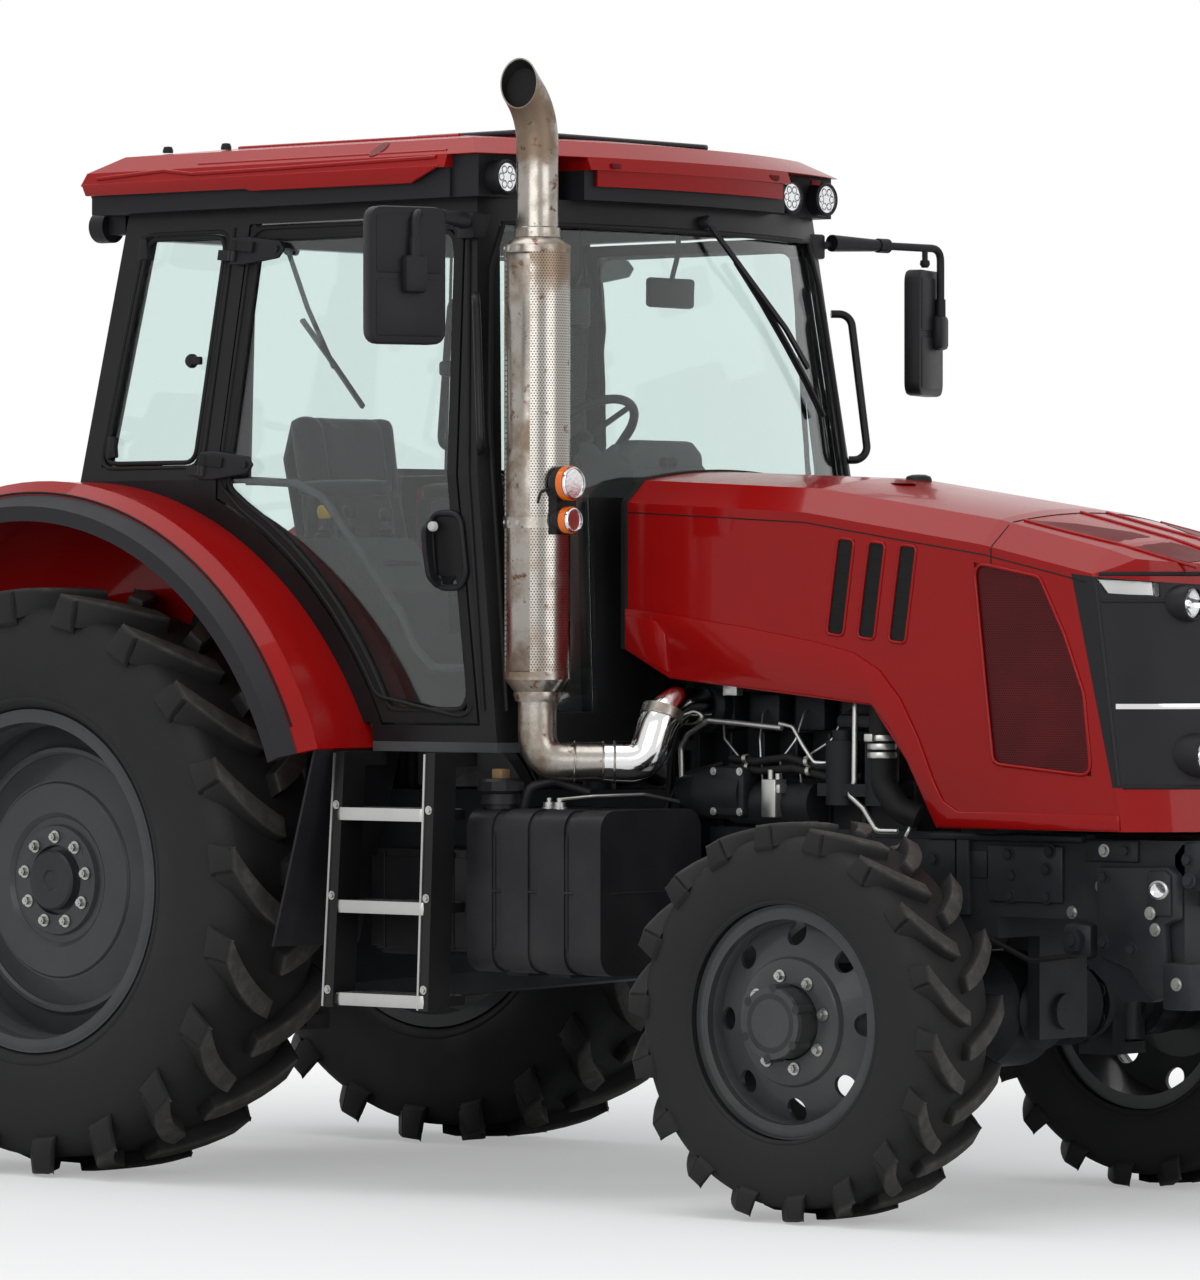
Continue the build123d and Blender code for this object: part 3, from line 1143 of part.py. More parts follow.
# ================================================================ exhaust
with BuildPart() as muffler:
    with BuildSketch(Plane.XZ.offset(-MUFFLER_Y)):
        with BuildLine():
            Polyline((fore(MUFFLER_X), MUFFLER_BOTTOM - 60), (fore(MUFFLER_X + PIPE_R), MUFFLER_BOTTOM - 60),
                     (fore(MUFFLER_X + MUFFLER_R), MUFFLER_BOTTOM),
                     (fore(MUFFLER_X + MUFFLER_R), MUFFLER_TOP),
                     (fore(MUFFLER_X + TAIL_R), MUFFLER_TOP + 26), (fore(MUFFLER_X), MUFFLER_TOP + 26),
                     close=True)
        make_face()
    revolve(axis=Axis((fore(MUFFLER_X), MUFFLER_Y, 0), (0, 0, 1)))
    tail_run = [(fore(MUFFLER_X), MUFFLER_Y, MUFFLER_TOP), (fore(MUFFLER_X), MUFFLER_Y, TAIL_TOP - 110),
            (fore(MUFFLER_X - 100), MUFFLER_Y - 55, TAIL_TOP - 40)]
    add(tube_path(tail_run, 120, TAIL_R))
    mouth = Vector(*tail_run[2])
    with BuildSketch(Plane(origin=mouth, z_dir=mouth - Vector(*tail_run[1]))):
        Circle(TAIL_R - 5)
    extrude(amount=-90, mode=Mode.SUBTRACT)
keep(muffler.part, "muffler")

with BuildPart() as exhaust_pipe:
    route = [(fore(MUFFLER_X), MUFFLER_Y, MUFFLER_BOTTOM - 60), (fore(MUFFLER_X), MUFFLER_Y, 1235),
             (fore(1950), -525, 1235), (fore(1950), -525, TURBO_Z), (fore(1950), -TURBO_Y, TURBO_Z)]
    add(tube_path(route, 58, PIPE_R))
keep(exhaust_pipe.part, "exhaust_pipe")


# ================================================================ boxes, steps, hand rails, mirrors
with BuildPart() as fuel_tanks:
    with BuildSketch(Plane.YZ.offset(fore(1515))):
        with Locations((TANK_Y, TANK_Z)):
            RectangleRounded(TANK_WIDTH, TANK_HEIGHT, 60)
    extrude(amount=500)
    for distance in (1610, 1745, 1880):
        with BuildSketch(Plane.YZ.offset(fore(distance))):
            with Locations((TANK_Y, TANK_Z)):
                RectangleRounded(TANK_WIDTH + 20, TANK_HEIGHT + 20, 60)
                RectangleRounded(TANK_WIDTH - 12, TANK_HEIGHT - 12, 56, mode=Mode.SUBTRACT)
        extrude(amount=36, mode=Mode.SUBTRACT)
    add(bar_z(fore(1570), 760, 45, 1100, 1150))
    mirror(about=Plane.XZ)
keep(fuel_tanks.part, "fuel_tanks")

with BuildPart() as side_boxes:
    for side in (-1, 1):
        with BuildSketch(Plane.XY.offset(690)):
            with Locations((fore(1245), side * 585)):
                RectangleRounded(370, 310, 24)
        extrude(amount=290)
keep(side_boxes.part, "side_boxes")

with BuildPart() as outside_cab:
    add(block((fore(1000), fore(2000)), (-1500, 1500), (FLOOR_Z, CAB_TOP_Z)))
    add(cab_body(-SEAT_GAP), mode=Mode.SUBTRACT)

with BuildPart() as cab_steps:
    for foot, head in STEP_SPANS:
        stringer = [(fore(foot - 18), 530), (fore(foot + 18), 530), (fore(head + 18), FLOOR_Z - FLOOR_WALL),
                    (fore(head - 18), FLOOR_Z - FLOOR_WALL)]
        add(side_plate(stringer, 868, 960))
        add(block((fore(head - 18), fore(head + 18)), (780, 880),
                  (FLOOR_Z - FLOOR_WALL - 40, FLOOR_Z - FLOOR_WALL)))
    for height in TREAD_HEIGHTS:
        add(block((fore(1095), fore(1468)), (800, 955), (height - 14, height + 14)))
    mirror(about=Plane.XZ)
keep(cab_steps.part, "cab_steps")

# mirrors: a bracket on the front pillar, a bent arm and a tall head turned towards the driver
with BuildPart() as mirrors:
    for side, elbow, head, elbow_y, head_y, arm_z, head_z in MIRROR_PLACES:
        add(within(block((fore(1435), fore(1500)), sorted((side * 690, side * 800)), (2725, 2800)),
                   outside_cab.part))
        arm = [(fore(1470), side * 790, arm_z), (fore(1505), side * 870, arm_z + 10),
               (fore(elbow), side * elbow_y, arm_z + 10),
               (fore(elbow + 4), side * (elbow_y + 12), head_z + 20),
               (fore(head + 20), side * head_y, head_z)]
        add(tube_path(arm, 32, MIRROR_ARM_R))
        turned = Location((fore(head), side * head_y, head_z), (0, 0, -side * MIRROR_YAW))
        with BuildSketch(Plane(turned * Location((0, 0, 0), (0, 90, 0)))):
            RectangleRounded(385, 240, 42)
        extrude(amount=26, both=True)
keep(mirrors.part, "mirrors")

# hand rails outside the front pillars
with BuildPart() as handrails:
    rail_path = [(fore(1560), 836, 2120), (fore(1600), 880, 2120), (fore(1555), 850, 2560),
                 (fore(1515), 806, 2560)]
    add(tube_path(rail_path, 40, 12))
    add(cab_body(-SEAT_GAP), mode=Mode.SUBTRACT)
    mirror(about=Plane.XZ)
keep(handrails.part, "handrails")

# top link, stowed upright on its bracket
with BuildPart() as top_link:
    top_pin_x = GEARBOX_REAR_X - 60
    ball_z = TOP_PIN_Z + TOP_LINK_LENGTH
    for cheek in ((-40, -26), (26, 40)):
        add(block((top_pin_x - 40, GEARBOX_REAR_X), cheek, (TOP_PIN_Z - 50, TOP_PIN_Z + 50)))
    add(bar_y(top_pin_x, TOP_PIN_Z, 12, -48, 48))
    add(bar_y(top_pin_x, TOP_PIN_Z, 30, -22, 22))
    add(bar_z(top_pin_x, 0, 16, TOP_PIN_Z + 20, ball_z - 20))
    add(bar_z(top_pin_x, 0, 26, TOP_PIN_Z + 150, ball_z - 200))
    add(bar_y(top_pin_x, ball_z, 36, -TOP_BALL_HALF, TOP_BALL_HALF))
    add(bar_y(top_pin_x, ball_z, TOP_BALL_BORE_R, -40, 40), mode=Mode.SUBTRACT)
keep(top_link.part, "top_link")
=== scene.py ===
"""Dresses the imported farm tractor: finishes, tread, lamps, pipes, hoses, glazing seals and trim."""

import math

import bmesh
import bpy
from mathutils import Matrix, Vector


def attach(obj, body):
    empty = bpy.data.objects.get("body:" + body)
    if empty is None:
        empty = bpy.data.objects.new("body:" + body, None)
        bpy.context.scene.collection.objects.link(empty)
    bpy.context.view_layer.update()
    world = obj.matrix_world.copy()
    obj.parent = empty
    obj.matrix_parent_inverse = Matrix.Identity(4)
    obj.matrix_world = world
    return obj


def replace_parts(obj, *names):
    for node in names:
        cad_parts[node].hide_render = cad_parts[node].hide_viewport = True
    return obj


bl_info = {
    "name": "Farm tractor dressing",
    "version": (1, 0, 0),
    "blender": (4, 5, 0),
    "location": "3D View > Sidebar > Tractor",
    "description": "Finishes and trim for the packed farm tractor",
    "category": "Object",
}

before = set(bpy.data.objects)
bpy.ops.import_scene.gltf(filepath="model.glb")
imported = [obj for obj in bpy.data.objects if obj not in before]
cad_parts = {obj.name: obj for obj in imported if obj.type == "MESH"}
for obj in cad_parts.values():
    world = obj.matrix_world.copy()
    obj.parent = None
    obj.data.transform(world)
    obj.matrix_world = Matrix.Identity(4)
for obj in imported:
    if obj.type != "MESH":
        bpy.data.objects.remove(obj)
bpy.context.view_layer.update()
REAR_X, FRONT_X = -1.315, 1.435
SIDES = (("left", 1), ("right", -1))
FINISH = {}


def fore(distance):
    """Place along the machine, in metres, of a point so many millimetres ahead of the rear axle."""
    return REAR_X + distance / 1000


def spot(distance, across, height):
    """Point given in millimetres: ahead of the rear axle, to the left, above the ground."""
    return Vector((REAR_X + distance / 1000, across / 1000, height / 1000))


def spots(*points):
    """Points given in millimetres, each as for spot."""
    return [spot(*point) for point in points]


def mm(*pairs):
    """Profile or outline given in millimetres."""
    return [(first / 1000, second / 1000) for first, second in pairs]


def side_view(points):
    """Side outline in metres from points (ahead of the rear axle, above the ground) in millimetres."""
    return [(fore(distance), height / 1000) for distance, height in points]


def upright(distance, across, height):
    """Upright place at a point given in millimetres."""
    return Matrix.Translation(spot(distance, across, height))


# ================================================================ settings
def length(name, description, default):
    """Length setting in metres."""
    return bpy.props.FloatProperty(name=name, description=description, default=default, unit="LENGTH")


def colour_setting(name, description, default):
    """Colour setting."""
    return bpy.props.FloatVectorProperty(name=name, description=description, default=default,
                                         subtype="COLOR")


class TyreSettings(bpy.types.PropertyGroup):
    rear_radius: length("Rear radius", "Rear tyre over the lugs", 0.868)
    rear_half: length("Rear half width", "Half width of the rear tyre", 0.2335)
    rear_bead: length("Rear bead", "Bead radius of the rear tyre", 0.480)
    rear_lugs: bpy.props.IntProperty(name="Rear lugs", description="Lugs on each half of a rear tyre",
                                     default=20, min=8)
    front_radius: length("Front radius", "Front tyre over the lugs", 0.545)
    front_half: length("Front half width", "Half width of the front tyre", 0.155)
    front_bead: length("Front bead", "Bead radius of the front tyre", 0.292)
    front_lugs: bpy.props.IntProperty(name="Front lugs", description="Lugs on each half of a front tyre",
                                      default=18, min=8)


class PaintSettings(bpy.types.PropertyGroup):
    body_red: colour_setting("Body red", "Hood, roof and fender paint", (0.30, 0.005, 0.005))
    chassis: colour_setting("Chassis", "Frame, axle and gearbox paint", (0.020, 0.022, 0.026))
    rim: colour_setting("Rim", "Wheel rim paint", (0.050, 0.053, 0.056))
    plastic: colour_setting("Plastic", "Moulded black plastic", (0.012, 0.012, 0.014))
    rubber: colour_setting("Rubber", "Tyre rubber", (0.016, 0.016, 0.016))
    glass: colour_setting("Glass", "Cab glass tint", (0.80, 0.885, 0.865))


class StageSettings(bpy.types.PropertyGroup):
    lens: bpy.props.FloatProperty(name="Lens", description="Camera focal length in millimetres",
                                  default=202.08)
    ahead: length("Ahead", "Camera place ahead of the rear axle", 15.084)
    aside: length("Aside", "Camera place to the right of the machine", 16.082)
    turn: bpy.props.FloatProperty(name="Turn", description="Camera heading from across", default=0.709)
    height: length("Height", "Camera height", 1.646)
    floor: colour_setting("Floor", "Floor colour", (0.86, 0.86, 0.86))


# ================================================================ shapes
def circle(radius, sides):
    """Points round a circle."""
    turns = [2 * math.pi * k / sides for k in range(sides)]
    return [(radius * math.cos(turn), radius * math.sin(turn)) for turn in turns]


class Shape:
    """Gathers the parts of one piece in one mesh."""

    def __init__(self, name):
        self.name = name
        self.bm = bmesh.new()

    def loft(self, near, far, bevel=0.0, steps=2):
        """Solid between two outlines with the same number of points."""
        verts = [self.bm.verts.new(point) for point in near + far]
        count = len(near)
        faces = [range(count), range(2 * count - 1, count - 1, -1)]
        faces += [(i, i + count, (i + 1) % count + count, (i + 1) % count) for i in range(count)]
        made = [self.bm.faces.new([verts[i] for i in face]) for face in faces]
        bmesh.ops.recalc_face_normals(self.bm, faces=made)
        self.bevel(made, bevel, steps)

    def bevel(self, faces, width, steps=2):
        """Rounds the sharp edges of the given faces."""
        if width <= 0:
            return
        edges = {edge for face in faces if face.is_valid for edge in face.edges}
        sharp = [edge for edge in edges if len(edge.link_faces) == 2 and edge.calc_face_angle(0) > 0.5]
        bmesh.ops.bevel(self.bm, geom=sharp, offset=width, segments=steps, affect="EDGES", profile=0.5,
                        clamp_overlap=True)

    def prism(self, outline, axis, low, high, bevel=0.0, place=None):
        """Solid over an outline: axis x takes (y, z), y takes (x, z), z takes (x, y)."""
        def at(a, b, depth):
            point = {"x": (depth, a, b), "y": (a, depth, b), "z": (a, b, depth)}[axis]
            return place @ Vector(point) if place else Vector(point)
        self.loft([at(a, b, low) for a, b in outline], [at(a, b, high) for a, b in outline], bevel)

    def box(self, low, high, bevel=0.0, place=None):
        """Box between two corners."""
        outline = [(low[0], low[1]), (high[0], low[1]), (high[0], high[1]), (low[0], high[1])]
        self.prism(outline, "z", low[2], high[2], bevel, place)

    def block(self, low, high, bevel=0.0):
        """Box between two points given in millimetres, each as for spot."""
        self.box(*[(fore(x), y / 1000, z / 1000) for x, y, z in (low, high)], bevel / 1000)

    def lathe(self, profile, place, sides=48, closed=False):
        """Turned shape: profile of (radius, height) about the Z axis of place, ends on the axis closed."""
        rows = []
        for radius, height in profile:
            ring = circle(radius, sides) if radius > 1e-6 else [(0, 0)]
            rows.append([self.bm.verts.new(place @ Vector((x, y, height))) for x, y in ring])
        made = []
        pairs = list(zip(rows, rows[1:])) + ([(rows[-1], rows[0])] if closed else [])
        for lower, upper in pairs:
            for k in range(sides):
                n = (k + 1) % sides
                ring = [lower[k % len(lower)], lower[n % len(lower)], upper[n % len(upper)],
                        upper[k % len(upper)]]
                ring = [v for i, v in enumerate(ring) if v not in ring[:i]]
                if len(ring) > 2:
                    made.append(self.bm.faces.new(ring))
        bmesh.ops.recalc_face_normals(self.bm, faces=made)

    def bar(self, start, end, radius, tip=None, sides=20):
        """Round bar or cone between two points."""
        start, end = Vector(start), Vector(end)
        place = Matrix.Translation(start) @ (end - start).to_track_quat("Z", "Y").to_matrix().to_4x4()
        reach = (end - start).length
        self.lathe([(0, 0), (radius, 0), (radius if tip is None else tip, reach), (0, reach)], place, sides)

    def tube(self, points, radius, bend, sides=12, steps=6):
        """Round tube along straight runs joined by arcs."""
        self.sweep(rounded(points, bend, steps), circle(radius, sides))

    def skin(self, rows, closed=False):
        """Skin over rows of points, each row once round; open ends are closed."""
        rows = [[self.bm.verts.new(point) for point in row] for row in rows]
        made = []
        for lower, upper in list(zip(rows, rows[1:])) + ([(rows[-1], rows[0])] if closed else []):
            for k in range(len(lower)):
                n = (k + 1) % len(lower)
                made.append(self.bm.faces.new((lower[k], lower[n], upper[n], upper[k])))
        if not closed:
            made += [self.bm.faces.new(rows[0]), self.bm.faces.new(rows[-1])]
        bmesh.ops.recalc_face_normals(self.bm, faces=made)
        return made

    def sweep(self, path, section, up=None, closed=False):
        """Section of (across, up) carried along a path."""
        count = len(path)
        rows = []
        across = None
        for i, point in enumerate(path):
            if closed:
                ahead = (path[(i + 1) % count] - path[i - 1]).normalized()
            else:
                ahead = (path[min(i + 1, count - 1)] - path[max(i - 1, 0)]).normalized()
            if up is not None:
                across = ahead.cross(Vector(up)).normalized()
            elif across is None:
                across = ahead.orthogonal().normalized()
            else:
                across = (across - ahead * across.dot(ahead)).normalized()
            rise = across.cross(ahead)
            rows.append([point + across * a + rise * b for a, b in section])
        self.skin(rows, closed)

    def mirror(self):
        """Adds the same parts on the other side of the machine."""
        copy = self.bm.copy()
        bmesh.ops.transform(copy, matrix=Matrix.Scale(-1, 4, (0, 1, 0)), verts=copy.verts)
        bmesh.ops.reverse_faces(copy, faces=copy.faces)
        other = bpy.data.meshes.new("mirrored")
        copy.to_mesh(other)
        copy.free()
        self.bm.from_mesh(other)
        bpy.data.meshes.remove(other)
        return self

    def mesh(self):
        """The shape as a mesh by itself."""
        mesh = bpy.data.meshes.new(self.name)
        self.bm.to_mesh(mesh)
        self.bm.free()
        return mesh

    def finish(self, finish, body="chassis", smooth=40):
        """Makes the mesh a piece with a finish, riding on a body."""
        return piece(self.name, self.mesh(), finish, body, smooth)


def piece(name, mesh, finish, body, smooth=40):
    """Links a mesh as a piece that rides on a body."""
    mesh.materials.clear()
    mesh.materials.append(FINISH[finish])
    if smooth:
        mesh.polygons.foreach_set("use_smooth", [True] * len(mesh.polygons))
        mesh.set_sharp_from_angle(angle=math.radians(smooth))
    made = bpy.data.objects.new(name, mesh)
    bpy.context.scene.collection.objects.link(made)
    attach(made, body)
    return made


def rounded(points, bend, steps=6):
    """Points of straight runs whose corners are arcs."""
    points = [Vector(point) for point in points]
    path = [points[0]]
    for before, corner, after in zip(points, points[1:], points[2:]):
        back, out = (before - corner), (after - corner)
        turn = back.angle(out)
        reach = min(bend / math.tan(turn / 2), 0.48 * back.length, 0.48 * out.length)
        start, end = corner + back.normalized() * reach, corner + out.normalized() * reach
        for k in range(steps + 1):
            t = k / steps
            path.append(start * (1 - t) ** 2 + corner * 2 * t * (1 - t) + end * t ** 2)
    path.append(points[-1])
    return path


def ring_path(corners, bend, steps=5):
    """Closed path with rounded corners."""
    start = (Vector(corners[0]) + Vector(corners[-1])) / 2
    return rounded([start, *corners, start], bend, steps)[:-1]


def facing(point, direction):
    """Place whose Z axis points along a direction."""
    return Matrix.Translation(Vector(point)) @ Vector(direction).to_track_quat("Z",
            "Y").to_matrix().to_4x4()


# ================================================================ repeats
def geometry_tree(name, sockets):
    """Empty geometry tree with a mesh in, a mesh out and named inputs."""
    tree = bpy.data.node_groups.new(name, "GeometryNodeTree")
    tree.interface.new_socket(name="Geometry", in_out="INPUT", socket_type="NodeSocketGeometry")
    for label, kind, default in sockets:
        socket = tree.interface.new_socket(name=label, in_out="INPUT", socket_type=kind)
        if default is not None:
            socket.default_value = default
    tree.interface.new_socket(name="Geometry", in_out="OUTPUT", socket_type="NodeSocketGeometry")
    return tree, tree.nodes.new("NodeGroupInput"), tree.nodes.new("NodeGroupOutput")


def close_tree(tree, start, end, last):
    """Ends a tree in Realize Instances and Set Material."""
    real = tree.nodes.new("GeometryNodeRealizeInstances")
    paint = tree.nodes.new("GeometryNodeSetMaterial")
    tree.links.new(last, real.inputs[0])
    tree.links.new(real.outputs[0], paint.inputs["Geometry"])
    tree.links.new(start.outputs["Material"], paint.inputs["Material"])
    tree.links.new(paint.outputs[0], end.inputs[0])


def bolt_tree():
    """Hex heads on washers at a mesh's points, facing along each point's "facing" attribute."""
    tree, start, end = geometry_tree("bolt_heads", (("Head radius", "NodeSocketFloat", 0.011),
                                                    ("Head height", "NodeSocketFloat", 0.008),
                                                    ("Washer radius", "NodeSocketFloat", 0.015),
                                                    ("Material", "NodeSocketMaterial", None)))
    link = tree.links.new
    head = tree.nodes.new("GeometryNodeMeshCone")
    head.inputs["Vertices"].default_value = 6
    link(start.outputs["Head radius"], head.inputs["Radius Bottom"])
    crown = tree.nodes.new("ShaderNodeMath")
    crown.operation = "MULTIPLY"
    crown.inputs[1].default_value = 0.88
    link(start.outputs["Head radius"], crown.inputs[0])
    link(crown.outputs[0], head.inputs["Radius Top"])
    link(start.outputs["Head height"], head.inputs["Depth"])
    washer = tree.nodes.new("GeometryNodeMeshCylinder")
    washer.inputs["Vertices"].default_value = 16
    washer.inputs["Depth"].default_value = 0.004
    link(start.outputs["Washer radius"], washer.inputs["Radius"])
    both = tree.nodes.new("GeometryNodeJoinGeometry")
    link(head.outputs["Mesh"], both.inputs[0])
    link(washer.outputs["Mesh"], both.inputs[0])
    named = tree.nodes.new("GeometryNodeInputNamedAttribute")
    named.data_type = "FLOAT_VECTOR"
    named.inputs["Name"].default_value = "facing"
    align = tree.nodes.new("FunctionNodeAlignRotationToVector")
    align.axis = "Z"
    link(named.outputs["Attribute"], align.inputs["Vector"])
    spread = tree.nodes.new("GeometryNodeInstanceOnPoints")
    link(start.outputs["Geometry"], spread.inputs["Points"])
    link(both.outputs[0], spread.inputs["Instance"])
    link(align.outputs[0], spread.inputs["Rotation"])
    close_tree(tree, start, end, spread.outputs[0])
    return tree


def ring_tree():
    """Copies of a mesh turned about the machine's Y axis at a centre."""
    tree, start, end = geometry_tree("ring_of_copies", (("Count", "NodeSocketInt", 20),
                                                        ("Centre", "NodeSocketVector", (0, 0, 0)),
                                                        ("Start turn", "NodeSocketFloat", 0.0),
                                                        ("Material", "NodeSocketMaterial", None)))
    link = tree.links.new
    points = tree.nodes.new("GeometryNodePoints")
    link(start.outputs["Count"], points.inputs["Count"])
    link(start.outputs["Centre"], points.inputs["Position"])
    index = tree.nodes.new("GeometryNodeInputIndex")
    turn = tree.nodes.new("ShaderNodeMath")
    turn.operation = "DIVIDE"
    turn.inputs[0].default_value = 2 * math.pi
    link(start.outputs["Count"], turn.inputs[1])
    angle = tree.nodes.new("ShaderNodeMath")
    angle.operation = "MULTIPLY_ADD"
    link(index.outputs[0], angle.inputs[0])
    link(turn.outputs[0], angle.inputs[1])
    link(start.outputs["Start turn"], angle.inputs[2])
    euler = tree.nodes.new("ShaderNodeCombineXYZ")
    link(angle.outputs[0], euler.inputs["Y"])
    rotation = tree.nodes.new("FunctionNodeEulerToRotation")
    link(euler.outputs[0], rotation.inputs[0])
    spread = tree.nodes.new("GeometryNodeInstanceOnPoints")
    link(points.outputs[0], spread.inputs["Points"])
    link(start.outputs["Geometry"], spread.inputs["Instance"])
    link(rotation.outputs[0], spread.inputs["Rotation"])
    close_tree(tree, start, end, spread.outputs[0])
    return tree


def through_tree(name, mesh, tree, values, finish, body, smooth=30):
    """Runs a mesh through a geometry tree and keeps the result as a plain piece."""
    source = bpy.data.objects.new(name + "_source", mesh)
    bpy.context.scene.collection.objects.link(source)
    modifier = source.modifiers.new("repeat", "NODES")
    modifier.node_group = tree
    values = dict(values, Material=FINISH[finish])
    for item in tree.interface.items_tree:
        if item.item_type == "SOCKET" and item.in_out == "INPUT" and item.name in values:
            modifier[item.identifier] = values[item.name]
    bpy.context.view_layer.update()
    graph = bpy.context.evaluated_depsgraph_get()
    result = bpy.data.meshes.new_from_object(source.evaluated_get(graph))
    result.name = name
    bpy.data.objects.remove(source)
    return piece(name, result, finish, body, smooth)


def bolts(name, places, radius, finish, body, height=None):
    """Bolt heads at (point, direction) places."""
    mesh = bpy.data.meshes.new(name + "_points")
    mesh.from_pydata([Vector(point) for point, _ in places], [], [])
    facing_attribute = mesh.attributes.new("facing", "FLOAT_VECTOR", "POINT")
    for item, (_, direction) in zip(facing_attribute.data, places):
        item.vector = Vector(direction).normalized()
    values = {"Head radius": radius, "Head height": height or 0.7 * radius, "Washer radius": 1.4 * radius}
    return through_tree(name, mesh, bpy.data.node_groups.get("bolt_heads") or bolt_tree(), values, finish,
                        body)


# ================================================================ finishes
def effect(name, inputs, outputs):
    """Empty shader group with named inputs and outputs."""
    tree = bpy.data.node_groups.new(name, "ShaderNodeTree")
    for label, kind, default in inputs:
        socket = tree.interface.new_socket(name=label, in_out="INPUT", socket_type=kind)
        socket.default_value = default
    for label in outputs:
        tree.interface.new_socket(name=label, in_out="OUTPUT", socket_type="NodeSocketFloat")
    return tree, tree.nodes.new("NodeGroupInput"), tree.nodes.new("NodeGroupOutput")


def math_node(tree, operation, *values):
    """Math node whose inputs are numbers or sockets."""
    node = tree.nodes.new("ShaderNodeMath")
    node.operation = operation
    for slot, value in zip(node.inputs, values):
        if isinstance(value, (int, float)):
            slot.default_value = value
        else:
            tree.links.new(value, slot)
    return node.outputs[0]


def ramp(tree, value, low, high, to_low=0.0, to_high=1.0):
    """Value mapped smoothly between two limits."""
    node = tree.nodes.new("ShaderNodeMapRange")
    node.interpolation_type = "SMOOTHSTEP"
    for label, item in (("Value", value), ("From Min", low), ("From Max", high), ("To Min", to_low),
                        ("To Max", to_high)):
        if isinstance(item, (int, float)):
            node.inputs[label].default_value = item
        else:
            tree.links.new(item, node.inputs[label])
    return node.outputs["Result"]


def split_axes(tree, vector):
    """The three values of a vector."""
    node = tree.nodes.new("ShaderNodeSeparateXYZ")
    tree.links.new(vector, node.inputs[0])
    return node.outputs


def join_axes(tree, first, second):
    """Vector with X and Y given."""
    node = tree.nodes.new("ShaderNodeCombineXYZ")
    tree.links.new(first, node.inputs["X"])
    tree.links.new(second, node.inputs["Y"])
    return node.outputs[0]


def span_of(tree, first, second):
    """Length of a vector with two values."""
    squares = [math_node(tree, "MULTIPLY", value, value) for value in (first, second)]
    return math_node(tree, "SQRT", math_node(tree, "ADD", *squares))


def mix_shaders(tree, share, first, second):
    """Shader between two shaders by a share."""
    node = tree.nodes.new("ShaderNodeMixShader")
    for slot, value in zip(node.inputs, (share, first, second)):
        tree.links.new(value, slot)
    return node.outputs[0]


def noise(tree, vector, scale, detail=5.0, roughness=0.55):
    """Noise value at a vector."""
    node = tree.nodes.new("ShaderNodeTexNoise")
    node.inputs["Detail"].default_value = detail
    node.inputs["Roughness"].default_value = roughness
    tree.links.new(vector, node.inputs["Vector"])
    if isinstance(scale, (int, float)):
        node.inputs["Scale"].default_value = scale
    else:
        tree.links.new(scale, node.inputs["Scale"])
    return node.outputs[0]


def make_effects():
    """The shader groups that several finishes share."""
    vector = ("Vector", "NodeSocketVector", (0, 0, 0))
    tree, start, end = effect("blotches",
                              (vector, ("Scale", "NodeSocketFloat", 3.0), ("Low", "NodeSocketFloat", 0.4),
                               ("High", "NodeSocketFloat", 0.6)), ("Mask",))
    cloud = noise(tree, start.outputs["Vector"], start.outputs["Scale"], 7.0, 0.62)
    tree.links.new(ramp(tree, cloud, start.outputs["Low"], start.outputs["High"]), end.inputs["Mask"])

    tree, start, end = effect("grain", (vector, ("Scale", "NodeSocketFloat", 300.0)), ("Height",))
    fine = noise(tree, start.outputs["Vector"], start.outputs["Scale"], 3.0)
    coarse = noise(tree, start.outputs["Vector"], math_node(tree, "MULTIPLY", start.outputs["Scale"], 0.22),
                   2.0)
    tree.links.new(math_node(tree, "MULTIPLY_ADD", coarse, 0.6, fine), end.inputs["Height"])

    tree, start, end = effect("ground_dust", (vector, ("Reach", "NodeSocketFloat", 1.2)), ("Mask",))
    axes = split_axes(tree, start.outputs["Vector"])
    low = math_node(tree, "SUBTRACT", 1.0, math_node(tree, "DIVIDE", axes["Z"], start.outputs["Reach"]))
    cloud = ramp(tree, noise(tree, start.outputs["Vector"], 5.0, 8.0, 0.65), 0.35, 0.75)
    tree.links.new(math_node(tree, "MULTIPLY", math_node(tree, "MAXIMUM", low, 0.0), cloud),
                   end.inputs["Mask"])

    tree, start, end = effect("round_holes", (vector, ("Pitch", "NodeSocketFloat", 0.008),
                                              ("Hole", "NodeSocketFloat", 0.3)), ("Mask",))
    axes = split_axes(tree, start.outputs["Vector"])
    row_pitch = math_node(tree, "MULTIPLY", start.outputs["Pitch"], 0.866)
    row = math_node(tree, "DIVIDE", axes["Y"], row_pitch)
    odd = math_node(tree, "MODULO", math_node(tree, "FLOOR", row), 2.0)
    column = math_node(tree, "MULTIPLY_ADD", math_node(tree, "ABSOLUTE", odd), 0.5,
                       math_node(tree, "DIVIDE", axes["X"], start.outputs["Pitch"]))
    aside = math_node(tree, "SUBTRACT", math_node(tree, "FRACT", column), 0.5)
    above = math_node(tree, "MULTIPLY", math_node(tree, "SUBTRACT", math_node(tree, "FRACT", row), 0.5),
                      0.866)
    span = span_of(tree, aside, above)
    inside = ramp(tree, math_node(tree, "SUBTRACT", start.outputs["Hole"], span), -0.03, 0.03)
    tree.links.new(inside, end.inputs["Mask"])

    tree, start, end = effect("rings", (vector, ("Spacing", "NodeSocketFloat", 0.03)), ("Height", "Radius"))
    axes = split_axes(tree, start.outputs["Vector"])
    radius = span_of(tree, axes["X"], axes["Z"])
    turns = math_node(tree, "DIVIDE", math_node(tree, "MULTIPLY", radius, 2 * math.pi),
                      start.outputs["Spacing"])
    wave = math_node(tree, "SINE", turns)
    tree.links.new(ramp(tree, wave, 0.6, 0.95), end.inputs["Height"])
    tree.links.new(radius, end.inputs["Radius"])


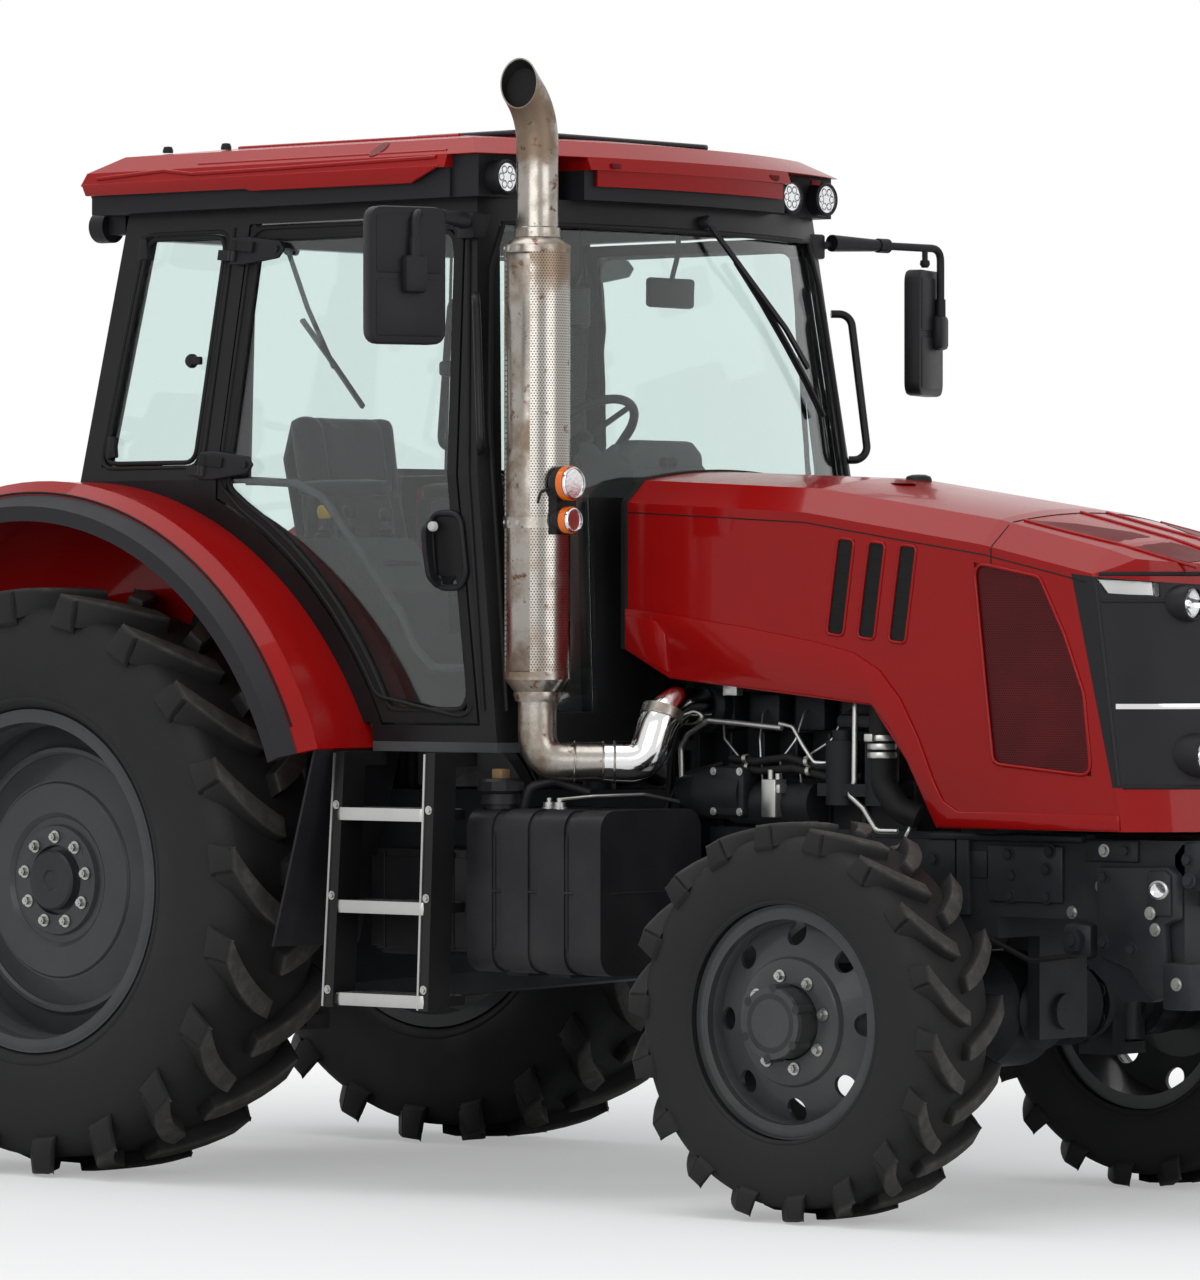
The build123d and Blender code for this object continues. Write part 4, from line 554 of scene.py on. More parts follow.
class Finish:
    """A material under construction: Principled BSDF with object coordinates."""

    def __init__(self, name, colour, roughness, metallic=0.0, centre=(0, 0, 0), **constants):
        self.material = bpy.data.materials.new(name)
        self.material.use_nodes = True
        self.tree = self.material.node_tree
        self.bsdf = self.tree.nodes["Principled BSDF"]
        self.bsdf.inputs["Base Color"].default_value = (*colour, 1)
        self.bsdf.inputs["Roughness"].default_value = roughness
        self.bsdf.inputs["Metallic"].default_value = metallic
        for label, value in constants.items():
            self.bsdf.inputs[label.replace("_", " ")].default_value = value
        coordinates = self.tree.nodes.new("ShaderNodeTexCoord")
        mapping = self.tree.nodes.new("ShaderNodeMapping")
        mapping.inputs["Location"].default_value = tuple(-value for value in centre)
        self.tree.links.new(coordinates.outputs["Object"], mapping.inputs["Vector"])
        self.vector = mapping.outputs[0]
        FINISH[name] = self.material

    def group(self, name, vector=None, **values):
        """Places a shared group; returns its node."""
        node = self.tree.nodes.new("ShaderNodeGroup")
        node.node_tree = bpy.data.node_groups[name]
        self.tree.links.new(vector or self.vector, node.inputs["Vector"])
        for label, value in values.items():
            node.inputs[label].default_value = value
        return node

    def mix(self, mask, first, second):
        """Colour between two colours or sockets by a mask."""
        node = self.tree.nodes.new("ShaderNodeMix")
        node.data_type = "RGBA"
        for slot, value in ((node.inputs[6], first), (node.inputs[7], second)):
            if isinstance(value, tuple):
                slot.default_value = (*value, 1)
            else:
                self.tree.links.new(value, slot)
        self.tree.links.new(mask, node.inputs[0])
        return node.outputs[2]

    def colour(self, socket):
        self.tree.links.new(socket, self.bsdf.inputs["Base Color"])
        return self

    def rough(self, mask, low, high):
        self.tree.links.new(ramp(self.tree, mask, 0.0, 1.0, low, high), self.bsdf.inputs["Roughness"])
        return self

    def bump(self, height, strength, distance):
        """Adds a relief; several calls stack."""
        node = self.tree.nodes.new("ShaderNodeBump")
        node.inputs["Strength"].default_value = strength
        node.inputs["Distance"].default_value = distance
        self.tree.links.new(height, node.inputs["Height"])
        if self.bsdf.inputs["Normal"].links:
            self.tree.links.new(self.bsdf.inputs["Normal"].links[0].from_socket, node.inputs["Normal"])
        self.tree.links.new(node.outputs[0], self.bsdf.inputs["Normal"])
        return self


def shade(colour, factor):
    return tuple(min(1.0, value * factor) for value in colour)


def blend_colours(first, second, share):
    return tuple(a + (b - a) * share for a, b in zip(first, second))


DUST = (0.16, 0.14, 0.115)


def coated(name, colour, roughness, grain=420.0, relief=0.05, dust=0.25, spread=0.25, metallic=0.0,
           coat=0.0, shine=0.18):
    """Paint, plastic or casting: slow colour change, fine grain, dust low down."""
    finish = Finish(name, colour, roughness, metallic, Coat_Weight=coat, Coat_Roughness=0.04,
                    Specular_IOR_Level=shine)
    cloud = finish.group("blotches", Scale=2.6, Low=0.3, High=0.7)
    fine = finish.group("grain", Scale=grain)
    tone = finish.mix(cloud.outputs["Mask"], shade(colour, 1 - spread), shade(colour, 1 + spread))
    low = finish.group("ground_dust", Reach=1.3)
    amount = math_node(finish.tree, "MULTIPLY", low.outputs["Mask"], dust)
    finish.colour(finish.mix(amount, tone, blend_colours(colour, DUST, 0.55)))
    finish.rough(cloud.outputs["Mask"], roughness * 0.85, min(1.0, roughness * 1.15))
    finish.bump(fine.outputs["Height"], relief, 0.0012)
    return finish


def hole_vector(finish, axes):
    """Two of the object's axes as the X and Y of a hole pattern."""
    values = split_axes(finish.tree, finish.vector)
    return join_axes(finish.tree, values[axes[0]], values[axes[1]])


def make_finishes(paint):
    """Every finish of the machine, by name."""
    red, chassis, plastic, rim = (tuple(getattr(paint, label))
                                  for label in ("body_red", "chassis", "plastic", "rim"))
    coated("red_paint", red, 0.22, 60.0, 0.010, 0.04, 0.04, coat=0.25, shine=0.05)
    coated("amber_plastic", (0.85, 0.16, 0.005), 0.16, 300.0, 0.02, 0.02, 0.02, coat=0.5)
    coated("red_plastic", (0.45, 0.006, 0.004), 0.16, 300.0, 0.02, 0.02, 0.02, coat=0.5)
    coated("brushed_steel", (0.46, 0.46, 0.45), 0.34, 300.0, 0.05, 0.15, 0.1, metallic=0.85)
    coated("red_shadow", shade(red, 0.35), 0.5, 300.0, 0.1, 0.05, 0.05)
    coated("chassis_paint", chassis, 0.45, 260.0, 0.10, 0.35)
    coated("engine_cast", shade(chassis, 0.55), 0.5, 180.0, 0.25, 0.35)
    coated("frame_paint", (0.010, 0.010, 0.011), 0.34, 300.0, 0.03, 0.12)
    coated("black_plastic", plastic, 0.48, 700.0, 0.12, 0.2)
    coated("tank_plastic", shade(plastic, 1.2), 0.42, 500.0, 0.10, 0.3)
    coated("fender_plastic", shade(plastic, 1.5), 0.5, 500.0, 0.14, 0.25)
    coated("soft_rubber", (0.010, 0.010, 0.010), 0.62, 400.0, 0.08, 0.2)
    coated("rim_paint", rim, 0.34, 200.0, 0.04, 0.4, 0.12, coat=0.1)
    coated("hub_paint", shade(rim, 0.6), 0.42, 200.0, 0.08, 0.3)
    coated("zinc", (0.42, 0.42, 0.40), 0.34, 240.0, 0.08, 0.2, 0.2, 0.9)
    coated("polished_steel", (0.72, 0.72, 0.72), 0.12, 500.0, 0.01, 0.05, 0.05, 1.0)
    coated("tan_cap", (0.30, 0.19, 0.10), 0.55, 300.0, 0.15)
    coated("yellow_knob", (0.70, 0.42, 0.02), 0.35, 300.0, 0.03)
    coated("white_button", (0.72, 0.72, 0.70), 0.4, 300.0, 0.03)
    coated("interior_grey", (0.060, 0.062, 0.064), 0.6, 600.0, 0.15, 0.05)
    coated("reflector", (0.85, 0.85, 0.86), 0.10, 120.0, 0.03, 0.0, 0.05, 1.0)
    # near-black painted shade for the hood panel gaps, vent slots, flare groove and exhaust bore
    coated("painted_shade_black", (0.004, 0.004, 0.004), 0.6, 200.0, 0.05, 0.0)

    fabric = coated("seat_cloth", (0.020, 0.022, 0.025), 0.85, 900.0, 0.4, 0.0, 0.2)
    fabric.bsdf.inputs["Sheen Weight"].default_value = 0.3

    for name, centre, bead, top in (("rear_rubber", (REAR_X, 0, 0.868), 0.48, 0.87),
                                    ("front_rubber", (FRONT_X, 0, 0.545), 0.29, 0.55)):
        rubber = Finish(name, tuple(paint.rubber), 0.72, centre=centre, Specular_IOR_Level=0.2)
        cloud = rubber.group("blotches", Scale=3.5, Low=0.3, High=0.72)
        fine = rubber.group("grain", Scale=260.0)
        lines = rubber.group("rings", Spacing=0.021)
        worn = rubber.group("blotches", Scale=24.0, Low=0.35, High=0.8)
        radius = lines.outputs["Radius"]
        near_bead = ramp(rubber.tree, radius, bead + 0.01, bead + 0.075, 1.0, 0.0)
        tone = rubber.mix(cloud.outputs["Mask"], shade(tuple(paint.rubber), 0.75),
                          shade(tuple(paint.rubber), 1.3))
        # lug tops lighter: painted light on the tread tops, broken up by real wear blotches
        tread = ramp(rubber.tree, radius, top - 0.02, top - 0.004)
        lit_and_worn_tread = math_node(rubber.tree, "MULTIPLY", tread,
                            ramp(rubber.tree, worn.outputs["Mask"], 0.0, 1.0, 0.45, 1.0))
        rubber.colour(rubber.mix(lit_and_worn_tread, tone, (0.085, 0.080, 0.072)))
        rubber.rough(cloud.outputs["Mask"], 0.58, 0.78)
        rubber.bump(math_node(rubber.tree, "MULTIPLY", lines.outputs["Height"], near_bead), 0.35, 0.002)
        rubber.bump(fine.outputs["Height"], 0.22, 0.0012)

    steel = Finish("stained_steel", (0.55, 0.52, 0.48), 0.32, 1.0, centre=(fore(1700), -0.752, 0))
    cloud = steel.group("blotches", Scale=4.0, Low=0.42, High=0.60)
    stains = steel.group("blotches", Scale=26.0, Low=0.58, High=0.68)
    fine = steel.group("grain", Scale=160.0)
    tone = steel.mix(cloud.outputs["Mask"], (0.33, 0.31, 0.28), (0.17, 0.125, 0.09))
    steel.colour(steel.mix(stains.outputs["Mask"], tone, (0.12, 0.06, 0.035)))
    steel.rough(cloud.outputs["Mask"], 0.26, 0.5)
    steel.bump(fine.outputs["Height"], 0.12, 0.0015)

    shield = Finish("perforated_shield", (0.55, 0.53, 0.50), 0.3, 1.0, centre=(fore(1700), -0.752, 0))
    axes = split_axes(shield.tree, shield.vector)
    around = math_node(shield.tree, "MULTIPLY", math_node(shield.tree, "ARCTAN2", axes["Y"], axes["X"]),
                       0.090)
    holes = shield.group("round_holes", join_axes(shield.tree, around, axes["Z"]), Pitch=0.0085, Hole=0.26)
    cloud = shield.group("blotches", Scale=3.2, Low=0.45, High=0.62)
    stains = shield.group("blotches", Scale=17.0, Low=0.60, High=0.70)
    tone = shield.mix(cloud.outputs["Mask"], (0.36, 0.345, 0.32), (0.22, 0.16, 0.115))
    tone = shield.mix(stains.outputs["Mask"], tone, (0.16, 0.075, 0.035))
    shield.colour(shield.mix(holes.outputs["Mask"], tone, (0.07, 0.06, 0.05)))
    shield.rough(cloud.outputs["Mask"], 0.24, 0.42)
    shield.bump(holes.outputs["Mask"], -0.5, 0.002)

    for name, base, hole, axes, pitch, size, metal in (
            ("red_mesh", (0.10, 0.006, 0.008), (0.012, 0.002, 0.002), "XZ", 0.0075, 0.30, 0.1),
            ("tread_plate", (0.42, 0.42, 0.41), (0.03, 0.03, 0.03), "XY", 0.024, 0.30, 0.85)):
        plate = Finish(name, base, 0.4, metal, Specular_IOR_Level=0.15)
        holes = plate.group("round_holes", hole_vector(plate, axes), Pitch=pitch, Hole=size)
        cloud = plate.group("blotches", Scale=6.0, Low=0.35, High=0.7)
        tone = plate.mix(cloud.outputs["Mask"], shade(base, 0.85), shade(base, 1.15))
        plate.colour(plate.mix(holes.outputs["Mask"], tone, hole))
        plate.bump(holes.outputs["Mask"], -0.6, 0.002)

    glass = Finish("cab_tint", tuple(paint.glass), 0.015, Transmission_Weight=1.0, IOR=1.45)
    smear = glass.group("blotches", Scale=2.0, Low=0.35, High=0.75)
    glass.rough(smear.outputs["Mask"], 0.0, 0.012)
    for name, colour in (("clear_lens", (0.95, 0.96, 0.97)), ("smoked_lens", (0.30, 0.31, 0.33))):
        lens = Finish(name, colour, 0.04, Transmission_Weight=1.0, IOR=1.45)
        fine = lens.group("grain", Scale=120.0)
        lens.bump(fine.outputs["Height"], 0.15, 0.002)


FINISH_NODES = {
    "engine_cast": "engine engine_fittings radiator",
    "chassis_paint": ("transmission rear_axle front_frame front_axle knuckle_left knuckle_right "
        "drawbar top_link lower_links lift_arms lift_rods"),
    "tank_plastic": "fuel_tanks",
    "black_plastic": "side_boxes roof_liner mirrors lamp_housings grille",
    "frame_paint": "cab_steps cab_frame handrails",
    "stained_steel": "exhaust_pipe muffler",
    "interior_grey": "cab_floor console steering_wheel",
    "red_paint": "roof_shell fenders hood_shell hood_nose",
    "cab_tint": "cab_glass door_glass_left door_glass_right",
    "seat_cloth": "driver_seat",
    "fender_plastic": "fender_flares",
    "clear_lens": "lamp_lenses headlamps",
    "red_mesh": "hood_screens",
    "polished_steel": "steering_rod",
    "soft_rubber": "door_frame_left door_frame_right",
    "rim_paint": "rear_rim_left rear_rim_right front_rim_left front_rim_right",
    "rear_rubber": "rear_tyre_left rear_tyre_right",
    "front_rubber": "front_tyre_left front_tyre_right",
}
NODE_FINISH = {name: finish for finish, names in FINISH_NODES.items() for name in names.split()}


class TRACTOR_OT_finishes(bpy.types.Operator):
    """Makes the finishes and gives every CAD node its own"""
    bl_idname = "tractor.finishes"
    bl_label = "Finishes"

    def execute(self, context):
        make_effects()
        make_finishes(context.scene.tractor_paint)
        for name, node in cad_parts.items():
            node.data.materials.clear()
            node.data.materials.append(FINISH[NODE_FINISH[name]])
        return {"FINISHED"}


# ================================================================ wheels
def wheels(settings):
    """Every wheel: axle, side, body, place of its centre, outboard direction, tyre sizes."""
    rear = (settings.rear_radius, settings.rear_half, settings.rear_bead, settings.rear_lugs, 0.052)
    front = (settings.front_radius, settings.front_half, settings.front_bead, settings.front_lugs, 0.059)
    for side, way in SIDES:
        yield "rear", side, f"rear_wheel_{side}", Vector((REAR_X, 0.880 * way,
                                                          settings.rear_radius)), way, rear
        yield "front", side, f"front_wheel_{side}", Vector((FRONT_X, 0.805 * way,
                                                            settings.front_radius)), way, front


def axle_place(centre, way):
    """Place whose Z axis is the wheel's axle, pointing outboard."""
    return facing(centre, (0, way, 0))


# columns: share of the half width, leading and trailing edge (shares of the pitch)
LUG_LINES = ((0.020, 0.473, 0.267), (0.100, 0.451, 0.229),
             (0.240, 0.399, 0.153), (0.400, 0.320, 0.061),
             (0.560, 0.216, -0.045), (0.720, 0.088, -0.173), (0.860, -0.049, -0.318),
             (0.955, -0.152, -0.438))


def lug_shape(name, radius, half, lugs, height):
    """One tread bar from the tyre's middle over its shoulder, at the top of a wheel about the origin."""
    shape = Shape(name)
    pitch = 2 * math.pi / lugs
    crown = radius - height

    def at(share, across, r):
        angle = share * pitch
        return Vector((r * math.sin(angle), across, r * math.cos(angle)))
    rows = []
    slope = 0.050
    for share, lead, trail in LUG_LINES:
        sink = 0.0 if share < 0.5 else 0.030 * radius * (share - 0.5) ** 2
        base = crown - 0.012 - 0.12 * radius * max(0.0, share - 0.62)
        across = share * half
        rows.append([at(lead + slope, across, base), at(lead, across, radius - sink - 0.0006),
                     at(trail, across, radius - sink - 0.0006), at(trail - slope, across, base)])
    # the bar's foot, running down the sidewall
    for across, drop, lead, trail in ((1.005 * half, 0.020, -0.205, -0.430),
                                      (1.018 * half, 0.075, -0.190, -0.475),
                                      (1.004 * half, 0.118, -0.165, -0.520)):
        r = radius - drop * radius
        rows.append([at(lead + 0.03, 0.93 * across, r - 0.012), at(lead, across, r), at(trail, across, r),
                     at(trail - 0.03, 0.93 * across, r - 0.012)])
    rings = [[shape.bm.verts.new(point) for point in row] for row in rows]
    made = [shape.bm.faces.new(rings[0]), shape.bm.faces.new(list(reversed(rings[-1])))]
    for lower, upper in zip(rings, rings[1:]):
        for k in range(4):
            n = (k + 1) % 4
            made.append(shape.bm.faces.new((lower[k], upper[k], upper[n], lower[n])))
    bmesh.ops.recalc_face_normals(shape.bm, faces=made)
    crest = [edge for edge in shape.bm.edges if len(edge.link_faces) == 2 and edge.calc_face_angle(0) > 0.6]
    bmesh.ops.bevel(shape.bm, geom=crest, offset=0.0045, segments=2, affect="EDGES", profile=0.5,
                    clamp_overlap=True)
    return shape


def carcass_profile(radius, half, bead, height):
    """Closed profile of the tyre's body: (radius, across)."""
    crown = radius - height
    bead_y = half - 0.048
    outer = [(bead + 0.002, bead_y - 0.002), (bead + 0.029, bead_y - 0.001), (bead + 0.036, bead_y + 0.013)]
    for share, width in ((0.13, 0.885), (0.155, 0.915), (0.172, 0.922), (0.186, 0.912), (0.21, 0.930),
                         (0.30, 0.966), (0.42, 0.987), (0.55, 0.990), (0.68, 0.978), (0.79, 0.945),
                         (0.88, 0.893), (0.94, 0.815), (0.975, 0.70), (0.99, 0.45), (1.0, 0.0)):
        outer.append((bead + (crown - bead) * share, half * width))
    inner = [(r, -across) for r, across in reversed(outer[:-1])]
    return outer + inner


class TRACTOR_OT_tyres(bpy.types.Operator):
    """Makes the four lugged tyres"""
    bl_idname = "tractor.tyres"
    bl_label = "Tyres"

    def execute(self, context):
        ring = ring_tree()
        for axle, side, body, centre, way, sizes in wheels(context.scene.tractor_tyres):
            radius, half, bead, lugs, share = sizes
            height = share * radius
            finish = f"{axle}_rubber"
            hull = Shape(f"{axle}_tyre_body_{side}")
            hull.lathe(carcass_profile(radius, half, bead, height), axle_place(centre, way), 120,
                       closed=True)
            hull = hull.finish(finish, body, 50)
            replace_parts(hull, f"{axle}_tyre_{side}")
            for label, flip in (("outer", 1), ("inner", -1)):
                lug = lug_shape("lug", radius, half, lugs, height)
                bmesh.ops.transform(lug.bm, matrix=Matrix.Scale(flip * way, 4, (0, 1, 0)),
                                    verts=lug.bm.verts)
                if flip * way < 0:
                    bmesh.ops.reverse_faces(lug.bm, faces=lug.bm.faces)
                turn = 0.0 if flip > 0 else math.pi / lugs
                values = {"Count": lugs, "Centre": tuple(centre), "Start turn": turn}
                through_tree(f"{axle}_tyre_{label}_lugs_{side}", lug.mesh(), ring, values, finish, body, 32)
        return {"FINISHED"}


BOLT_CIRCLE = 0.128


class TRACTOR_OT_rims(bpy.types.Operator):
    """Adds wheel bolts, hub caps and rim beads"""
    bl_idname = "tractor.rims"
    bl_label = "Rims"

    def execute(self, context):
        for axle, side, body, centre, way, _ in wheels(context.scene.tractor_tyres):
            place = axle_place(centre, way)
            out = Vector((0, way, 0))
            if axle == "rear":
                count, face, size = 9, 0.0935, 0.0135
                # stepped barrel, bead seat to disc
                dish = Shape(f"rear_rim_steps_{side}")
                for profile in (mm((481.5, 197.5), (500, 198.5), (506.5, 194.5), (503, 188), (481, 184)),
                                mm((467.5, 150), (462, 140), (456, 100), (467.5, 88)),
                                mm((400, 52), (392, 63), (380, 64), (372, 56)),
                                mm((292, 79), (286, 86), (200, 90), (186, 79)),
                                mm((165, 79), (160, 92), (104, 95), (100, 79))):
                    dish.lathe(profile, place, 96, closed=True)
                dish.finish("rim_paint", body, 35)
                cap = Shape(f"rear_hub_cap_{side}")
                cap.lathe(mm((89, 95), (89.5, 112), (83, 119), (60, 120.5), (30, 119), (26, 114.5),
                             (0, 114.5), (0, 100)), place, 64, closed=True)
                cap.finish("hub_paint", body, 35)
            else:
                count, face, size = 8, 0.1125, 0.0125
                ring = Shape(f"front_rim_steps_{side}")
                ring.lathe(mm((293.5, 119.5), (312, 120.5), (318.5, 116.5), (315, 110), (293, 106)),
                           place, 96, closed=True)
                ring.lathe(mm((279.5, 96), (274, 88), (270, 60), (279.5, 50)), place, 96, closed=True)
                # raised centre ring that carries the bolts
                ring.lathe(mm((178, 96), (172, 108), (160, 113), (104, 113), (100, 96)),
                           place, 80, closed=True)
                ring.finish("rim_paint", body, 35)
                hub = Shape(f"front_hub_{side}")
                hub.lathe(mm((98.5, 112), (99, 172), (94, 186), (80, 190.5), (52, 189.5), (46, 184),
                             (18, 184), (14, 177), (0, 177), (0, 140)), place, 72, closed=True)
                for k in range(6):
                    angle = 2 * math.pi * (k + 0.4) / 6
                    point = place @ Vector((0.096 * math.cos(angle), 0.096 * math.sin(angle), 0.178))
                    hub.bar(point - out * 0.05, point + out * 0.0125, 0.0125, sides=16)
                hub.finish("hub_paint", body, 35)
            places = []
            for k in range(count):
                angle = 2 * math.pi * (k + 0.25) / count
                point = Vector((BOLT_CIRCLE * math.cos(angle), BOLT_CIRCLE * math.sin(angle), face + 0.004))
                places.append((place @ point, out))
            bolts(f"{axle}_wheel_bolts_{side}", places, size, "zinc", body, 0.016)
            studs = Shape(f"{axle}_wheel_studs_{side}")
            for point, _ in places:
                studs.bar(point, point + out * 0.019, 0.0062, 0.0052, 10)
            studs.finish("zinc", body, 30)
            valve = Shape(f"{axle}_valve_{side}")
            reach, depth = (0.452, 0.090) if axle == "rear" else (0.264, 0.062)
            foot = place @ Vector((reach, 0, depth))
            valve.bar(foot - out * 0.02, foot + out * 0.030, 0.0065, 0.0055, 10)
            valve.finish("soft_rubber", body, 30)
        return {"FINISHED"}


# ================================================================ hood and nose
def between(rows, value):
    """Values of a table's columns at a value of its first column, in straight lines."""
    for before, after in zip(rows, rows[1:]):
        if value <= after[0]:
            break
    share = (value - before[0]) / (after[0] - before[0])
    return [a + (b - a) * share for a, b in zip(before[1:], after[1:])]


# columns: ahead of the rear axle, shoulder, chamfer top, crown
HOOD_ROWS = ((1760, 1975, 2040, 2070), (2420, 1940, 2008, 2042), (3050, 1845, 1915, 1950),
             (3420, 1765, 1832, 1862), (3790, 1660, 1722, 1748))


def hood_top(distance, across, proud=0.0):
    """Point on the hood's skin above its side panels."""
    shoulder, shelf, crown = between(HOOD_ROWS, distance)
    reach = abs(across)
    if reach > 362:
        height = shelf + (shoulder - shelf) * (reach - 362) / 78
    else:
        height = shelf + (crown - shelf) * (1 - (reach / 362) ** 2)
    return spot(distance, across, height + proud)


def nose(across, height, proud=0.0):
    """Point on the rounded nose."""
    share = (height - 1000) / 1200
    front, sag = 3758 - 148 * share, 228 + 22 * share
    radius = (440 ** 2 + sag ** 2) / (2 * sag)
    return spot(front + proud - radius + math.sqrt(radius ** 2 - across ** 2), across, height)


def strip(shape, path, radius, closed=False, sides=8):
    """Thin round strip through points."""
    shape.sweep([Vector(point) for point in path], circle(radius, sides), closed=closed)


def rows_patch(shape, rows, thick):
    """Thin plate over rows of surface points, each row across the plate."""
    top = [[shape.bm.verts.new(point) for point in row] for row in rows]
    low = [[shape.bm.verts.new(Vector(point) - Vector((0, 0, thick))) for point in row] for row in rows]
    made = []
    for i in range(len(rows) - 1):
        for k in range(len(rows[0]) - 1):
            made.append(shape.bm.faces.new((top[i][k], top[i + 1][k], top[i + 1][k + 1], top[i][k + 1])))
            made.append(shape.bm.faces.new((low[i][k], low[i][k + 1], low[i + 1][k + 1], low[i + 1][k])))
    last, count = len(rows) - 1, len(rows[0]) - 1
    edges = [((i, 0), (i + 1, 0)) for i in range(last)] + [((i + 1, count), (i, count))
                                                           for i in range(last)]
    edges += [((0, k + 1), (0, k)) for k in range(count)] + [((last, k), (last, k + 1))
                                                             for k in range(count)]
    for (i, k), (m, n) in edges:
        made.append(shape.bm.faces.new((top[i][k], top[m][n], low[m][n], low[i][k])))
    bmesh.ops.recalc_face_normals(shape.bm, faces=made)


FLANGE_TOP = ((1764, 1672), (1900, 1658), (2200, 1620), (2450, 1580), (2600, 1548), (2690, 1500),
              (2765, 1420), (2830, 1310), (2880, 1200), (2915, 1140), (2965, 1112), (3516, 1112))
FLANGE_FOOT = ((3517, 1068), (2890, 1068), (2786, 1252), (2735, 1330), (2662, 1404), (2450, 1428),
               (1928, 1476), (1764, 1556))
SCREEN = ((3018, 1798), (3245, 1757), (3330, 1600), (3395, 1440), (3421, 1215), (3085, 1245))


class TRACTOR_OT_hood(bpy.types.Operator):
    """Adds the hood's seams, flanges, vents, lamps and chrome"""
    bl_idname = "tractor.hood"
    bl_label = "Hood"

    def execute(self, context):
        # seam strips: painted shade in the gaps between the hood panels
        seams = Shape("hood_seams")
        shoulder_line = [(1764, 28), (2090, 28), (2420, 28), (2735, 28), (3050, 26), (3235, 26), (3400, 26)]
        strip(seams, [spot(d, -440.3, between(HOOD_ROWS, d)[0] - drop) for d, drop in shoulder_line],
              0.0019, sides=6)
        strip(seams, [spot(3078, -440.3, z) for z in (1836, 1814, 1792)], 0.0018, sides=6)
        strip(seams, [spot(3505, -440.3, z) for z in (1112, 1090, 1069)], 0.0016, sides=6)
        seams.mirror()
        strip(seams, [hood_top(3078 + 30 * (1 - (y / 440) ** 2), y, 0.2) for y in range(-439, 440, 22)],
              0.0018, sides=6)
        seams.finish("painted_shade_black", "hood", 0)

        flange = Shape("hood_flange")
        outline = side_view((*FLANGE_TOP, *FLANGE_FOOT))
        flange.prism(outline, "y", -0.4470, -0.4385, 0.0045)
        # scalloped bulge beside the exhaust
        bulge = [(1768, 1654), (1876, 1640), (1922, 1600), (1936, 1486), (1775, 1552)]
        flange.prism(side_view(bulge), "y", -0.4550, -0.4385, 0.012)
        flange.mirror().finish("red_paint", "hood")

        lips = Shape("hood_lips")
        corners = [spot(d, -440.6, z) for d, z in SCREEN]
        strip(lips, ring_path(corners, 0.035), 0.0052, closed=True)
        for count in range(3):
            x, z = 2500 + 110 * count, 1600 - 10 * count
            slot = [(x, z), (x + 60, z - 6), (x + 100, z + 262), (x + 40, z + 268)]
            corners = [spot(d, -440.4, h) for d, h in slot]
            strip(lips, ring_path(corners, 0.016, 4), 0.0044, closed=True)
        lips.mirror().finish("red_paint", "hood", 50)

        # near-black plates and slats in the vent slots: painted shade inside the openings
        vents = Shape("vent_inserts")
        for count in range(3):
            x, z = 2500 + 110 * count, 1600 - 10 * count
            slot = [(x + 1, z + 1), (x + 59, z - 5), (x + 99, z + 261), (x + 41, z + 267)]
            vents.prism(side_view(slot), "y", -0.4386, -0.4364)
            for row in range(5):
                h = z + 24 + 50 * row
                lean = 40 * (h - z) / 268
                vents.prism(side_view(((x + 3 + lean, h), (x + 58 + lean, h - 6), (x + 60 + lean, h + 4),
                                       (x + 5 + lean, h + 10))), "y", -0.4402, -0.4380)
        vents.mirror().finish("painted_shade_black", "hood", 30)

        gasket = Shape("hood_gasket")
        path = spots((1748, -441, 1556), (1748, -441, 1700), (1748, -441, 1965))
        path += [hood_top(1761, y, 1.0) - Vector((0.013, 0, 0)) for y in range(-436, 437, 24)]
        path += spots((1748, 441, 1965), (1748, 441, 1700), (1748, 441, 1556))
        section = mm((-4.5, 0), (4.5, 0), (4.5, 24), (-4.5, 24))
        rows = []
        for before, point, after in zip([path[0], *path], path, [*path[1:], path[-1]]):
            out = Vector((1, 0, 0)).cross((after - before).normalized()).normalized()
            rows.append([point + out * a + Vector((b, 0, 0)) for a, b in section])
        gasket.bevel(gasket.skin(rows), 0.003)
        gasket.finish("soft_rubber", "hood")

        panel = Shape("nose_panels")
        for way in (-1, 1):
            rows = []
            for d, low, high in ((3110, 300, 306), (3200, 215, 300), (3330, 130, 290), (3480, 96, 276),
                                 (3600, 84, 240)):
                rows.append([hood_top(d, way * (low + (high - low) * k / 4), 1.6) for k in range(5)])
            rows_patch(panel, rows, 0.004)
        panel.finish("red_shadow", "hood", 30)
        ridge = Shape("nose_ridges")
        for y, bend in ((60, 0), (316, 60)):
            line = [hood_top(d, -(y - bend * ((d - 3100) / 540) ** 2), 1.0) for d in range(3100, 3641, 60)]
            strip(ridge, line, 0.005)
        ridge.mirror().finish("red_paint", "hood", 50)

        cap = Shape("hood_cap")
        cap.lathe(mm((0, 16), (20, 15), (34, 10), (38, 2), (38, -6), (0, -6)),
                  Matrix.Translation(hood_top(2450, 40)), 40)
        cap.finish("black_plastic", "hood", 35)
        dimple = Shape("hood_dimple")
        place = Matrix.Translation(hood_top(2520, -120, 0.4))
        dimple.lathe(mm((30, 0), (34, 2.2), (38, 0)), place, 40, closed=True)
        dimple.lathe(mm((0, 0.8), (30, 0.8), (30, -2), (0, -2)), place, 40)
        dimple.finish("red_shadow", "hood", 35)

        chrome = Shape("nose_chrome")
        section = ((-0.004, -0.008), (0.004, -0.007), (0.0055, 0.0), (0.004, 0.007), (-0.004, 0.008))
        rows = []
        for y in range(-426, 427, 12):
            base = nose(y, 1405)
            out = (base - spot(3218, 0, 1405)).normalized()
            rows.append([base + out * a + Vector((0, 0, b)) for a, b in section])
        chrome.skin(rows)
        chrome.finish("polished_steel", "hood", 30)

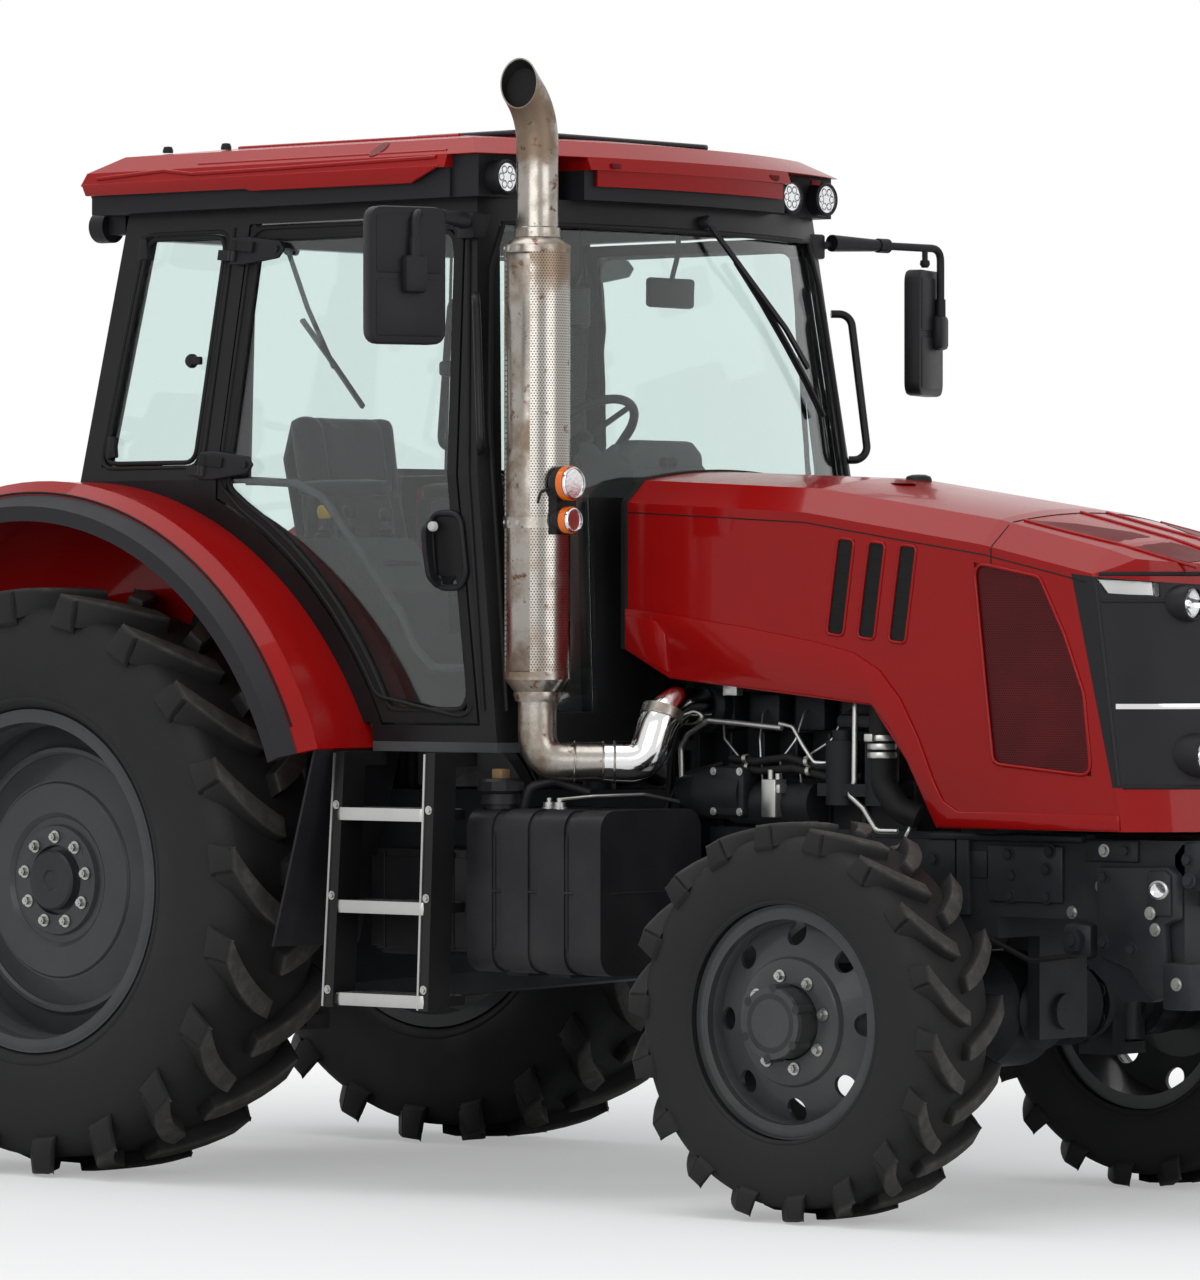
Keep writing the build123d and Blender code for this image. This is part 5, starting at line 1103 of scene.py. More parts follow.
        trim = Shape("nose_trim")
        for height, radius in ((1764, 0.006), (1690, 0.0045), (1187, 0.006)):
            strip(trim, [nose(y, height, 1.0) for y in range(-430, 431, 20)], radius)
        for y in (-436, 436):
            strip(trim, [nose(y, z, 0.5) for z in range(1190, 1766, 36)], 0.006)
        # cowls round the lamps
        for across, height, face, reach, back in ((262, 1685, 3634, 0.050, 0.075),
                                                  (270, 1273, 3690, 0.060, 0.095)):
            for way in (-1, 1):
                place = facing(spot(face, way * across, height), (1, 0, 0))
                trim.lathe([(reach, -back), (reach, -0.006), (reach - 0.004, 0.0), (reach - 0.009, 0.0),
                            (reach - 0.009, -0.012), (reach - 0.004, -back)], place, 48, closed=True)
        trim.finish("black_plastic", "hood")
        bowls = Shape("lamp_bowls")
        glass = Shape("lamp_glass")
        for across, height, face, reach in ((262, 1685, 3634, 0.040), (270, 1273, 3690, 0.050)):
            for way in (-1, 1):
                place = facing(spot(face, way * across, height), (1, 0, 0))
                bowls.lathe([(0.0, -0.034), (0.010, -0.033), (0.6 * reach, -0.022), (reach, -0.008),
                             (reach + 0.001, -0.010), (0.6 * reach, -0.025), (0.0, -0.036)], place, 40)
                bowls.lathe(mm((0, -12), (6, -13), (9, -20), (9, -34), (0, -34)), place, 20)
                glass.lathe([(0.0, -0.001), (0.5 * reach, -0.0025), (reach, -0.007), (reach, -0.010),
                             (0.5 * reach, -0.0055), (0.0, -0.004)], place, 40)
        # light strip behind the corner glass
        bars = Shape("corner_light_bars")
        for way in (-1, 1):
            rows = []
            for y in range(325, 432, 15):
                share = (y - 325) / 106
                rows.append([nose(way * y, 1706 + 4 * share, -16), nose(way * y, 1742 + 6 * share, -16)])
            low = [[bars.bm.verts.new(point) for point in row] for row in rows]
            deep = [[bars.bm.verts.new(point - Vector((0.004, 0, 0))) for point in row] for row in rows]
            made = []
            for i in range(len(rows) - 1):
                made.append(bars.bm.faces.new((low[i][0], low[i + 1][0], low[i + 1][1], low[i][1])))
                made.append(bars.bm.faces.new((deep[i][0], deep[i][1], deep[i + 1][1], deep[i + 1][0])))
                for k in (0, 1):
                    made.append(bars.bm.faces.new((low[i][k], low[i + 1][k], deep[i + 1][k], deep[i][k])))
            for i in (0, len(rows) - 1):
                made.append(bars.bm.faces.new((low[i][0], low[i][1], deep[i][1], deep[i][0])))
            bmesh.ops.recalc_face_normals(bars.bm, faces=made)
        bars.finish("brushed_steel", "hood", 30)
        bowls.finish("reflector", "hood", 30)
        glass.finish("clear_lens", "hood", 30)
        return {"FINISHED"}


# ================================================================ cab
CAB_ROWS = ((1290, 800, 1590, 1735, -20, -40), (2050, 850, 1560, 1708, -20, -60),
            (2845, 760, 1480, 1620, 95, 60))


def cab_side(distance, height, proud=0.0):
    """Point on the right side of the cab."""
    return spot(distance, -between(CAB_ROWS, height)[0] - proud, height)


def bowed(across, half, corner, middle):
    """Distance of a bowed pane at a place across it."""
    sag = abs(middle - corner)
    radius = (half ** 2 + sag ** 2) / (2 * sag)
    return middle + math.copysign(1, corner - middle) * (radius - math.sqrt(radius ** 2 - across ** 2))


def windshield(across, height, proud=0.0):
    """Point on the front of the cab."""
    half, corner, middle = between(CAB_ROWS, height)[:3]
    return spot(bowed(across, half, corner, middle) + proud, across, height)


def rear_window(across, height, proud=0.0):
    """Point on the back of the cab."""
    half, _, _, corner, middle = between(CAB_ROWS, height)
    return spot(bowed(across, half, corner, middle) - proud, across, height)


SWEEP = [(math.sqrt(1286 ** 2 - (z - 868) ** 2), z) for z in range(1380, 2020, 60)]
DOOR_EDGE = [(1485, 1381), (1402, 2754), (634, 2754), (577, 2030), *reversed(SWEEP)]


class TRACTOR_OT_cab(bpy.types.Operator):
    """Adds the cab's seals, hinges, handles, wipers, controls and trim"""
    bl_idname = "tractor.cab"
    bl_label = "Cab"

    def execute(self, context):
        for side, way in SIDES:
            turned = Matrix.Scale(-way, 4, (0, 1, 0))
            seal = Shape("door_seal_" + side)
            path = [turned @ point for point in ring_path([cab_side(d, z, -6) for d, z in DOOR_EDGE], 0.06)]
            strip(seal, path, 0.0085, closed=True)
            outer = ring_path([cab_side(d + (10 if d > 1000 else -10), z + (10 if z > 2000 else -10), 1)
                               for d, z in ((1503, 1362), (1420, 2775), (617, 2775), (557, 2030))]
                              + [cab_side(math.sqrt(1262 ** 2 - (z - 868) ** 2), z, 1)
                                 for z in range(1960, 1370, -60)], 0.07)
            strip(seal, [turned @ point for point in outer], 0.006, closed=True)
            seal.finish("soft_rubber", "door_" + side, 60)
            # hinge straps, lock and grips of the door
            straps = Shape("door_straps_" + side)
            heads = []
            for root, height in ((500, 2090), (560, 2720)):
                outline = [(root - 14, height + 40), (root - 14, height - 40), (root + 40, height - 42),
                           (root + 170, height - 26), (root + 192, height), (root + 170, height + 26),
                           (root + 40, height + 42)]
                near = [turned @ cab_side(d, z, 4) for d, z in outline]
                far = [turned @ cab_side(d, z, 26 if d < root + 100 else 17) for d, z in outline]
                straps.loft(near, far, 0.005, 3)
                head = turned @ cab_side(root + 166, height, 16)
                heads.append((head, (0, way, 0)))
            straps.finish("black_plastic", "door_" + side)
            bolts("strap_bolts_" + side, heads, 0.011, "frame_paint", "door_" + side, 0.008)
            grip = Shape("door_handle_" + side)
            loop = [turned @ cab_side(d, z, out)
                    for d, z, out in ((1384, 1915, 4), (1384, 1898, 34), (1390, 1830, 38), (1396, 1765, 34),
                                      (1398, 1742, 6))]
            section = mm((-12, -8), (12, -8), (15, 0), (12, 9), (-12, 9), (-15, 0))
            grip.sweep(rounded(loop, 0.03, 5), section, up=(1, 0, 0.05))
            recess = ring_path([turned @ cab_side(d, z, 3)
                                for d, z in ((1378, 1945), (1492, 1940), (1505, 1770), (1480, 1730),
                                             (1385, 1730))], 0.04)
            strip(grip, recess, 0.009, closed=True)
            grip.finish("black_plastic", "door_" + side, 50)
            button = Shape("lock_button_" + side)
            button.lathe(mm((0, 14), (11, 13), (14, 9), (14, -4), (0, -4)),
                         facing(turned @ cab_side(1404, 1905, 22), (0, way, 0)), 28)
            button.finish("white_button", "door_" + side)
            rail = Shape("door_rail_" + side)
            points = [turned @ cab_side(d, z, -out)
                      for d, z, out in ((640, 2044, 24), (655, 2044, 62), (800, 2036, 72), (900, 1990, 72),
                                        (1020, 1850, 72), (1180, 1660, 72), (1230, 1560, 72),
                                        (1300, 1500, 72), (1440, 1500, 66), (1462, 1500, 26))]
            rail.tube(points, 0.0125, 0.05, 12, 5)
            rail.finish("interior_grey", "door_" + side, 60)

        fixed = Shape("window_seals")
        for grow in (6, -9):
            corners = [cab_side(62 - grow, 2092 - grow, -4), cab_side(452 + grow, 2092 - grow, -4),
                       cab_side(510 + grow, 2775 + grow, -4), cab_side(172 - grow, 2775 + grow, -4)]
            strip(fixed, ring_path(corners, 0.045), 0.0075, closed=True)
        # pillar groove between the panes
        strip(fixed, [cab_side(478, 2050, 1), cab_side(492, 2250, 1), cab_side(535, 2790, 1)], 0.005)
        strip(fixed, [cab_side(1545, 1380, 1), cab_side(1525, 2050, 1), cab_side(1455, 2800, 1)], 0.007)
        fixed.mirror()
        top = [windshield(y, 2772, 2) for y in range(-690, 691, 60)]
        side_line = [windshield(y, z, 2)
                     for y, z in ((742, 2640), (770, 2420), (797, 2200), (805, 2050), (790, 1800),
                                  (770, 1380))]
        strip(fixed, [*[Vector((p.x, -p.y, p.z)) for p in reversed(side_line)], *top, *side_line], 0.008)
        fixed.finish("soft_rubber", smooth=60)

        knob = Shape("quarter_knobs")
        place = facing(cab_side(418, 2400, 2), (0, -1, 0))
        knob.lathe(mm((0, 30), (16, 28), (21, 20), (21, 10), (12, 6), (12, -4), (0, -4)), place, 28)
        knob.block((424, -840, 2388), (462, -826, 2412), 4)
        for height, first, second, third, fourth in ((2150, 84, 120, 114, 90), (2740, 150, 190, 184, 156)):
            wall = between(CAB_ROWS, height)[0]
            knob.prism([(fore(first), height / 1000 - 0.035), (fore(second), height / 1000 - 0.03),
                        (fore(third), height / 1000 + 0.03), (fore(fourth), height / 1000 + 0.034)],
                       "y", -(wall + 9) / 1000, -(wall - 10) / 1000, 0.004)
        knob.mirror().finish("black_plastic")

        wiper = Shape("windshield_wiper")
        wiper.lathe(mm((0, 30), (14, 28), (20, 18), (20, -20), (0, -20)),
                    facing(windshield(70, 2800, 2), (1, 0, 0.1)), 24)
        arm = [windshield(70, 2800, 22), windshield(180, 2690, 34), windshield(430, 2500, 30),
               windshield(560, 2390, 22)]
        wiper.sweep(rounded(arm, 0.2, 5), mm((-9, -4), (9, -4), (7, 4), (-7, 4)), up=(1, 0, 0))
        blade = [windshield(y, z, 12)
                 for y, z in ((210, 2690), (330, 2575), (450, 2455), (560, 2345), (650, 2250))]
        wiper.sweep(blade, mm((-5, -11), (5, -11), (9, 2), (4, 10), (-4, 10), (-9, 2)), up=(1, 0, 0))
        wiper.lathe(mm((0, 24), (16, 22), (16, -20), (0, -20)),
                    facing(rear_window(0, 2770, 2), (-1, 0, 0.1)), 24)
        rear_arm = [rear_window(0, 2770, 18), rear_window(120, 2600, 24), rear_window(260, 2420, 18)]
        wiper.sweep(rounded(rear_arm, 0.2, 5), mm((-8, -4), (8, -4), (6, 4), (-6, 4)), up=(1, 0, 0))
        wiper.sweep([rear_window(y, z, 10) for y, z in ((90, 2560), (250, 2430), (400, 2300))],
                    mm((-5, -10), (5, -10), (8, 3), (-8, 3)), up=(1, 0, 0))
        wiper.finish("black_plastic")

        trim = Shape("cab_trim")
        # lining of the pillars
        trim.prism(side_view(((466, 2040), (579, 2040), (604, 2830), (530, 2830))), "y", -0.752, -0.742)
        trim.mirror().finish("interior_grey")

        mirror = Shape("cab_mirror")
        mirror.block((1170, 340, 2575), (1196, 550, 2665), 12)
        mirror.tube(spots((1190, 445, 2660), (1215, 445, 2740), (1215, 445, 2850)), 0.008, 0.03)
        mirror.block((700, 360, 2530), (745, 600, 2660), 18)
        mirror.tube(spots((722, 520, 2655), (722, 560, 2700), (722, 560, 2850)), 0.010, 0.03)
        # grab tubes on the far pillars
        for root, low, high in ((548, 2230, 2560), (70, 2180, 2640)):
            lean = 30
            mirror.tube(spots((root + 4, 770, high), (root + 4, 700, high), (root - lean, 690, low),
                              (root - lean, 776, low)), 0.012, 0.04)
            mirror.block((root - 22, 668, 2400), (root + 18, 712, 2450), 12)
        mirror.finish("black_plastic")

        dash = Shape("dash_cowl")
        hood = mm((-168, 2070), (-168, 2125), (-120, 2163), (120, 2163), (168, 2125), (168, 2070))
        dash.prism(hood, "x", fore(1470), fore(1546), 0.014)
        dash.block((1300, -166, 1965), (1478, 166, 2072), 20)
        dash.finish("interior_grey")
        gauges = Shape("dash_gauges")
        for y in (-0.09, 0.0, 0.09):
            gauges.lathe(mm((34, 0), (38, 4), (42, 0), (38, -6)),
                         facing((fore(1388), y, 2.096), (-0.52, 0, 0.86)), 32, closed=True)
        for y in (0.02, -0.02):
            gauges.lathe(mm((0, 12), (10, 12), (16, 4), (16, -10), (0, -10)),
                         facing((fore(1552), y, 2.10), (1, 0, 0.2)), 24)
        gauges.block((1240, -200, 1985), (1300, -165, 2005), 6)
        gauges.block((1240, 165, 1985), (1300, 200, 2005), 6)
        for y in (-0.13, -0.02, 0.10):
            gauges.box((fore(1392), y, 1.42), (fore(1400), y + 0.075, 1.50), 0.003)
            gauges.tube([(fore(1396), y + 0.037, 1.46), (fore(1425), y + 0.037, 1.56),
                         (fore(1450), y + 0.037, 1.70)], 0.008, 0.05)
        gauges.finish("black_plastic")

        foot, top_point = spot(1380, 0, 1960), spot(1215, 0, 2150)
        axis = (top_point - foot).normalized()
        place = facing(foot + axis * 0.270, axis)
        wheel = Shape("steering_grip")
        ring = [place @ Vector((x, y, 0)) for x, y in circle(0.190, 64)]
        strip(wheel, ring, 0.0138, closed=True, sides=12)
        for k in range(3):
            spoke = Matrix.Rotation(2 * math.pi * k / 3, 4, "Z")
            wheel.box((0.035, -0.012, -0.006), (0.184, 0.012, 0.005), 0.004, place @ spoke)
        wheel.lathe(mm((0, 14), (34, 13), (44, 6), (46, -10), (40, -14.8), (0, -14.8)), place, 40)
        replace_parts(wheel.finish("black_plastic", "steering_wheel", 50), "steering_wheel")

        yellow, black = Shape("lever_knob_yellow"), Shape("lever_knobs_black")
        for levers, d, y, z in ((yellow, 620, -470, 1975), (black, 720, -470, 1975),
                                (black, 820, -420, 1965)):
            levers.lathe(mm((0, 4), (10, 3), (15, -6), (15, -24), (11, -36), (0, -36)),
                         upright(d, y, z) @ Matrix.Diagonal((1.7, 1.0, 1.0, 1.0)), 24)
        yellow.finish("yellow_knob", smooth=50)
        black.finish("black_plastic", smooth=50)
        boots = Shape("lever_boots")
        for d, y, z in ((620, -470, 1880), (720, -470, 1880), (820, -420, 1880)):
            boots.lathe(mm((0, 35), (12, 34), (20, 24), (18, 18), (28, 10), (26, 5), (36, 0), (0, -2)),
                        upright(d, y, z), 24)
        boots.block((400, -560, 1879.5), (560, -380, 1888), 3)
        boots.block((880, -540, 1800), (940, -400, 1812), 3)
        boots.finish("soft_rubber", smooth=50)
        mat = Shape("floor_mat")
        for k in range(14):
            mat.block((1020 + 26 * k, -560, 1295.5), (1034 + 26 * k, 620, 1303), 2)
        mat.finish("soft_rubber", smooth=30)
        return {"FINISHED"}


# ================================================================ seat
def inflate(obj, swell, pressure, frames=20):
    """Blows a cushion up with a cloth simulation and keeps the result, capped so no point strays."""
    scene = bpy.context.scene
    before = [vertex.co.copy() for vertex in obj.data.vertices]
    cloth = obj.modifiers.new("cloth", "CLOTH")
    cloth.settings.use_pressure = True
    cloth.settings.uniform_pressure_force = pressure
    cloth.settings.effector_weights.gravity = 0.0
    cloth.settings.tension_stiffness = cloth.settings.compression_stiffness = 40
    cloth.point_cache.frame_start, cloth.point_cache.frame_end = 1, frames
    for number in range(1, frames + 1):
        scene.frame_set(number)
        bpy.context.view_layer.update()
    solved = obj.evaluated_get(bpy.context.evaluated_depsgraph_get())
    after = [vertex.co.copy() for vertex in solved.data.vertices]
    obj.modifiers.remove(cloth)
    scene.frame_set(1)
    for vertex, start, end in zip(obj.data.vertices, before, after):
        step = end - start
        vertex.co = start + (step if step.length <= swell else step.normalized() * swell)


def cushion(name, low, high, lean, lobes, swell):
    """Padded block: low and high corners before it leans back, with sewn channels across it."""
    shape = Shape(name)
    shape.box(low, high, min(high[i] - low[i] for i in range(3)) * 0.34)
    made = shape.finish("seat_cloth", smooth=180)
    remesh = made.modifiers.new("remesh", "REMESH")
    remesh.mode, remesh.voxel_size, remesh.use_smooth_shade = "VOXEL", 0.012, True
    solved = bpy.data.meshes.new_from_object(made.evaluated_get(bpy.context.evaluated_depsgraph_get()))
    made.modifiers.clear()
    made.data = solved
    made.data.materials.clear()
    made.data.materials.append(FINISH["seat_cloth"])
    inflate(made, swell, 4.0)
    for vertex in made.data.vertices:
        depth = 0.0
        for at, axis, width, deep in lobes:
            depth = max(depth, deep * math.exp(-((vertex.co[axis] - at) / width) ** 2))
        middle = Vector([(low[i] + high[i]) / 2 for i in range(3)])
        thin = min(range(3), key=lambda i: high[i] - low[i])
        side = 1 if vertex.co[thin] > middle[thin] else -1
        vertex.co[thin] -= side * depth
        vertex.co = lean @ vertex.co
    smooth = made.modifiers.new("round", "SUBSURF")
    smooth.levels = smooth.render_levels = 1
    made.data.polygons.foreach_set("use_smooth", [True] * len(made.data.polygons))
    return made


class TRACTOR_OT_seat(bpy.types.Operator):
    """Adds the driver's seat with its cushions, armrests and base"""
    bl_idname = "tractor.seat"
    bl_label = "Seat"

    def execute(self, context):
        stay = Matrix.Identity(4)
        cushion("seat_cushion", (fore(330), -0.232, 1.722), (fore(796), 0.232, 1.812), stay,
                ((-0.15, 1, 0.010, 0.014), (0.15, 1, 0.010, 0.014), (fore(560), 0, 0.010, 0.010)), 0.016)
        anchor = spot(320, 0, 1800)
        lean = Matrix.Translation(anchor) @ Matrix.Rotation(math.radians(-10), 4,
                                                            "Y") @ Matrix.Translation(-anchor)
        back = cushion("seat_back", (fore(290), -0.215, 1.815), (fore(372), 0.215, 2.268), lean,
                       ((-0.13, 1, 0.010, 0.012), (0.13, 1, 0.010, 0.012), (2.02, 2, 0.010, 0.010)), 0.014)
        rests = []
        for side, way in SIDES:
            low, high = sorted((way * 0.236, way * 0.318))
            rests.append(cushion("armrest_" + side, (fore(360), low, 2.008), (fore(690), high, 2.054), stay,
                                 (), 0.004))
        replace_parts(back, "driver_seat")
        frame_shape = Shape("seat_frame")
        frame_shape.block((330, -200, 1600), (760, 200, 1712), 20)
        frame_shape.block((390, -170, 1330), (700, 170, 1600), 30)
        frame_shape.block((360, -200, 1292), (730, 200, 1335), 8)
        for fold in range(5):
            z = 1.37 + 0.045 * fold
            frame_shape.box((fore(382), -0.178, z), (fore(708), 0.178, z + 0.022), 0.009)
        for side, way in SIDES:
            low, high = sorted((way * 0.236, way * 0.262))
            frame_shape.box((fore(352), low, 1.87), (fore(392), high, 2.012), 0.008)
        shell = mm((-190, 1800), (190, 1800), (210, 2140), (150, 2260), (-150, 2260), (-210, 2140))
        frame_shape.prism(shell, "x", fore(262), fore(284), 0.008, lean)
        frame_shape.finish("black_plastic")
        return {"FINISHED"}


# ================================================================ exhaust
def arc_shell(shape, centre, inner, outer, low, high, start, end, steps=24):
    """Part of an upright tube between two angles in degrees."""
    rows = []
    for k in range(steps + 1):
        turn = math.radians(start + (end - start) * k / steps)
        ray = Vector((math.cos(turn), math.sin(turn), 0))
        rows.append([centre + ray * r + Vector((0, 0, z)) for r, z in
                     ((inner, low), (outer, low), (outer, high), (inner, high))])
    shape.skin(rows)


def cut_pipe(shape, route, radius, point, out, wall, depth):
    """Bent pipe cut off by a plane at a point, with a bore of a given wall and depth behind the cut."""
    pipe = Shape("pipe")
    pipe.tube(route, radius, 0.20, 40, 12)
    whole = [*pipe.bm.verts, *pipe.bm.edges, *pipe.bm.faces]
    cut = bmesh.ops.bisect_plane(pipe.bm, geom=whole, plane_co=point, plane_no=out,
                                 clear_outer=True)["geom_cut"]
    edges = [item for item in cut if isinstance(item, bmesh.types.BMEdge)]
    mouth = bmesh.ops.contextual_create(pipe.bm, geom=edges)["faces"]
    bmesh.ops.recalc_face_normals(pipe.bm, faces=pipe.bm.faces)
    bmesh.ops.inset_region(pipe.bm, faces=mouth, thickness=wall, use_even_offset=True)
    inward = (Vector(route[-2]) - Vector(route[-1])).normalized() * depth
    inner = bmesh.ops.extrude_face_region(pipe.bm, geom=mouth)["geom"]
    bmesh.ops.delete(pipe.bm, geom=mouth, context="FACES_ONLY")
    bmesh.ops.translate(pipe.bm, vec=inward,
                        verts=[item for item in inner if isinstance(item, bmesh.types.BMVert)])
    bmesh.ops.recalc_face_normals(pipe.bm, faces=pipe.bm.faces)
    mesh = pipe.mesh()
    shape.bm.from_mesh(mesh)
    bpy.data.meshes.remove(mesh)


class TRACTOR_OT_exhaust(bpy.types.Operator):
    """Adds the muffler's shields and bands, the elbow pipe, the mouth and the stack lamps"""
    bl_idname = "tractor.exhaust"
    bl_label = "Exhaust"

    def execute(self, context):
        centre = spot(1700, -752, 0)
        shield = Shape("heat_shield")
        for start, end in ((-62, 55), (150, 232)):
            arc_shell(shield, centre, 0.0905, 0.0935, 1.492, 2.678, start, end)
        shield.finish("perforated_shield", smooth=60)
        bands = Shape("muffler_bands")
        for low, high, reach in ((1.470, 1.492, 0.0945), (1.898, 1.930, 0.0960), (2.678, 2.700, 0.0945)):
            bands.lathe([(0.0903, low), (reach, low), (reach, high), (0.0903, high)],
                        Matrix.Translation(centre), 64, closed=True)
        bands.lathe(mm((60, 2722), (65.5, 2722), (65.5, 2748), (60, 2752)), Matrix.Translation(centre), 48,
                    closed=True)
        bands.finish("stained_steel")
        places = []
        for turn in (-150, -128, -106, -84):
            ray = Vector((math.cos(math.radians(turn)), math.sin(math.radians(turn)), 0))
            places.append((centre + ray * 0.0955 + Vector((0, 0, 1.914)), ray))
            places.append((centre + ray * 0.094 + Vector((0, 0, 2.689)), ray))
        bolts("band_rivets", places, 0.0055, "zinc", "chassis", 0.003)

        stack = Shape("exhaust_stack")
        stack.lathe(mm((0, 1408), (45, 1408), (90, 1468), (90, 2700), (60, 2726), (0, 2726)),
                    Matrix.Translation(centre), 64)
        mouth, out = spot(1704, -835, 3154), Vector((0.20, -0.95, 0.17)).normalized()
        tail = spots((1700, -752, 2710), (1700, -752, 3070), (1706, -897, 3217))
        cut_pipe(stack, tail, 0.060, mouth, out, 0.004, 0.034)
        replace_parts(stack.finish("stained_steel", smooth=50), "muffler")
        # near-black liner inside the pipe's bore: painted shade in the mouth
        bore = Shape("exhaust_mouth")
        cut_pipe(bore, [tail[0] + Vector((0, 0, 0.2)), *tail[1:]], 0.0555, mouth - out * 0.001, out, 0.001,
                 0.030)
        bore.finish("painted_shade_black")

        pipe = Shape("exhaust_elbow")
        low = spots((1700, -752, 1412), (1700, -752, 1238), (1838, -627, 1236))
        pipe.tube(low, 0.055, 0.11, 40, 14)
        pipe.lathe(mm((0, 0), (62, 0), (68, 20), (62, 40), (66, 58), (0, 58)),
                   upright(1700, -752, 1408), 48)
        pipe.finish("stained_steel", smooth=60)
        rise = Shape("exhaust_riser")
        rise.tube(spots((1836, -629, 1236), (1930, -545, 1236), (1950, -512, 1360), (1950, -440, 1396),
                        (1950, -340, 1396)), 0.0575, 0.075, 40, 12)
        made = rise.finish("polished_steel", smooth=60)
        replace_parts(made, "exhaust_pipe")
        joints = Shape("exhaust_joints")
        run = (spot(1838, -627, 1236) - spot(1700, -752, 1238)).normalized()
        for start, way in ((spot(1778, -681, 1237), run), (spot(1838, -627, 1236), run),
                           (spot(1862, -606, 1236), run)):
            joints.lathe(mm((54, -4), (60, -3), (61.5, 0), (60, 3), (54, 4)), facing(start, way), 48,
                         closed=True)
        joints.lathe(mm((54, -14), (62.5, -14), (62.5, 14), (54, 14)),
                     facing(spot(1950, -500, 1372), (0, 0.42, 0.9)), 48, closed=True)
        joints.finish("stained_steel")

        drums, amber = Shape("stack_drums"), Shape("stack_amber")
        rims, bowls = Shape("stack_rims"), Shape("stack_bowls")
        for height, reach in ((2024, 0.047), (1920, 0.036)):
            place = facing(spot(1850, -774, height), (1, 0, 0))
            drums.lathe([(0.0, -0.062), (reach * 0.72, -0.060), (reach + 0.001, -0.040),
                         (reach + 0.001, -0.022), (0.0, -0.022)], place, 44)
            amber.lathe([(reach - 0.008, -0.0215), (reach + 0.002, -0.0215), (reach + 0.002, -0.002),
                         (reach - 0.004, 0.002), (reach - 0.008, -0.002)], place, 44, closed=True)
            rims.lathe([(reach - 0.007, 0.001), (reach - 0.001, 0.002), (reach - 0.002, 0.007),
                        (reach - 0.006, 0.009)], place, 44, closed=True)
            bowls.lathe([(0.0, 0.0006), (reach - 0.007, 0.0008), (reach - 0.007, 0.0), (0.0, 0.0)], place,
                        36)
        drums.tube(spots((1796, -800, 2010), (1780, -830, 2000), (1775, -836, 1968)), 0.004, 0.02, 8)
        drums.finish("black_plastic")
        amber.finish("amber_plastic")
        rims.finish("polished_steel")
        bowls.finish("reflector", smooth=30)
        return {"FINISHED"}


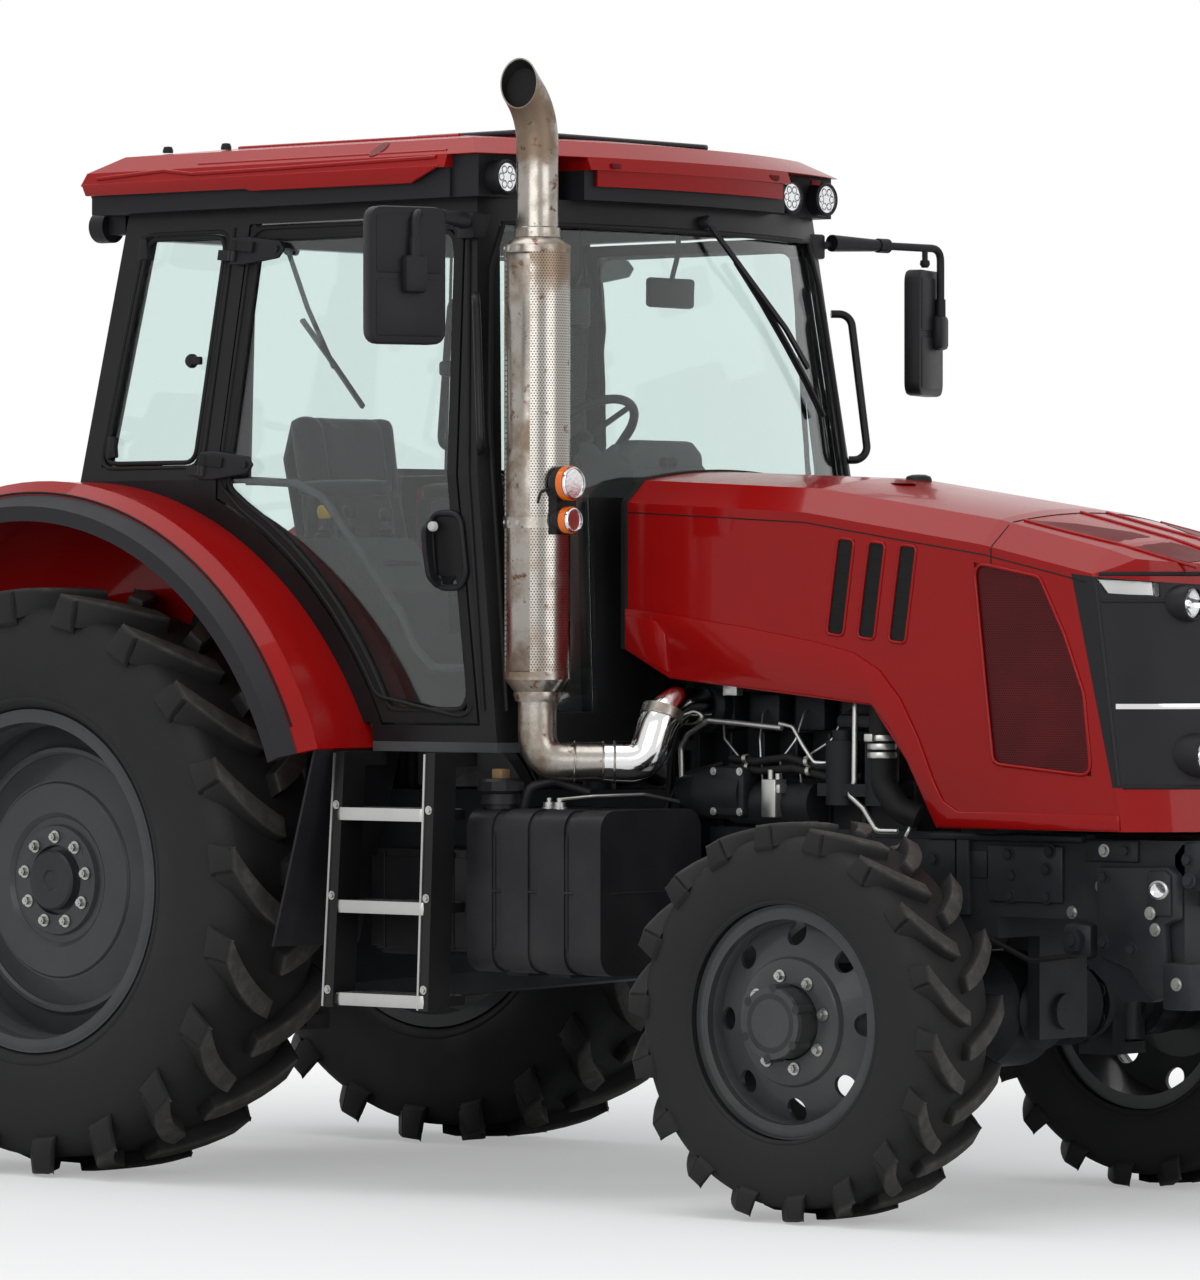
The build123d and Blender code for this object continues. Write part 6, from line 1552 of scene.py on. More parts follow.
# ================================================================ engine
class TRACTOR_OT_engine(bpy.types.Operator):
    """Adds the engine's pipes, hoses, clamps, covers and boxes"""
    bl_idname = "tractor.engine"
    bl_label = "Engine"

    def execute(self, context):
        metal = Shape("engine_pipes")
        metal.tube(spots((1960, -352, 930), (1905, -356, 1140), (1902, -360, 1275), (1930, -362, 1312),
                         (2005, -362, 1352), (2120, -360, 1346), (2272, -358, 1334)), 0.0085, 0.03, 10)
        metal.tube(spots((2262, -356, 1347), (2310, -356, 1338), (2350, -360, 1286), (2390, -360, 1238),
                         (2440, -340, 1236)), 0.0060, 0.02, 10)
        for k in range(4):
            metal.tube(spots((2110 + 70 * k, -330, 1182), (2116 + 70 * k, -345, 1240),
                             (2040 + 130 * k, -330, 1300), (2000 + 150 * k, -290, 1380),
                             (2000 + 150 * k, -208, 1400)), 0.0038, 0.03, 8)
        metal.tube(spots((2535, -340, 1430), (2532, -352, 1395), (2535, -360, 1180), (2516, -362, 1150),
                         (2577, -372, 1112), (2628, -376, 1050), (2690, -360, 1050)), 0.0085, 0.03, 10)
        metal.tube(spots((2700, -300, 1120), (2725, -350, 1060), (2700, -360, 1010), (2640, -340, 1000)),
                   0.0055, 0.03, 8)
        metal.finish("zinc", smooth=60)

        hoses = Shape("engine_hoses")
        hoses.tube(spots((2630, -352, 1460), (2630, -356, 1330), (2634, -356, 1180), (2690, -352, 1112),
                         (2740, -330, 1090)), 0.036, 0.07, 28, 10)
        hoses.tube(spots((2080, -350, 1246), (2180, -366, 1238), (2300, -366, 1252), (2400, -352, 1226),
                         (2520, -330, 1235)), 0.011, 0.04, 12)
        hoses.tube(spots((2080, -350, 1222), (2200, -366, 1212), (2320, -366, 1222), (2440, -352, 1196),
                         (2540, -330, 1200)), 0.011, 0.04, 12)
        hoses.tube(spots((1850, -330, 900), (1835, -345, 1050), (1850, -340, 1250), (1880, -300, 1450)),
                   0.010, 0.05, 10)
        hoses.tube(spots((1860, -350, 860), (1868, -364, 1000), (1850, -364, 1110), (1900, -340, 1200),
                         (2010, -300, 1230)), 0.0075, 0.05, 10)
        hoses.tube(spots((2760, 300, 1620), (2640, 330, 1640), (2560, 330, 1560), (2520, 250, 1560)), 0.032,
                   0.06, 20)
        hoses.tube(spots((2920, -200, 1290), (2800, -250, 1290), (2720, -240, 1240), (2684, -200, 1240)),
                   0.028, 0.05, 20)
        hoses.finish("soft_rubber", smooth=60)

        clamps = Shape("engine_clamps")
        for height in (1310, 1286, 1262):
            clamps.lathe(mm((34, -8), (40, -8), (42, 0), (40, 8), (34, 8)),
                         upright(2631, -356, height), 32, closed=True)
        clamps.block((2610, -412, 1300), (2640, -396, 1322), 3)
        clamps.block((2066, -372, 1424), (2118, -340, 1470), 3)
        for x, z in ((2148, 1246), (2156, 1222), (2372, 1240), (2378, 1214)):
            clamps.lathe(mm((10, -6), (13.5, -6), (13.5, 6), (10, 6)),
                         facing(spot(x, -366, z), (1, 0, 0.1)), 20, closed=True)
        clamps.finish("zinc")

        boxes = Shape("fuel_block")
        boxes.block((2234, -405, 1082), (2286, -352, 1190), 4)
        boxes.block((2228, -398, 1150), (2296, -360, 1176), 4)
        boxes.bar(spot(2250, -380, 1186), spot(2250, -380, 1216), 0.009, sides=12)
        boxes.bar(spot(2276, -380, 1186), spot(2276, -380, 1206), 0.008, sides=12)
        boxes.finish("zinc")

        cast = Shape("engine_castings")
        cast.bar(spot(1905, -340, 1147), spot(1985, -340, 1147), 0.050, 0.074, 36)
        cast.bar(spot(1985, -340, 1147), spot(2150, -340, 1147), 0.074, sides=36)
        cast.block((2046, -402, 1082), (2168, -300, 1224), 18)
        for k in range(4):
            x = 1900 + 165 * k
            cast.block((x, -262, 1500), (x + 146, -204, 1588), 14)
            cast.block((x + 20, -275, 1325), (x + 130, -204, 1430), 12)
            cast.block((x, 204, 1360), (x + 146, 245, 1560), 14)
        for k in range(6):
            cast.block((1890 + 120 * k, -276, 1194), (1902 + 120 * k, -204, 1320), 4)
            cast.block((1840 + 130 * k, -280, 860), (1862 + 130 * k, -260, 1170), 6)
            cast.block((1840 + 130 * k, 260, 860), (1862 + 130 * k, 280, 1170), 6)
        cast.lathe(mm((0, 30), (66, 28), (78, 14), (78, -20), (0, -20)),
                   facing(spot(1950, -300, 1395), (0, -1, 0)), 40)
        cast.block((2460, -352, 1335), (2690, -250, 1375), 14)
        cast.lathe(mm((0, 40), (50, 38), (58, 0), (0, -20)), facing(spot(2630, -356, 1460), (0, 0, 1)), 32)
        cast.finish("engine_cast")
        places = [(spot(1912 + 42 * k, -262, z), (0, -1, 0)) for k in range(16) for z in (1512, 1578)]
        places += [(spot(1920 + 110 * k, -262, 1160), (0, -1, 0)) for k in range(7)]
        places += [(spot(2058 + 96 * k, -402, z), (0, -1, 0)) for k in range(2) for z in (1096, 1210)]
        bolts("engine_bolts", places, 0.008, "zinc", "chassis", 0.006)
        return {"FINISHED"}


# ================================================================ front frame
class TRACTOR_OT_chassis(bpy.types.Operator):
    """Adds the front frame's plates, bolts and lamps, and the axle's covers"""
    bl_idname = "tractor.chassis"
    bl_label = "Chassis"

    def execute(self, context):
        plate = Shape("frame_plates")
        for low, high, bevel in (((2862, -318, 822), (2906, -299, 1048), 4),
                                 ((2966, -312, 862), (3225, -299, 1018), 6),
                                 ((2760, -324, 1030), (3298, -262, 1049), 5),
                                 ((2560, -311, 905), (2852, -299, 1030), 4),
                                 ((2905, -306, 925), (2960, -299, 1000), 3),
                                 ((3302, -312, 980), (3480, -299, 1039), 5)):
            plate.block(low, high, bevel)
        # plate with the position lamp, and its brace
        cheek = [(3360, 966), (3600, 972), (3628, 950), (3628, 828), (3585, 812), (3600, 620), (3548, 602),
                 (3470, 690), (3360, 724)]
        plate.prism(side_view(cheek), "y", -0.338, -0.300, 0.008)
        plate.prism(side_view(((3540, 958), (3600, 962), (3616, 948), (3616, 838), (3540, 838))), "y",
                    -0.352, -0.337, 0.006)
        plate.prism(side_view(((3592, 1004), (3620, 1036), (3692, 1040), (3692, 912), (3636, 912),
                               (3592, 972))), "y", -0.30, -0.24, 0.006)
        plate.block((3592, -352, 585), (3690, -262, 712), 8)
        plate.mirror().finish("chassis_paint")

        covers = Shape("axle_covers")
        for way in (-1, 1):
            place = facing(spot(2750, way * 330, 545), (0, way, 0))
            covers.lathe(mm((92, -50), (116, -50), (120, 0), (116, 30), (96, 36)), place, 48, closed=True)
            covers.lathe(mm((84, 80), (102, 80), (104, 105), (84, 105)), place, 48, closed=True)
            low, high = sorted((way * 0.262, way * 0.334))
            covers.box((fore(3236), low, 0.716), (fore(3340), high, 0.812), 0.022)
            covers.bar(spot(3290, way * 300, 764), spot(3290, way * 358, 764), 0.030, sides=28)
            covers.bar(spot(3290, way * 350, 764), spot(3290, way * 366, 764), 0.016, sides=20)
        covers.lathe(mm((0, 50), (75, 45), (110, 0), (0, -20)), facing(spot(2925, 0, 545), (1, 0, 0)), 48)
        covers.finish("chassis_paint")

        places, pale = [], []
        for way in (-1, 1):
            side = (0, way, 0)
            for x, z in ((3041, 993), (3053, 935), (3045, 880), (3172, 954), (3172, 880), (3183, 1004)):
                places.append((spot(x, way * 311, z), side))
            for x, z in ((2780, 974), (2620, 974), (2460, 960), (2300, 960), (2460, 870), (2300, 870)):
                places.append((spot(x, way * (310 if x > 2560 else 300), z), side))
            for x, z in ((3385, 940), (3385, 760), (3440, 1010), (3480, 745), (3640, 990), (3670, 935)):
                places.append((spot(x, way * (337 if z < 970 else 311 if x < 3500 else 299), z), side))
            for x, z, y in ((3368, 1010, 311), (3348, 912, 300), (3552, 845, 351), (3559, 800, 337),
                            (3250, 838, 299), (3640, 655, 351)):
                pale.append((spot(x, way * y, z), side))
            for k in range(8):
                turn = math.radians(45 * k + 22)
                places.append((spot(2750 + 104 * math.cos(turn), way * 366, 545 + 104 * math.sin(turn)),
                               side))
        bolts("frame_bolts", places, 0.015, "chassis_paint", "chassis", 0.011)
        bolts("frame_studs", pale, 0.013, "zinc", "chassis", 0.010)

        rims, bowls, lens = Shape("position_rims"), Shape("position_bowls"), Shape("position_lenses")
        for way in (-1, 1):
            place = facing(spot(3582, way * 352, 908), (0, way, 0)) @ Matrix.Diagonal((1.25, 1.0, 1.0, 1.0))
            rims.lathe(mm((20, -4), (26, -4), (26, 4), (21, 6)), place, 36, closed=True)
            bowls.lathe(mm((0, 0), (14, 1.2), (20, 4), (20, -3), (0, -3)), place, 30)
            lens.lathe(mm((0, 10), (14, 8), (20.5, 5.5), (20.5, 4), (14, 6), (0, 7.8)), place, 30)
        rims.finish("zinc")
        bowls.finish("reflector")
        lens.finish("clear_lens")

        lines = Shape("chassis_lines")
        for way in (-1, 1):
            lines.tube(spots((3250, way * 250, 720), (3100, way * 290, 700), (2960, way * 300, 760),
                             (2880, way * 250, 800)), 0.008, 0.05, 10)
            lines.tube(spots((1300, way * 330, 720), (1800, way * 330, 700), (2100, way * 310, 760),
                             (2300, way * 306, 800)), 0.007, 0.05, 10)
        lines.finish("soft_rubber", smooth=60)
        return {"FINISHED"}


# ================================================================ tanks and steps
class TRACTOR_OT_sides(bpy.types.Operator):
    """Adds the tanks' seams, straps and caps, and the steps' plates"""
    bl_idname = "tractor.sides"
    bl_label = "Tanks and steps"

    def execute(self, context):
        seam = Shape("tank_seams")
        loop = spots((1517, -450, 872), (1517, -841, 872), (2013, -841, 872), (2013, -450, 872))
        strip(seam, rounded([loop[0], *loop[1:3], loop[3]], 0.055, 6), 0.0042)
        seam.mirror().finish("tank_plastic", smooth=60)
        strap = Shape("tank_straps")
        for x in (1610, 1880):
            path = spots((x, -430, 1101), (x, -838, 1101), (x, -838, 643), (x, -430, 643))
            strap.sweep(rounded(path, 0.085, 8), mm((-3.5, -11), (3.5, -11), (3.5, 11), (-3.5, 11)),
                        up=(1, 0, 0))
        strap.mirror().finish("frame_paint", smooth=60)
        cap = Shape("tank_caps")
        for way in (-1, 1):
            place = upright(1570, way * 760, 1146)
            cap.lathe(mm((0, 44), (60, 42), (67, 34), (67, 8), (58, 0), (50, 0), (50, -12), (0, -12)),
                      place, 10)
            cap.lathe(mm((48, -30), (58, -30), (54, -2), (46, -2)), place, 40, closed=True)
            cap.tube(spots((1640, way * 740, 1100), (1660, way * 740, 1165), (1720, way * 700, 1185),
                           (1800, way * 640, 1150)), 0.014, 0.04, 14)
        cap.finish("black_plastic", smooth=30)
        block = Shape("cap_blocks")
        for way in (-1, 1):
            low, high = sorted((way * 0.742, way * 0.780))
            block.box((fore(1552), low, 1.186), (fore(1590), high, 1.216), 0.004)
        block.finish("tan_cap", smooth=30)
        fit = Shape("tank_fittings")
        for x in (1700, 1738):
            fit.lathe(mm((0, 30), (8, 29), (8, 18), (17, 17), (17, 4), (22, 3), (22, -4), (0, -4)),
                      upright(x, -700, 1105), 12)
        fit.tube(spots((1738, -700, 1130), (1830, -660, 1140), (1900, -520, 1144), (1920, -380, 1120)),
                 0.005, 0.04, 8)
        fit.finish("zinc")

        tread, edge, nosing = Shape("step_treads"), Shape("step_edges"), Shape("step_noses")
        for height in (555, 820, 1085):
            tread.block((1112, -954.5, height + 13), (1462, -802, height + 16.5), 1)
            path = spots((1114, -870, height), (1122, -962, height), (1455, -962, height),
                         (1463, -870, height))
            nosing.sweep(rounded(path, 0.02, 5), mm((-4, -18), (3, -18), (5, 0), (3, 18), (-4, 18)),
                         up=(0, 0, 1))
        for foot, head in ((1085, 1132), (1452, 1480)):
            line = spots((foot - 19, -962, 532), (head - 19, -962, 1258))
            edge.sweep(line, mm((-2, -3.5), (2, -3.5), (2, 3.5), (-2, 3.5)), up=(1, 0, 0))
        tread.mirror().finish("tread_plate", smooth=30)
        nosing.mirror().finish("brushed_steel")
        edge.mirror().finish("zinc")
        places = []
        for way in (-1, 1):
            for x, z in ((1084, 580), (1100, 850), (1118, 1110), (1454, 590), (1464, 850), (1474, 1100)):
                places.append((spot(x, way * 960, z), (0, way, 0)))
        bolts("step_bolts", places, 0.009, "zinc", "chassis", 0.007)

        lid = Shape("box_lids")
        lid.block((1056, -743.5, 700), (1434, -739, 958), 4)
        lid.block((1104, -747.5, 694), (1112, -740, 972), 3)
        lid.block((1370, -747.5, 694), (1378, -740, 972), 3)
        lid.mirror().finish("black_plastic", smooth=30)
        return {"FINISHED"}


# ================================================================ roof and fenders
def wheel_arc(radius, across, start, span, count=40):
    """Points of an arc round the rear axle, from one angle in degrees over a span."""
    turns = [math.radians(start + span * k / count) for k in range(count + 1)]
    return [spot(radius * math.cos(turn), across, 868 + radius * math.sin(turn)) for turn in turns]


class TRACTOR_OT_outside(bpy.types.Operator):
    """Adds the roof's mouldings, hatch and lamps and the fenders' strips"""
    bl_idname = "tractor.outside"
    bl_label = "Roof and fenders"

    def execute(self, context):
        ridge = Shape("roof_ridges")
        strip(ridge, [spot(x, -(835 - 14 * share), z)
                      for x, share, z in ((30, 0.5, 2950), (300, 0.9, 2964), (420, 0.5, 2950),
                                          (760, 0.55, 2952), (1380, 0.8, 2960))], 0.0065)
        strip(ridge, [spot(x, -800, 2978) for x in (420, 760, 1100, 1400)], 0.006)
        # skirt that hangs over the liner
        ridge.prism(side_view(((-32, 2936), (-14, 2900), (640, 2897), (660, 2890), (1290, 2888),
                               (1402, 2936))), "y", -0.8365, -0.824, 0.003)
        ridge.mirror()
        ridge.prism(mm((-800, 2936), (-790, 2896), (790, 2896), (800, 2936)), "x", fore(-36), fore(-24),
                    0.003)
        ridge.sweep([spot(bowed(abs(y), 750, 1540, 1690) - 9, y, 2911) for y in range(-420, 421, 70)],
                    mm((-6, -27), (6, -27), (6, 27), (-6, 27)), up=(0, 0, 1))
        for way in (-1, 1):
            strip(ridge, spots((300, way * 500, 3045.5), (900, way * 500, 3045.5),
                               (1180, way * 500, 3045.5)), 0.007)
        ridge.finish("red_paint", smooth=60)
        slots = Shape("roof_slots")
        for way in (-1, 1):
            slots.lathe(mm((0, 2.2), (22, 2), (24, -2), (0, -2)),
                        facing(spot(1120, way * 780, 2994),
                               (0, way * 0.53, 0.85)) @ Matrix.Diagonal((1.0, 1.9, 1.0, 1.0)), 32)
            for y in (340, 620):
                x = bowed(y, 750, 1540, 1690)
                slots.block((x - 6, min(way * y, way * (y + 40)), 2938),
                            (x + 2.5, max(way * y, way * (y + 40)), 2952), 1)
        slots.finish("red_shadow")
        hatch = Shape("roof_hatch")
        hatch.block((950, -440, 3043), (1340, 440, 3060), 6)
        hatch.finish("smoked_lens")
        rim = Shape("hatch_rim")
        corners = spots((944, -446, 3049), (1346, -446, 3049), (1346, 446, 3049), (944, 446, 3049))
        strip(rim, ring_path(corners, 0.05), 0.008, closed=True)
        for x in (100, 340):
            for way in (-1, 1):
                rim.lathe(mm((0, 16), (12, 14), (16, 4), (16, -4), (0, -4)), upright(x, way * 600, 3040),
                          20)
        rim.finish("black_plastic")

        rims, bowls = Shape("work_lamp_rims"), Shape("work_lamp_bowls")
        for across in (725, 560):
            for way in (-1, 1):
                place = facing(spot(1560, way * across, 2900), (1, 0, 0))
                rims.lathe(mm((40.5, -10), (50, -10), (51, 4), (46, 9), (40.5, 6.5)), place, 44,
                           closed=True)
                bowls.lathe(mm((0, 0.3), (12, 0.4), (40, 0.6), (40, 0), (0, 0)), place, 36)
                for k in range(6):
                    turn = math.radians(60 * k)
                    bowls.lathe(mm((8, 0.6), (10, 2.6), (12, 0.6)),
                                place @ Matrix.Translation((0.024 * math.cos(turn), 0.024 * math.sin(turn),
                                                            0)), 16, closed=True)
        rims.finish("black_plastic")
        bowls.finish("reflector", smooth=30)

        cover = Shape("wheel_arch_trim")
        for way in (-1, 1):
            rows = []
            for k in range(33):
                turn = math.radians(23 + 64 * k / 32)
                ray = Vector((math.cos(turn), 0, math.sin(turn)))
                rows.append([spot(0, 0, 868) + ray * r + Vector((0, way * y, 0)) for r, y in
                             ((1.1815, 0.592), (1.1885, 0.592), (1.1885, 0.778), (1.1815, 0.778))])
            cover.skin(rows)
            outline = [(1.183 * math.cos(math.radians(a)) + REAR_X,
                        0.868 + 1.183 * math.sin(math.radians(a))) for a in range(23, 88, 4)]
            outline += [(REAR_X + 0.04, 1.30), (REAR_X + 1.08, 1.30)]
            low, high = sorted((way * 0.589, way * 0.596))
            cover.prism(outline, "y", low, high)
        cover.finish("interior_grey")

        lip = Shape("fender_lips")
        for radius, across, thick in ((1178, 1024, 0.0035), (1181, 640, 0.004)):
            strip(lip, wheel_arc(radius, -across, 22, 126), thick)
        lip.mirror().finish("red_paint", smooth=60)
        # near-black strip: painted shade in the groove along the fender flare
        groove = Shape("flare_grooves")
        strip(groove, wheel_arc(1146, -1073, 24, 122), 0.004)
        groove.mirror().finish("painted_shade_black", smooth=60)
        return {"FINISHED"}


# ================================================================ mirrors
# columns: side, head ahead of the rear axle, to the side and above the ground
MIRROR_PLACES = ((-1, 1618, 1222, 2600), (1, 1512, 1262, 2515))


class TRACTOR_OT_mirrors(bpy.types.Operator):
    """Makes the two mirrors, their brackets, arms and glass"""
    bl_idname = "tractor.mirrors"
    bl_label = "Mirrors"

    def execute(self, context):
        heads, glass, trim = Shape("mirror_heads"), Shape("mirror_glass"), Shape("mirror_trim")
        outline = [(p.y, p.z) for p
                   in ring_path([(0, -0.12, -0.1925), (0, 0.12, -0.1925), (0, 0.12, 0.1925),
                                 (0, -0.12, 0.1925)], 0.042)]
        pane = [(0.86 * y, 0.90 * z) for y, z in outline]
        for way, head, across, height in MIRROR_PLACES:
            place = upright(head, way * across, height) @ Matrix.Rotation(math.radians(way * 20), 4, "Z")
            heads.prism(outline, "x", -0.026, 0.026, 0.009, place)
            low, high = sorted((way * 0.690, way * 0.800))
            heads.box((fore(1435), low, 2.725), (fore(1500), high, 2.800), 0.008)
            clamp = place @ Vector((0.044, 0.010 if way < 0 else 0.032, 0))
            elbow = Vector((clamp.x, clamp.y, 2.775))
            start = spot(1505, way * 870, 2775)
            heads.tube([spot(1470, way * 790, 2765), start, elbow, clamp], 0.012, 0.04, 16)
            run = elbow - start
            trim.bar(start - run * 0.10, start + run * 0.42, 0.026, 0.017, 16)
            trim.bar(start + run * 0.36, start + run * 0.46, 0.022, 0.022, 16)
            drop = start + run * 0.84
            trim.bar(drop, drop - Vector((0, 0, 0.045)), 0.009, sides=12)
            trim.lathe(mm((0, 16), (14, 12), (16, 0), (10, -10), (0, -10)),
                       Matrix.Translation(drop - Vector((0, 0, 0.05))), 16)
            middle = 0.010 if way < 0 else 0.032
            trim.box((0.022, middle - 0.036, -0.050), (0.062, middle + 0.036, 0.055), 0.014, place)
            trim.bar(clamp - Vector((0, 0, 0.030)), clamp + Vector((0, 0, 0.105)), 0.017, 0.0155, 20)
            trim.box((0.014, -0.104, -0.172), (0.0300, 0.104, -0.010), 0.010, place)
            trim.box((0.014, -0.104, 0.004), (0.0300, 0.104, 0.172), 0.010, place)
            glass.prism(pane, "x", -0.0275, -0.0255, 0.0004, place)
        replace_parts(heads.finish("black_plastic"), "mirrors")
        glass.finish("reflector", smooth=20)
        trim.finish("black_plastic")
        return {"FINISHED"}


# ================================================================ rear
class TRACTOR_OT_rear(bpy.types.Operator):
    """Adds the rear lamps, couplings, shaft guard and linkage pins"""
    bl_idname = "tractor.rear"
    bl_label = "Rear"

    def execute(self, context):
        lamps, red, amber = Shape("tail_bases"), Shape("tail_red"), Shape("tail_amber")
        for way in (-1, 1):
            low, high = sorted((way * 0.80, way * 0.98))
            turn = math.radians(148)
            x, z = 1150 * math.cos(turn), 868 + 1150 * math.sin(turn)
            lamps.box((fore(x - 52), low, z / 1000 - 0.035), (fore(x - 8), high, z / 1000 + 0.045), 0.010)
            first, second = sorted((way * 0.812, way * 0.885))
            red.box((fore(x - 60), first, z / 1000 - 0.024), (fore(x - 51), second, z / 1000 + 0.034),
                    0.005)
            first, second = sorted((way * 0.895, way * 0.968))
            amber.box((fore(x - 60), first, z / 1000 - 0.024), (fore(x - 51), second, z / 1000 + 0.034),
                      0.005)
        lamps.finish("black_plastic")
        red.finish("red_plastic")
        amber.finish("amber_plastic")
        guard = Shape("shaft_guard")
        arch = [(0.112 * math.cos(math.radians(10 * k)), 0.700 + 0.112 * math.sin(math.radians(10 * k)))
                for k in range(-2, 21)]
        inside = [(y * 0.955, 0.700 + (z - 0.700) * 0.955) for y, z in reversed(arch)]
        guard.prism(arch + inside, "x", -1.752, -1.612, 0.0015)
        guard.finish("frame_paint")
        block, plugs, caps = Shape("coupling_block"), Shape("coupling_bodies"), Shape("coupling_caps")
        block.box((-1.436, -0.345, 1.205), (-1.366, -0.095, 1.345), 0.008)
        for y in (-0.300, -0.220, -0.140):
            for z in (1.245, 1.305):
                place = facing((-1.436, y, z), (-1, 0, 0))
                plugs.lathe(mm((0, 30), (17, 30), (20, 26), (20, 12), (24, 10), (24, -4), (0, -4)),
                            place, 28)
                caps.lathe(mm((0, 44), (18, 43), (22.5, 38), (22.5, 18), (20.5, 18), (20.5, 29), (0, 29.5)),
                           place, 28)
        block.finish("chassis_paint")
        plugs.finish("zinc")
        caps.finish("red_plastic")
        # columns: name, body, place ahead of the rear axle, to the side and above the ground
        for name, body, ahead, across, height in (("lower_pins", "chassis", -200, 326, 480),
                                                  ("shaft_ends", "chassis", -200, 314, 1090),
                                                  ("link_pins", "lower_links", -596, 360, 533),
                                                  ("arm_pins", "lift_arms", -596, 360, 1143)):
            bolts(name, [(spot(ahead, way * across, height), (0, way, 0)) for way in (-1, 1)], 0.016,
                  "zinc", body, 0.010)

        rims, bowls = Shape("rear_lamp_rims"), Shape("rear_lamp_bowls")
        for way in (-1, 1):
            place = facing(spot(-97, way * 690, 2816), (-1, 0, 0))
            rims.lathe(mm((36, -12), (46, -12), (47, 1), (37, 3)), place, 40, closed=True)
            bowls.lathe(mm((0, 0.2), (36, 0.6), (36, -1), (0, -1)), place, 36)
        rims.finish("black_plastic")
        bowls.finish("reflector")
        return {"FINISHED"}


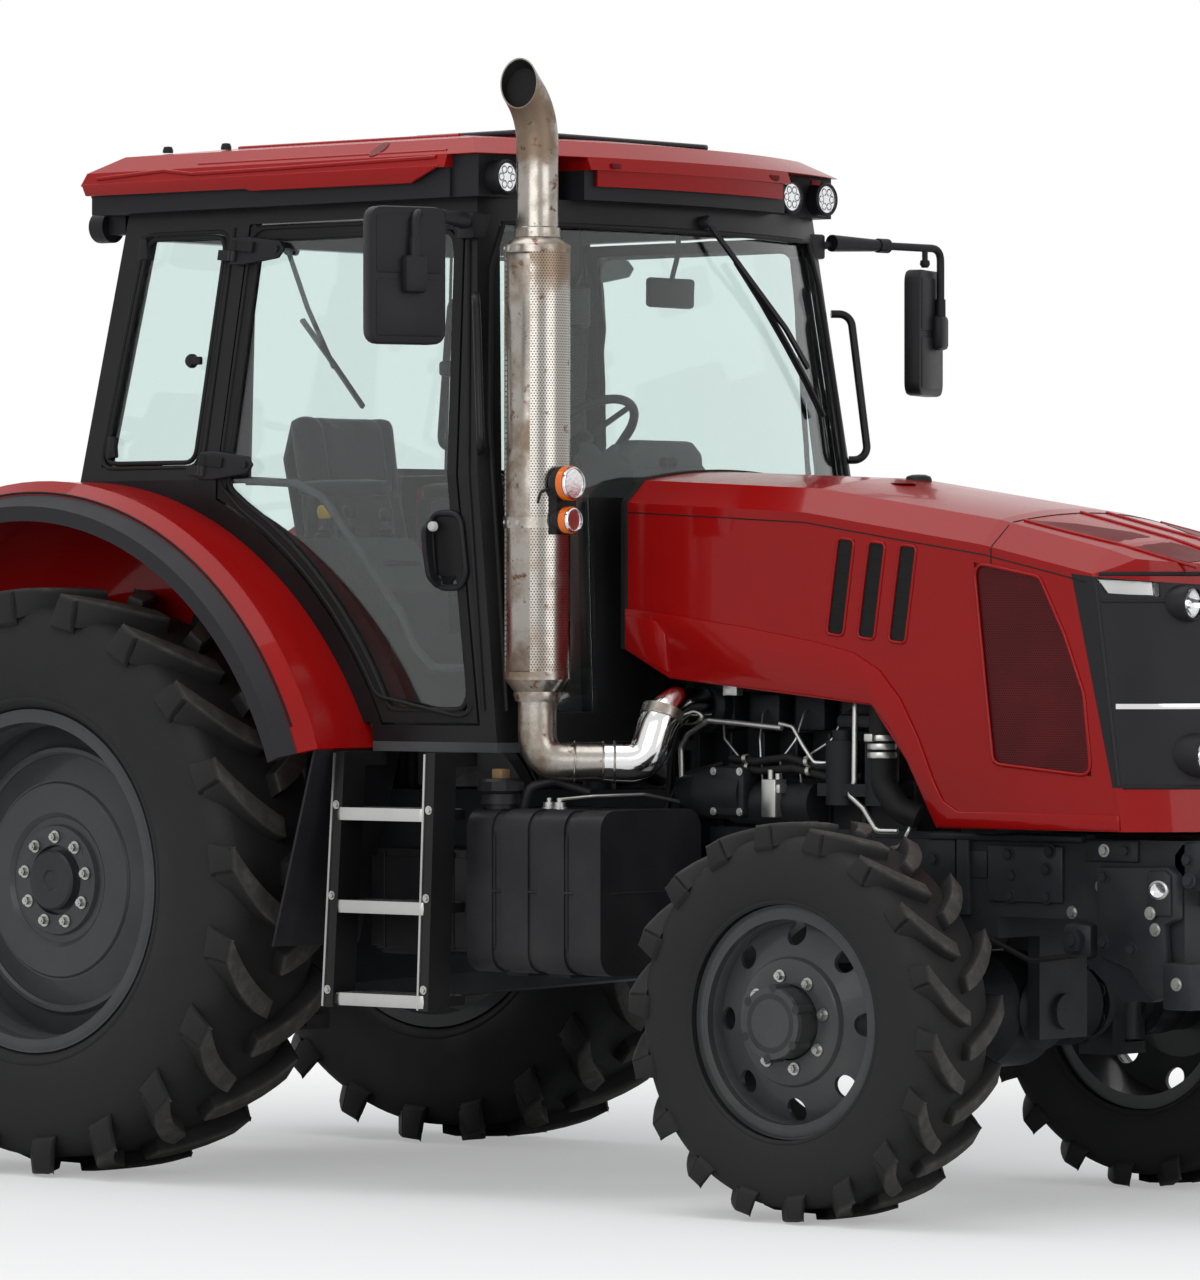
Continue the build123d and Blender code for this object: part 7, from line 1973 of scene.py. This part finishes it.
# ================================================================ stage
class TRACTOR_OT_stage(bpy.types.Operator):
    """Sets the floor, the lamps, the world and the camera"""
    bl_idname = "tractor.stage"
    bl_label = "Stage"

    def execute(self, context):
        stage = context.scene.tractor_stage
        scene = context.scene
        scene.view_settings.view_transform = "Standard"
        floor = bpy.data.meshes.new("floor")
        floor.from_pydata([(-30, -30, -0.002), (30, -30, -0.002), (30, 30, -0.002), (-30, 30, -0.002)], [],
                          [(0, 1, 2, 3)])
        ground = bpy.data.objects.new("floor", floor)
        scene.collection.objects.link(ground)
        finish = Finish("floor_paper", tuple(stage.floor), 0.9)
        finish.bsdf.inputs["Specular IOR Level"].default_value = 0.1
        tree = finish.tree
        axes = split_axes(tree, finish.vector)
        span = span_of(tree, axes["X"], axes["Y"])
        rays = tree.nodes.new("ShaderNodeLightPath")
        white = tree.nodes.new("ShaderNodeEmission")
        share = math_node(tree, "MULTIPLY", rays.outputs["Is Camera Ray"], 0.35)
        paper = mix_shaders(tree, share, finish.bsdf.outputs[0], white.outputs[0])
        clear = tree.nodes.new("ShaderNodeBsdfTransparent")
        faded = mix_shaders(tree, ramp(tree, span, 2.2, 6.5), paper, clear.outputs[0])
        tree.links.new(faded, tree.nodes["Material Output"].inputs["Surface"])
        floor.materials.append(finish.material)

        world = bpy.data.worlds.new("studio")
        world.use_nodes = True
        scene.world = world
        tree = world.node_tree
        light = tree.nodes["Background"]
        light.inputs["Color"].default_value = (0.93, 0.96, 1.0, 1)
        light.inputs["Strength"].default_value = 0.42
        plain = tree.nodes.new("ShaderNodeBackground")
        plain.inputs["Color"].default_value = (1, 1, 1, 1)
        plain.inputs["Strength"].default_value = 1.0
        rays = tree.nodes.new("ShaderNodeLightPath")
        seen = rays.outputs["Is Camera Ray"]
        for label in ("Is Glossy Ray", "Is Transmission Ray"):
            seen = math_node(tree, "MAXIMUM", seen, rays.outputs[label])
        mixed = mix_shaders(tree, seen, light.outputs[0], plain.outputs[0])
        tree.links.new(mixed, tree.nodes["World Output"].inputs["Surface"])

        # columns: name, place, power, width and depth
        for name, place, power, size in (("overhead", (-1.0, -1.5, 8.0), 330, (9, 6)),
                                         ("side", (3.5, -9.0, 4.0), 230, (7, 4)),
                                         ("nose", (9.0, -1.0, 3.0), 130, (5, 4))):
            data = bpy.data.lights.new(name, "AREA")
            data.energy = power
            data.shape = "RECTANGLE"
            data.size, data.size_y = size
            lamp = bpy.data.objects.new(name, data)
            lamp.location = place
            lamp.rotation_euler = (Vector((0, 0, 1.2)) - Vector(place)).to_track_quat("-Z", "Y").to_euler()
            scene.collection.objects.link(lamp)

        data = bpy.data.cameras.new("camera")
        data.lens = stage.lens
        data.sensor_width = 36
        data.shift_y = -0.01766
        data.clip_end = 200
        camera = bpy.data.objects.new("camera", data)
        camera.location = (REAR_X + stage.ahead, -stage.aside, stage.height)
        heading = Vector((-math.sin(stage.turn), math.cos(stage.turn), 0))
        camera.rotation_euler = heading.to_track_quat("-Z", "Y").to_euler()
        scene.collection.objects.link(camera)
        scene.camera = camera
        return {"FINISHED"}


# ================================================================ add-on
OPERATORS = (TRACTOR_OT_finishes, TRACTOR_OT_tyres, TRACTOR_OT_rims, TRACTOR_OT_hood, TRACTOR_OT_cab,
             TRACTOR_OT_seat, TRACTOR_OT_exhaust, TRACTOR_OT_engine, TRACTOR_OT_chassis, TRACTOR_OT_sides,
             TRACTOR_OT_outside, TRACTOR_OT_mirrors, TRACTOR_OT_rear, TRACTOR_OT_stage)
SETTINGS = (("tractor_tyres", TyreSettings), ("tractor_paint", PaintSettings),
            ("tractor_stage", StageSettings))


class TRACTOR_PT_panel(bpy.types.Panel):
    """Lists the tractor's sizes, colours and pieces"""
    bl_idname = "TRACTOR_PT_panel"
    bl_label = "Farm tractor"
    bl_space_type = "VIEW_3D"
    bl_region_type = "UI"
    bl_category = "Tractor"

    def draw(self, context):
        for label, group in SETTINGS:
            values = getattr(context.scene, label)
            column = self.layout.column(heading=label.replace("_", " "))
            for name in group.__annotations__:
                column.prop(values, name)
        for operator in OPERATORS:
            self.layout.operator(operator.bl_idname)


def register():
    for label, group in SETTINGS:
        bpy.utils.register_class(group)
        setattr(bpy.types.Scene, label, bpy.props.PointerProperty(type=group))
    for item in (*OPERATORS, TRACTOR_PT_panel):
        bpy.utils.register_class(item)


def unregister():
    for item in reversed((*OPERATORS, TRACTOR_PT_panel)):
        bpy.utils.unregister_class(item)
    for label, group in SETTINGS:
        delattr(bpy.types.Scene, label)
        bpy.utils.unregister_class(group)


def main():
    register()
    for operator in OPERATORS:
        group, name = operator.bl_idname.split(".")
        getattr(getattr(bpy.ops, group), name)()


if __name__ == "__main__":
    main()
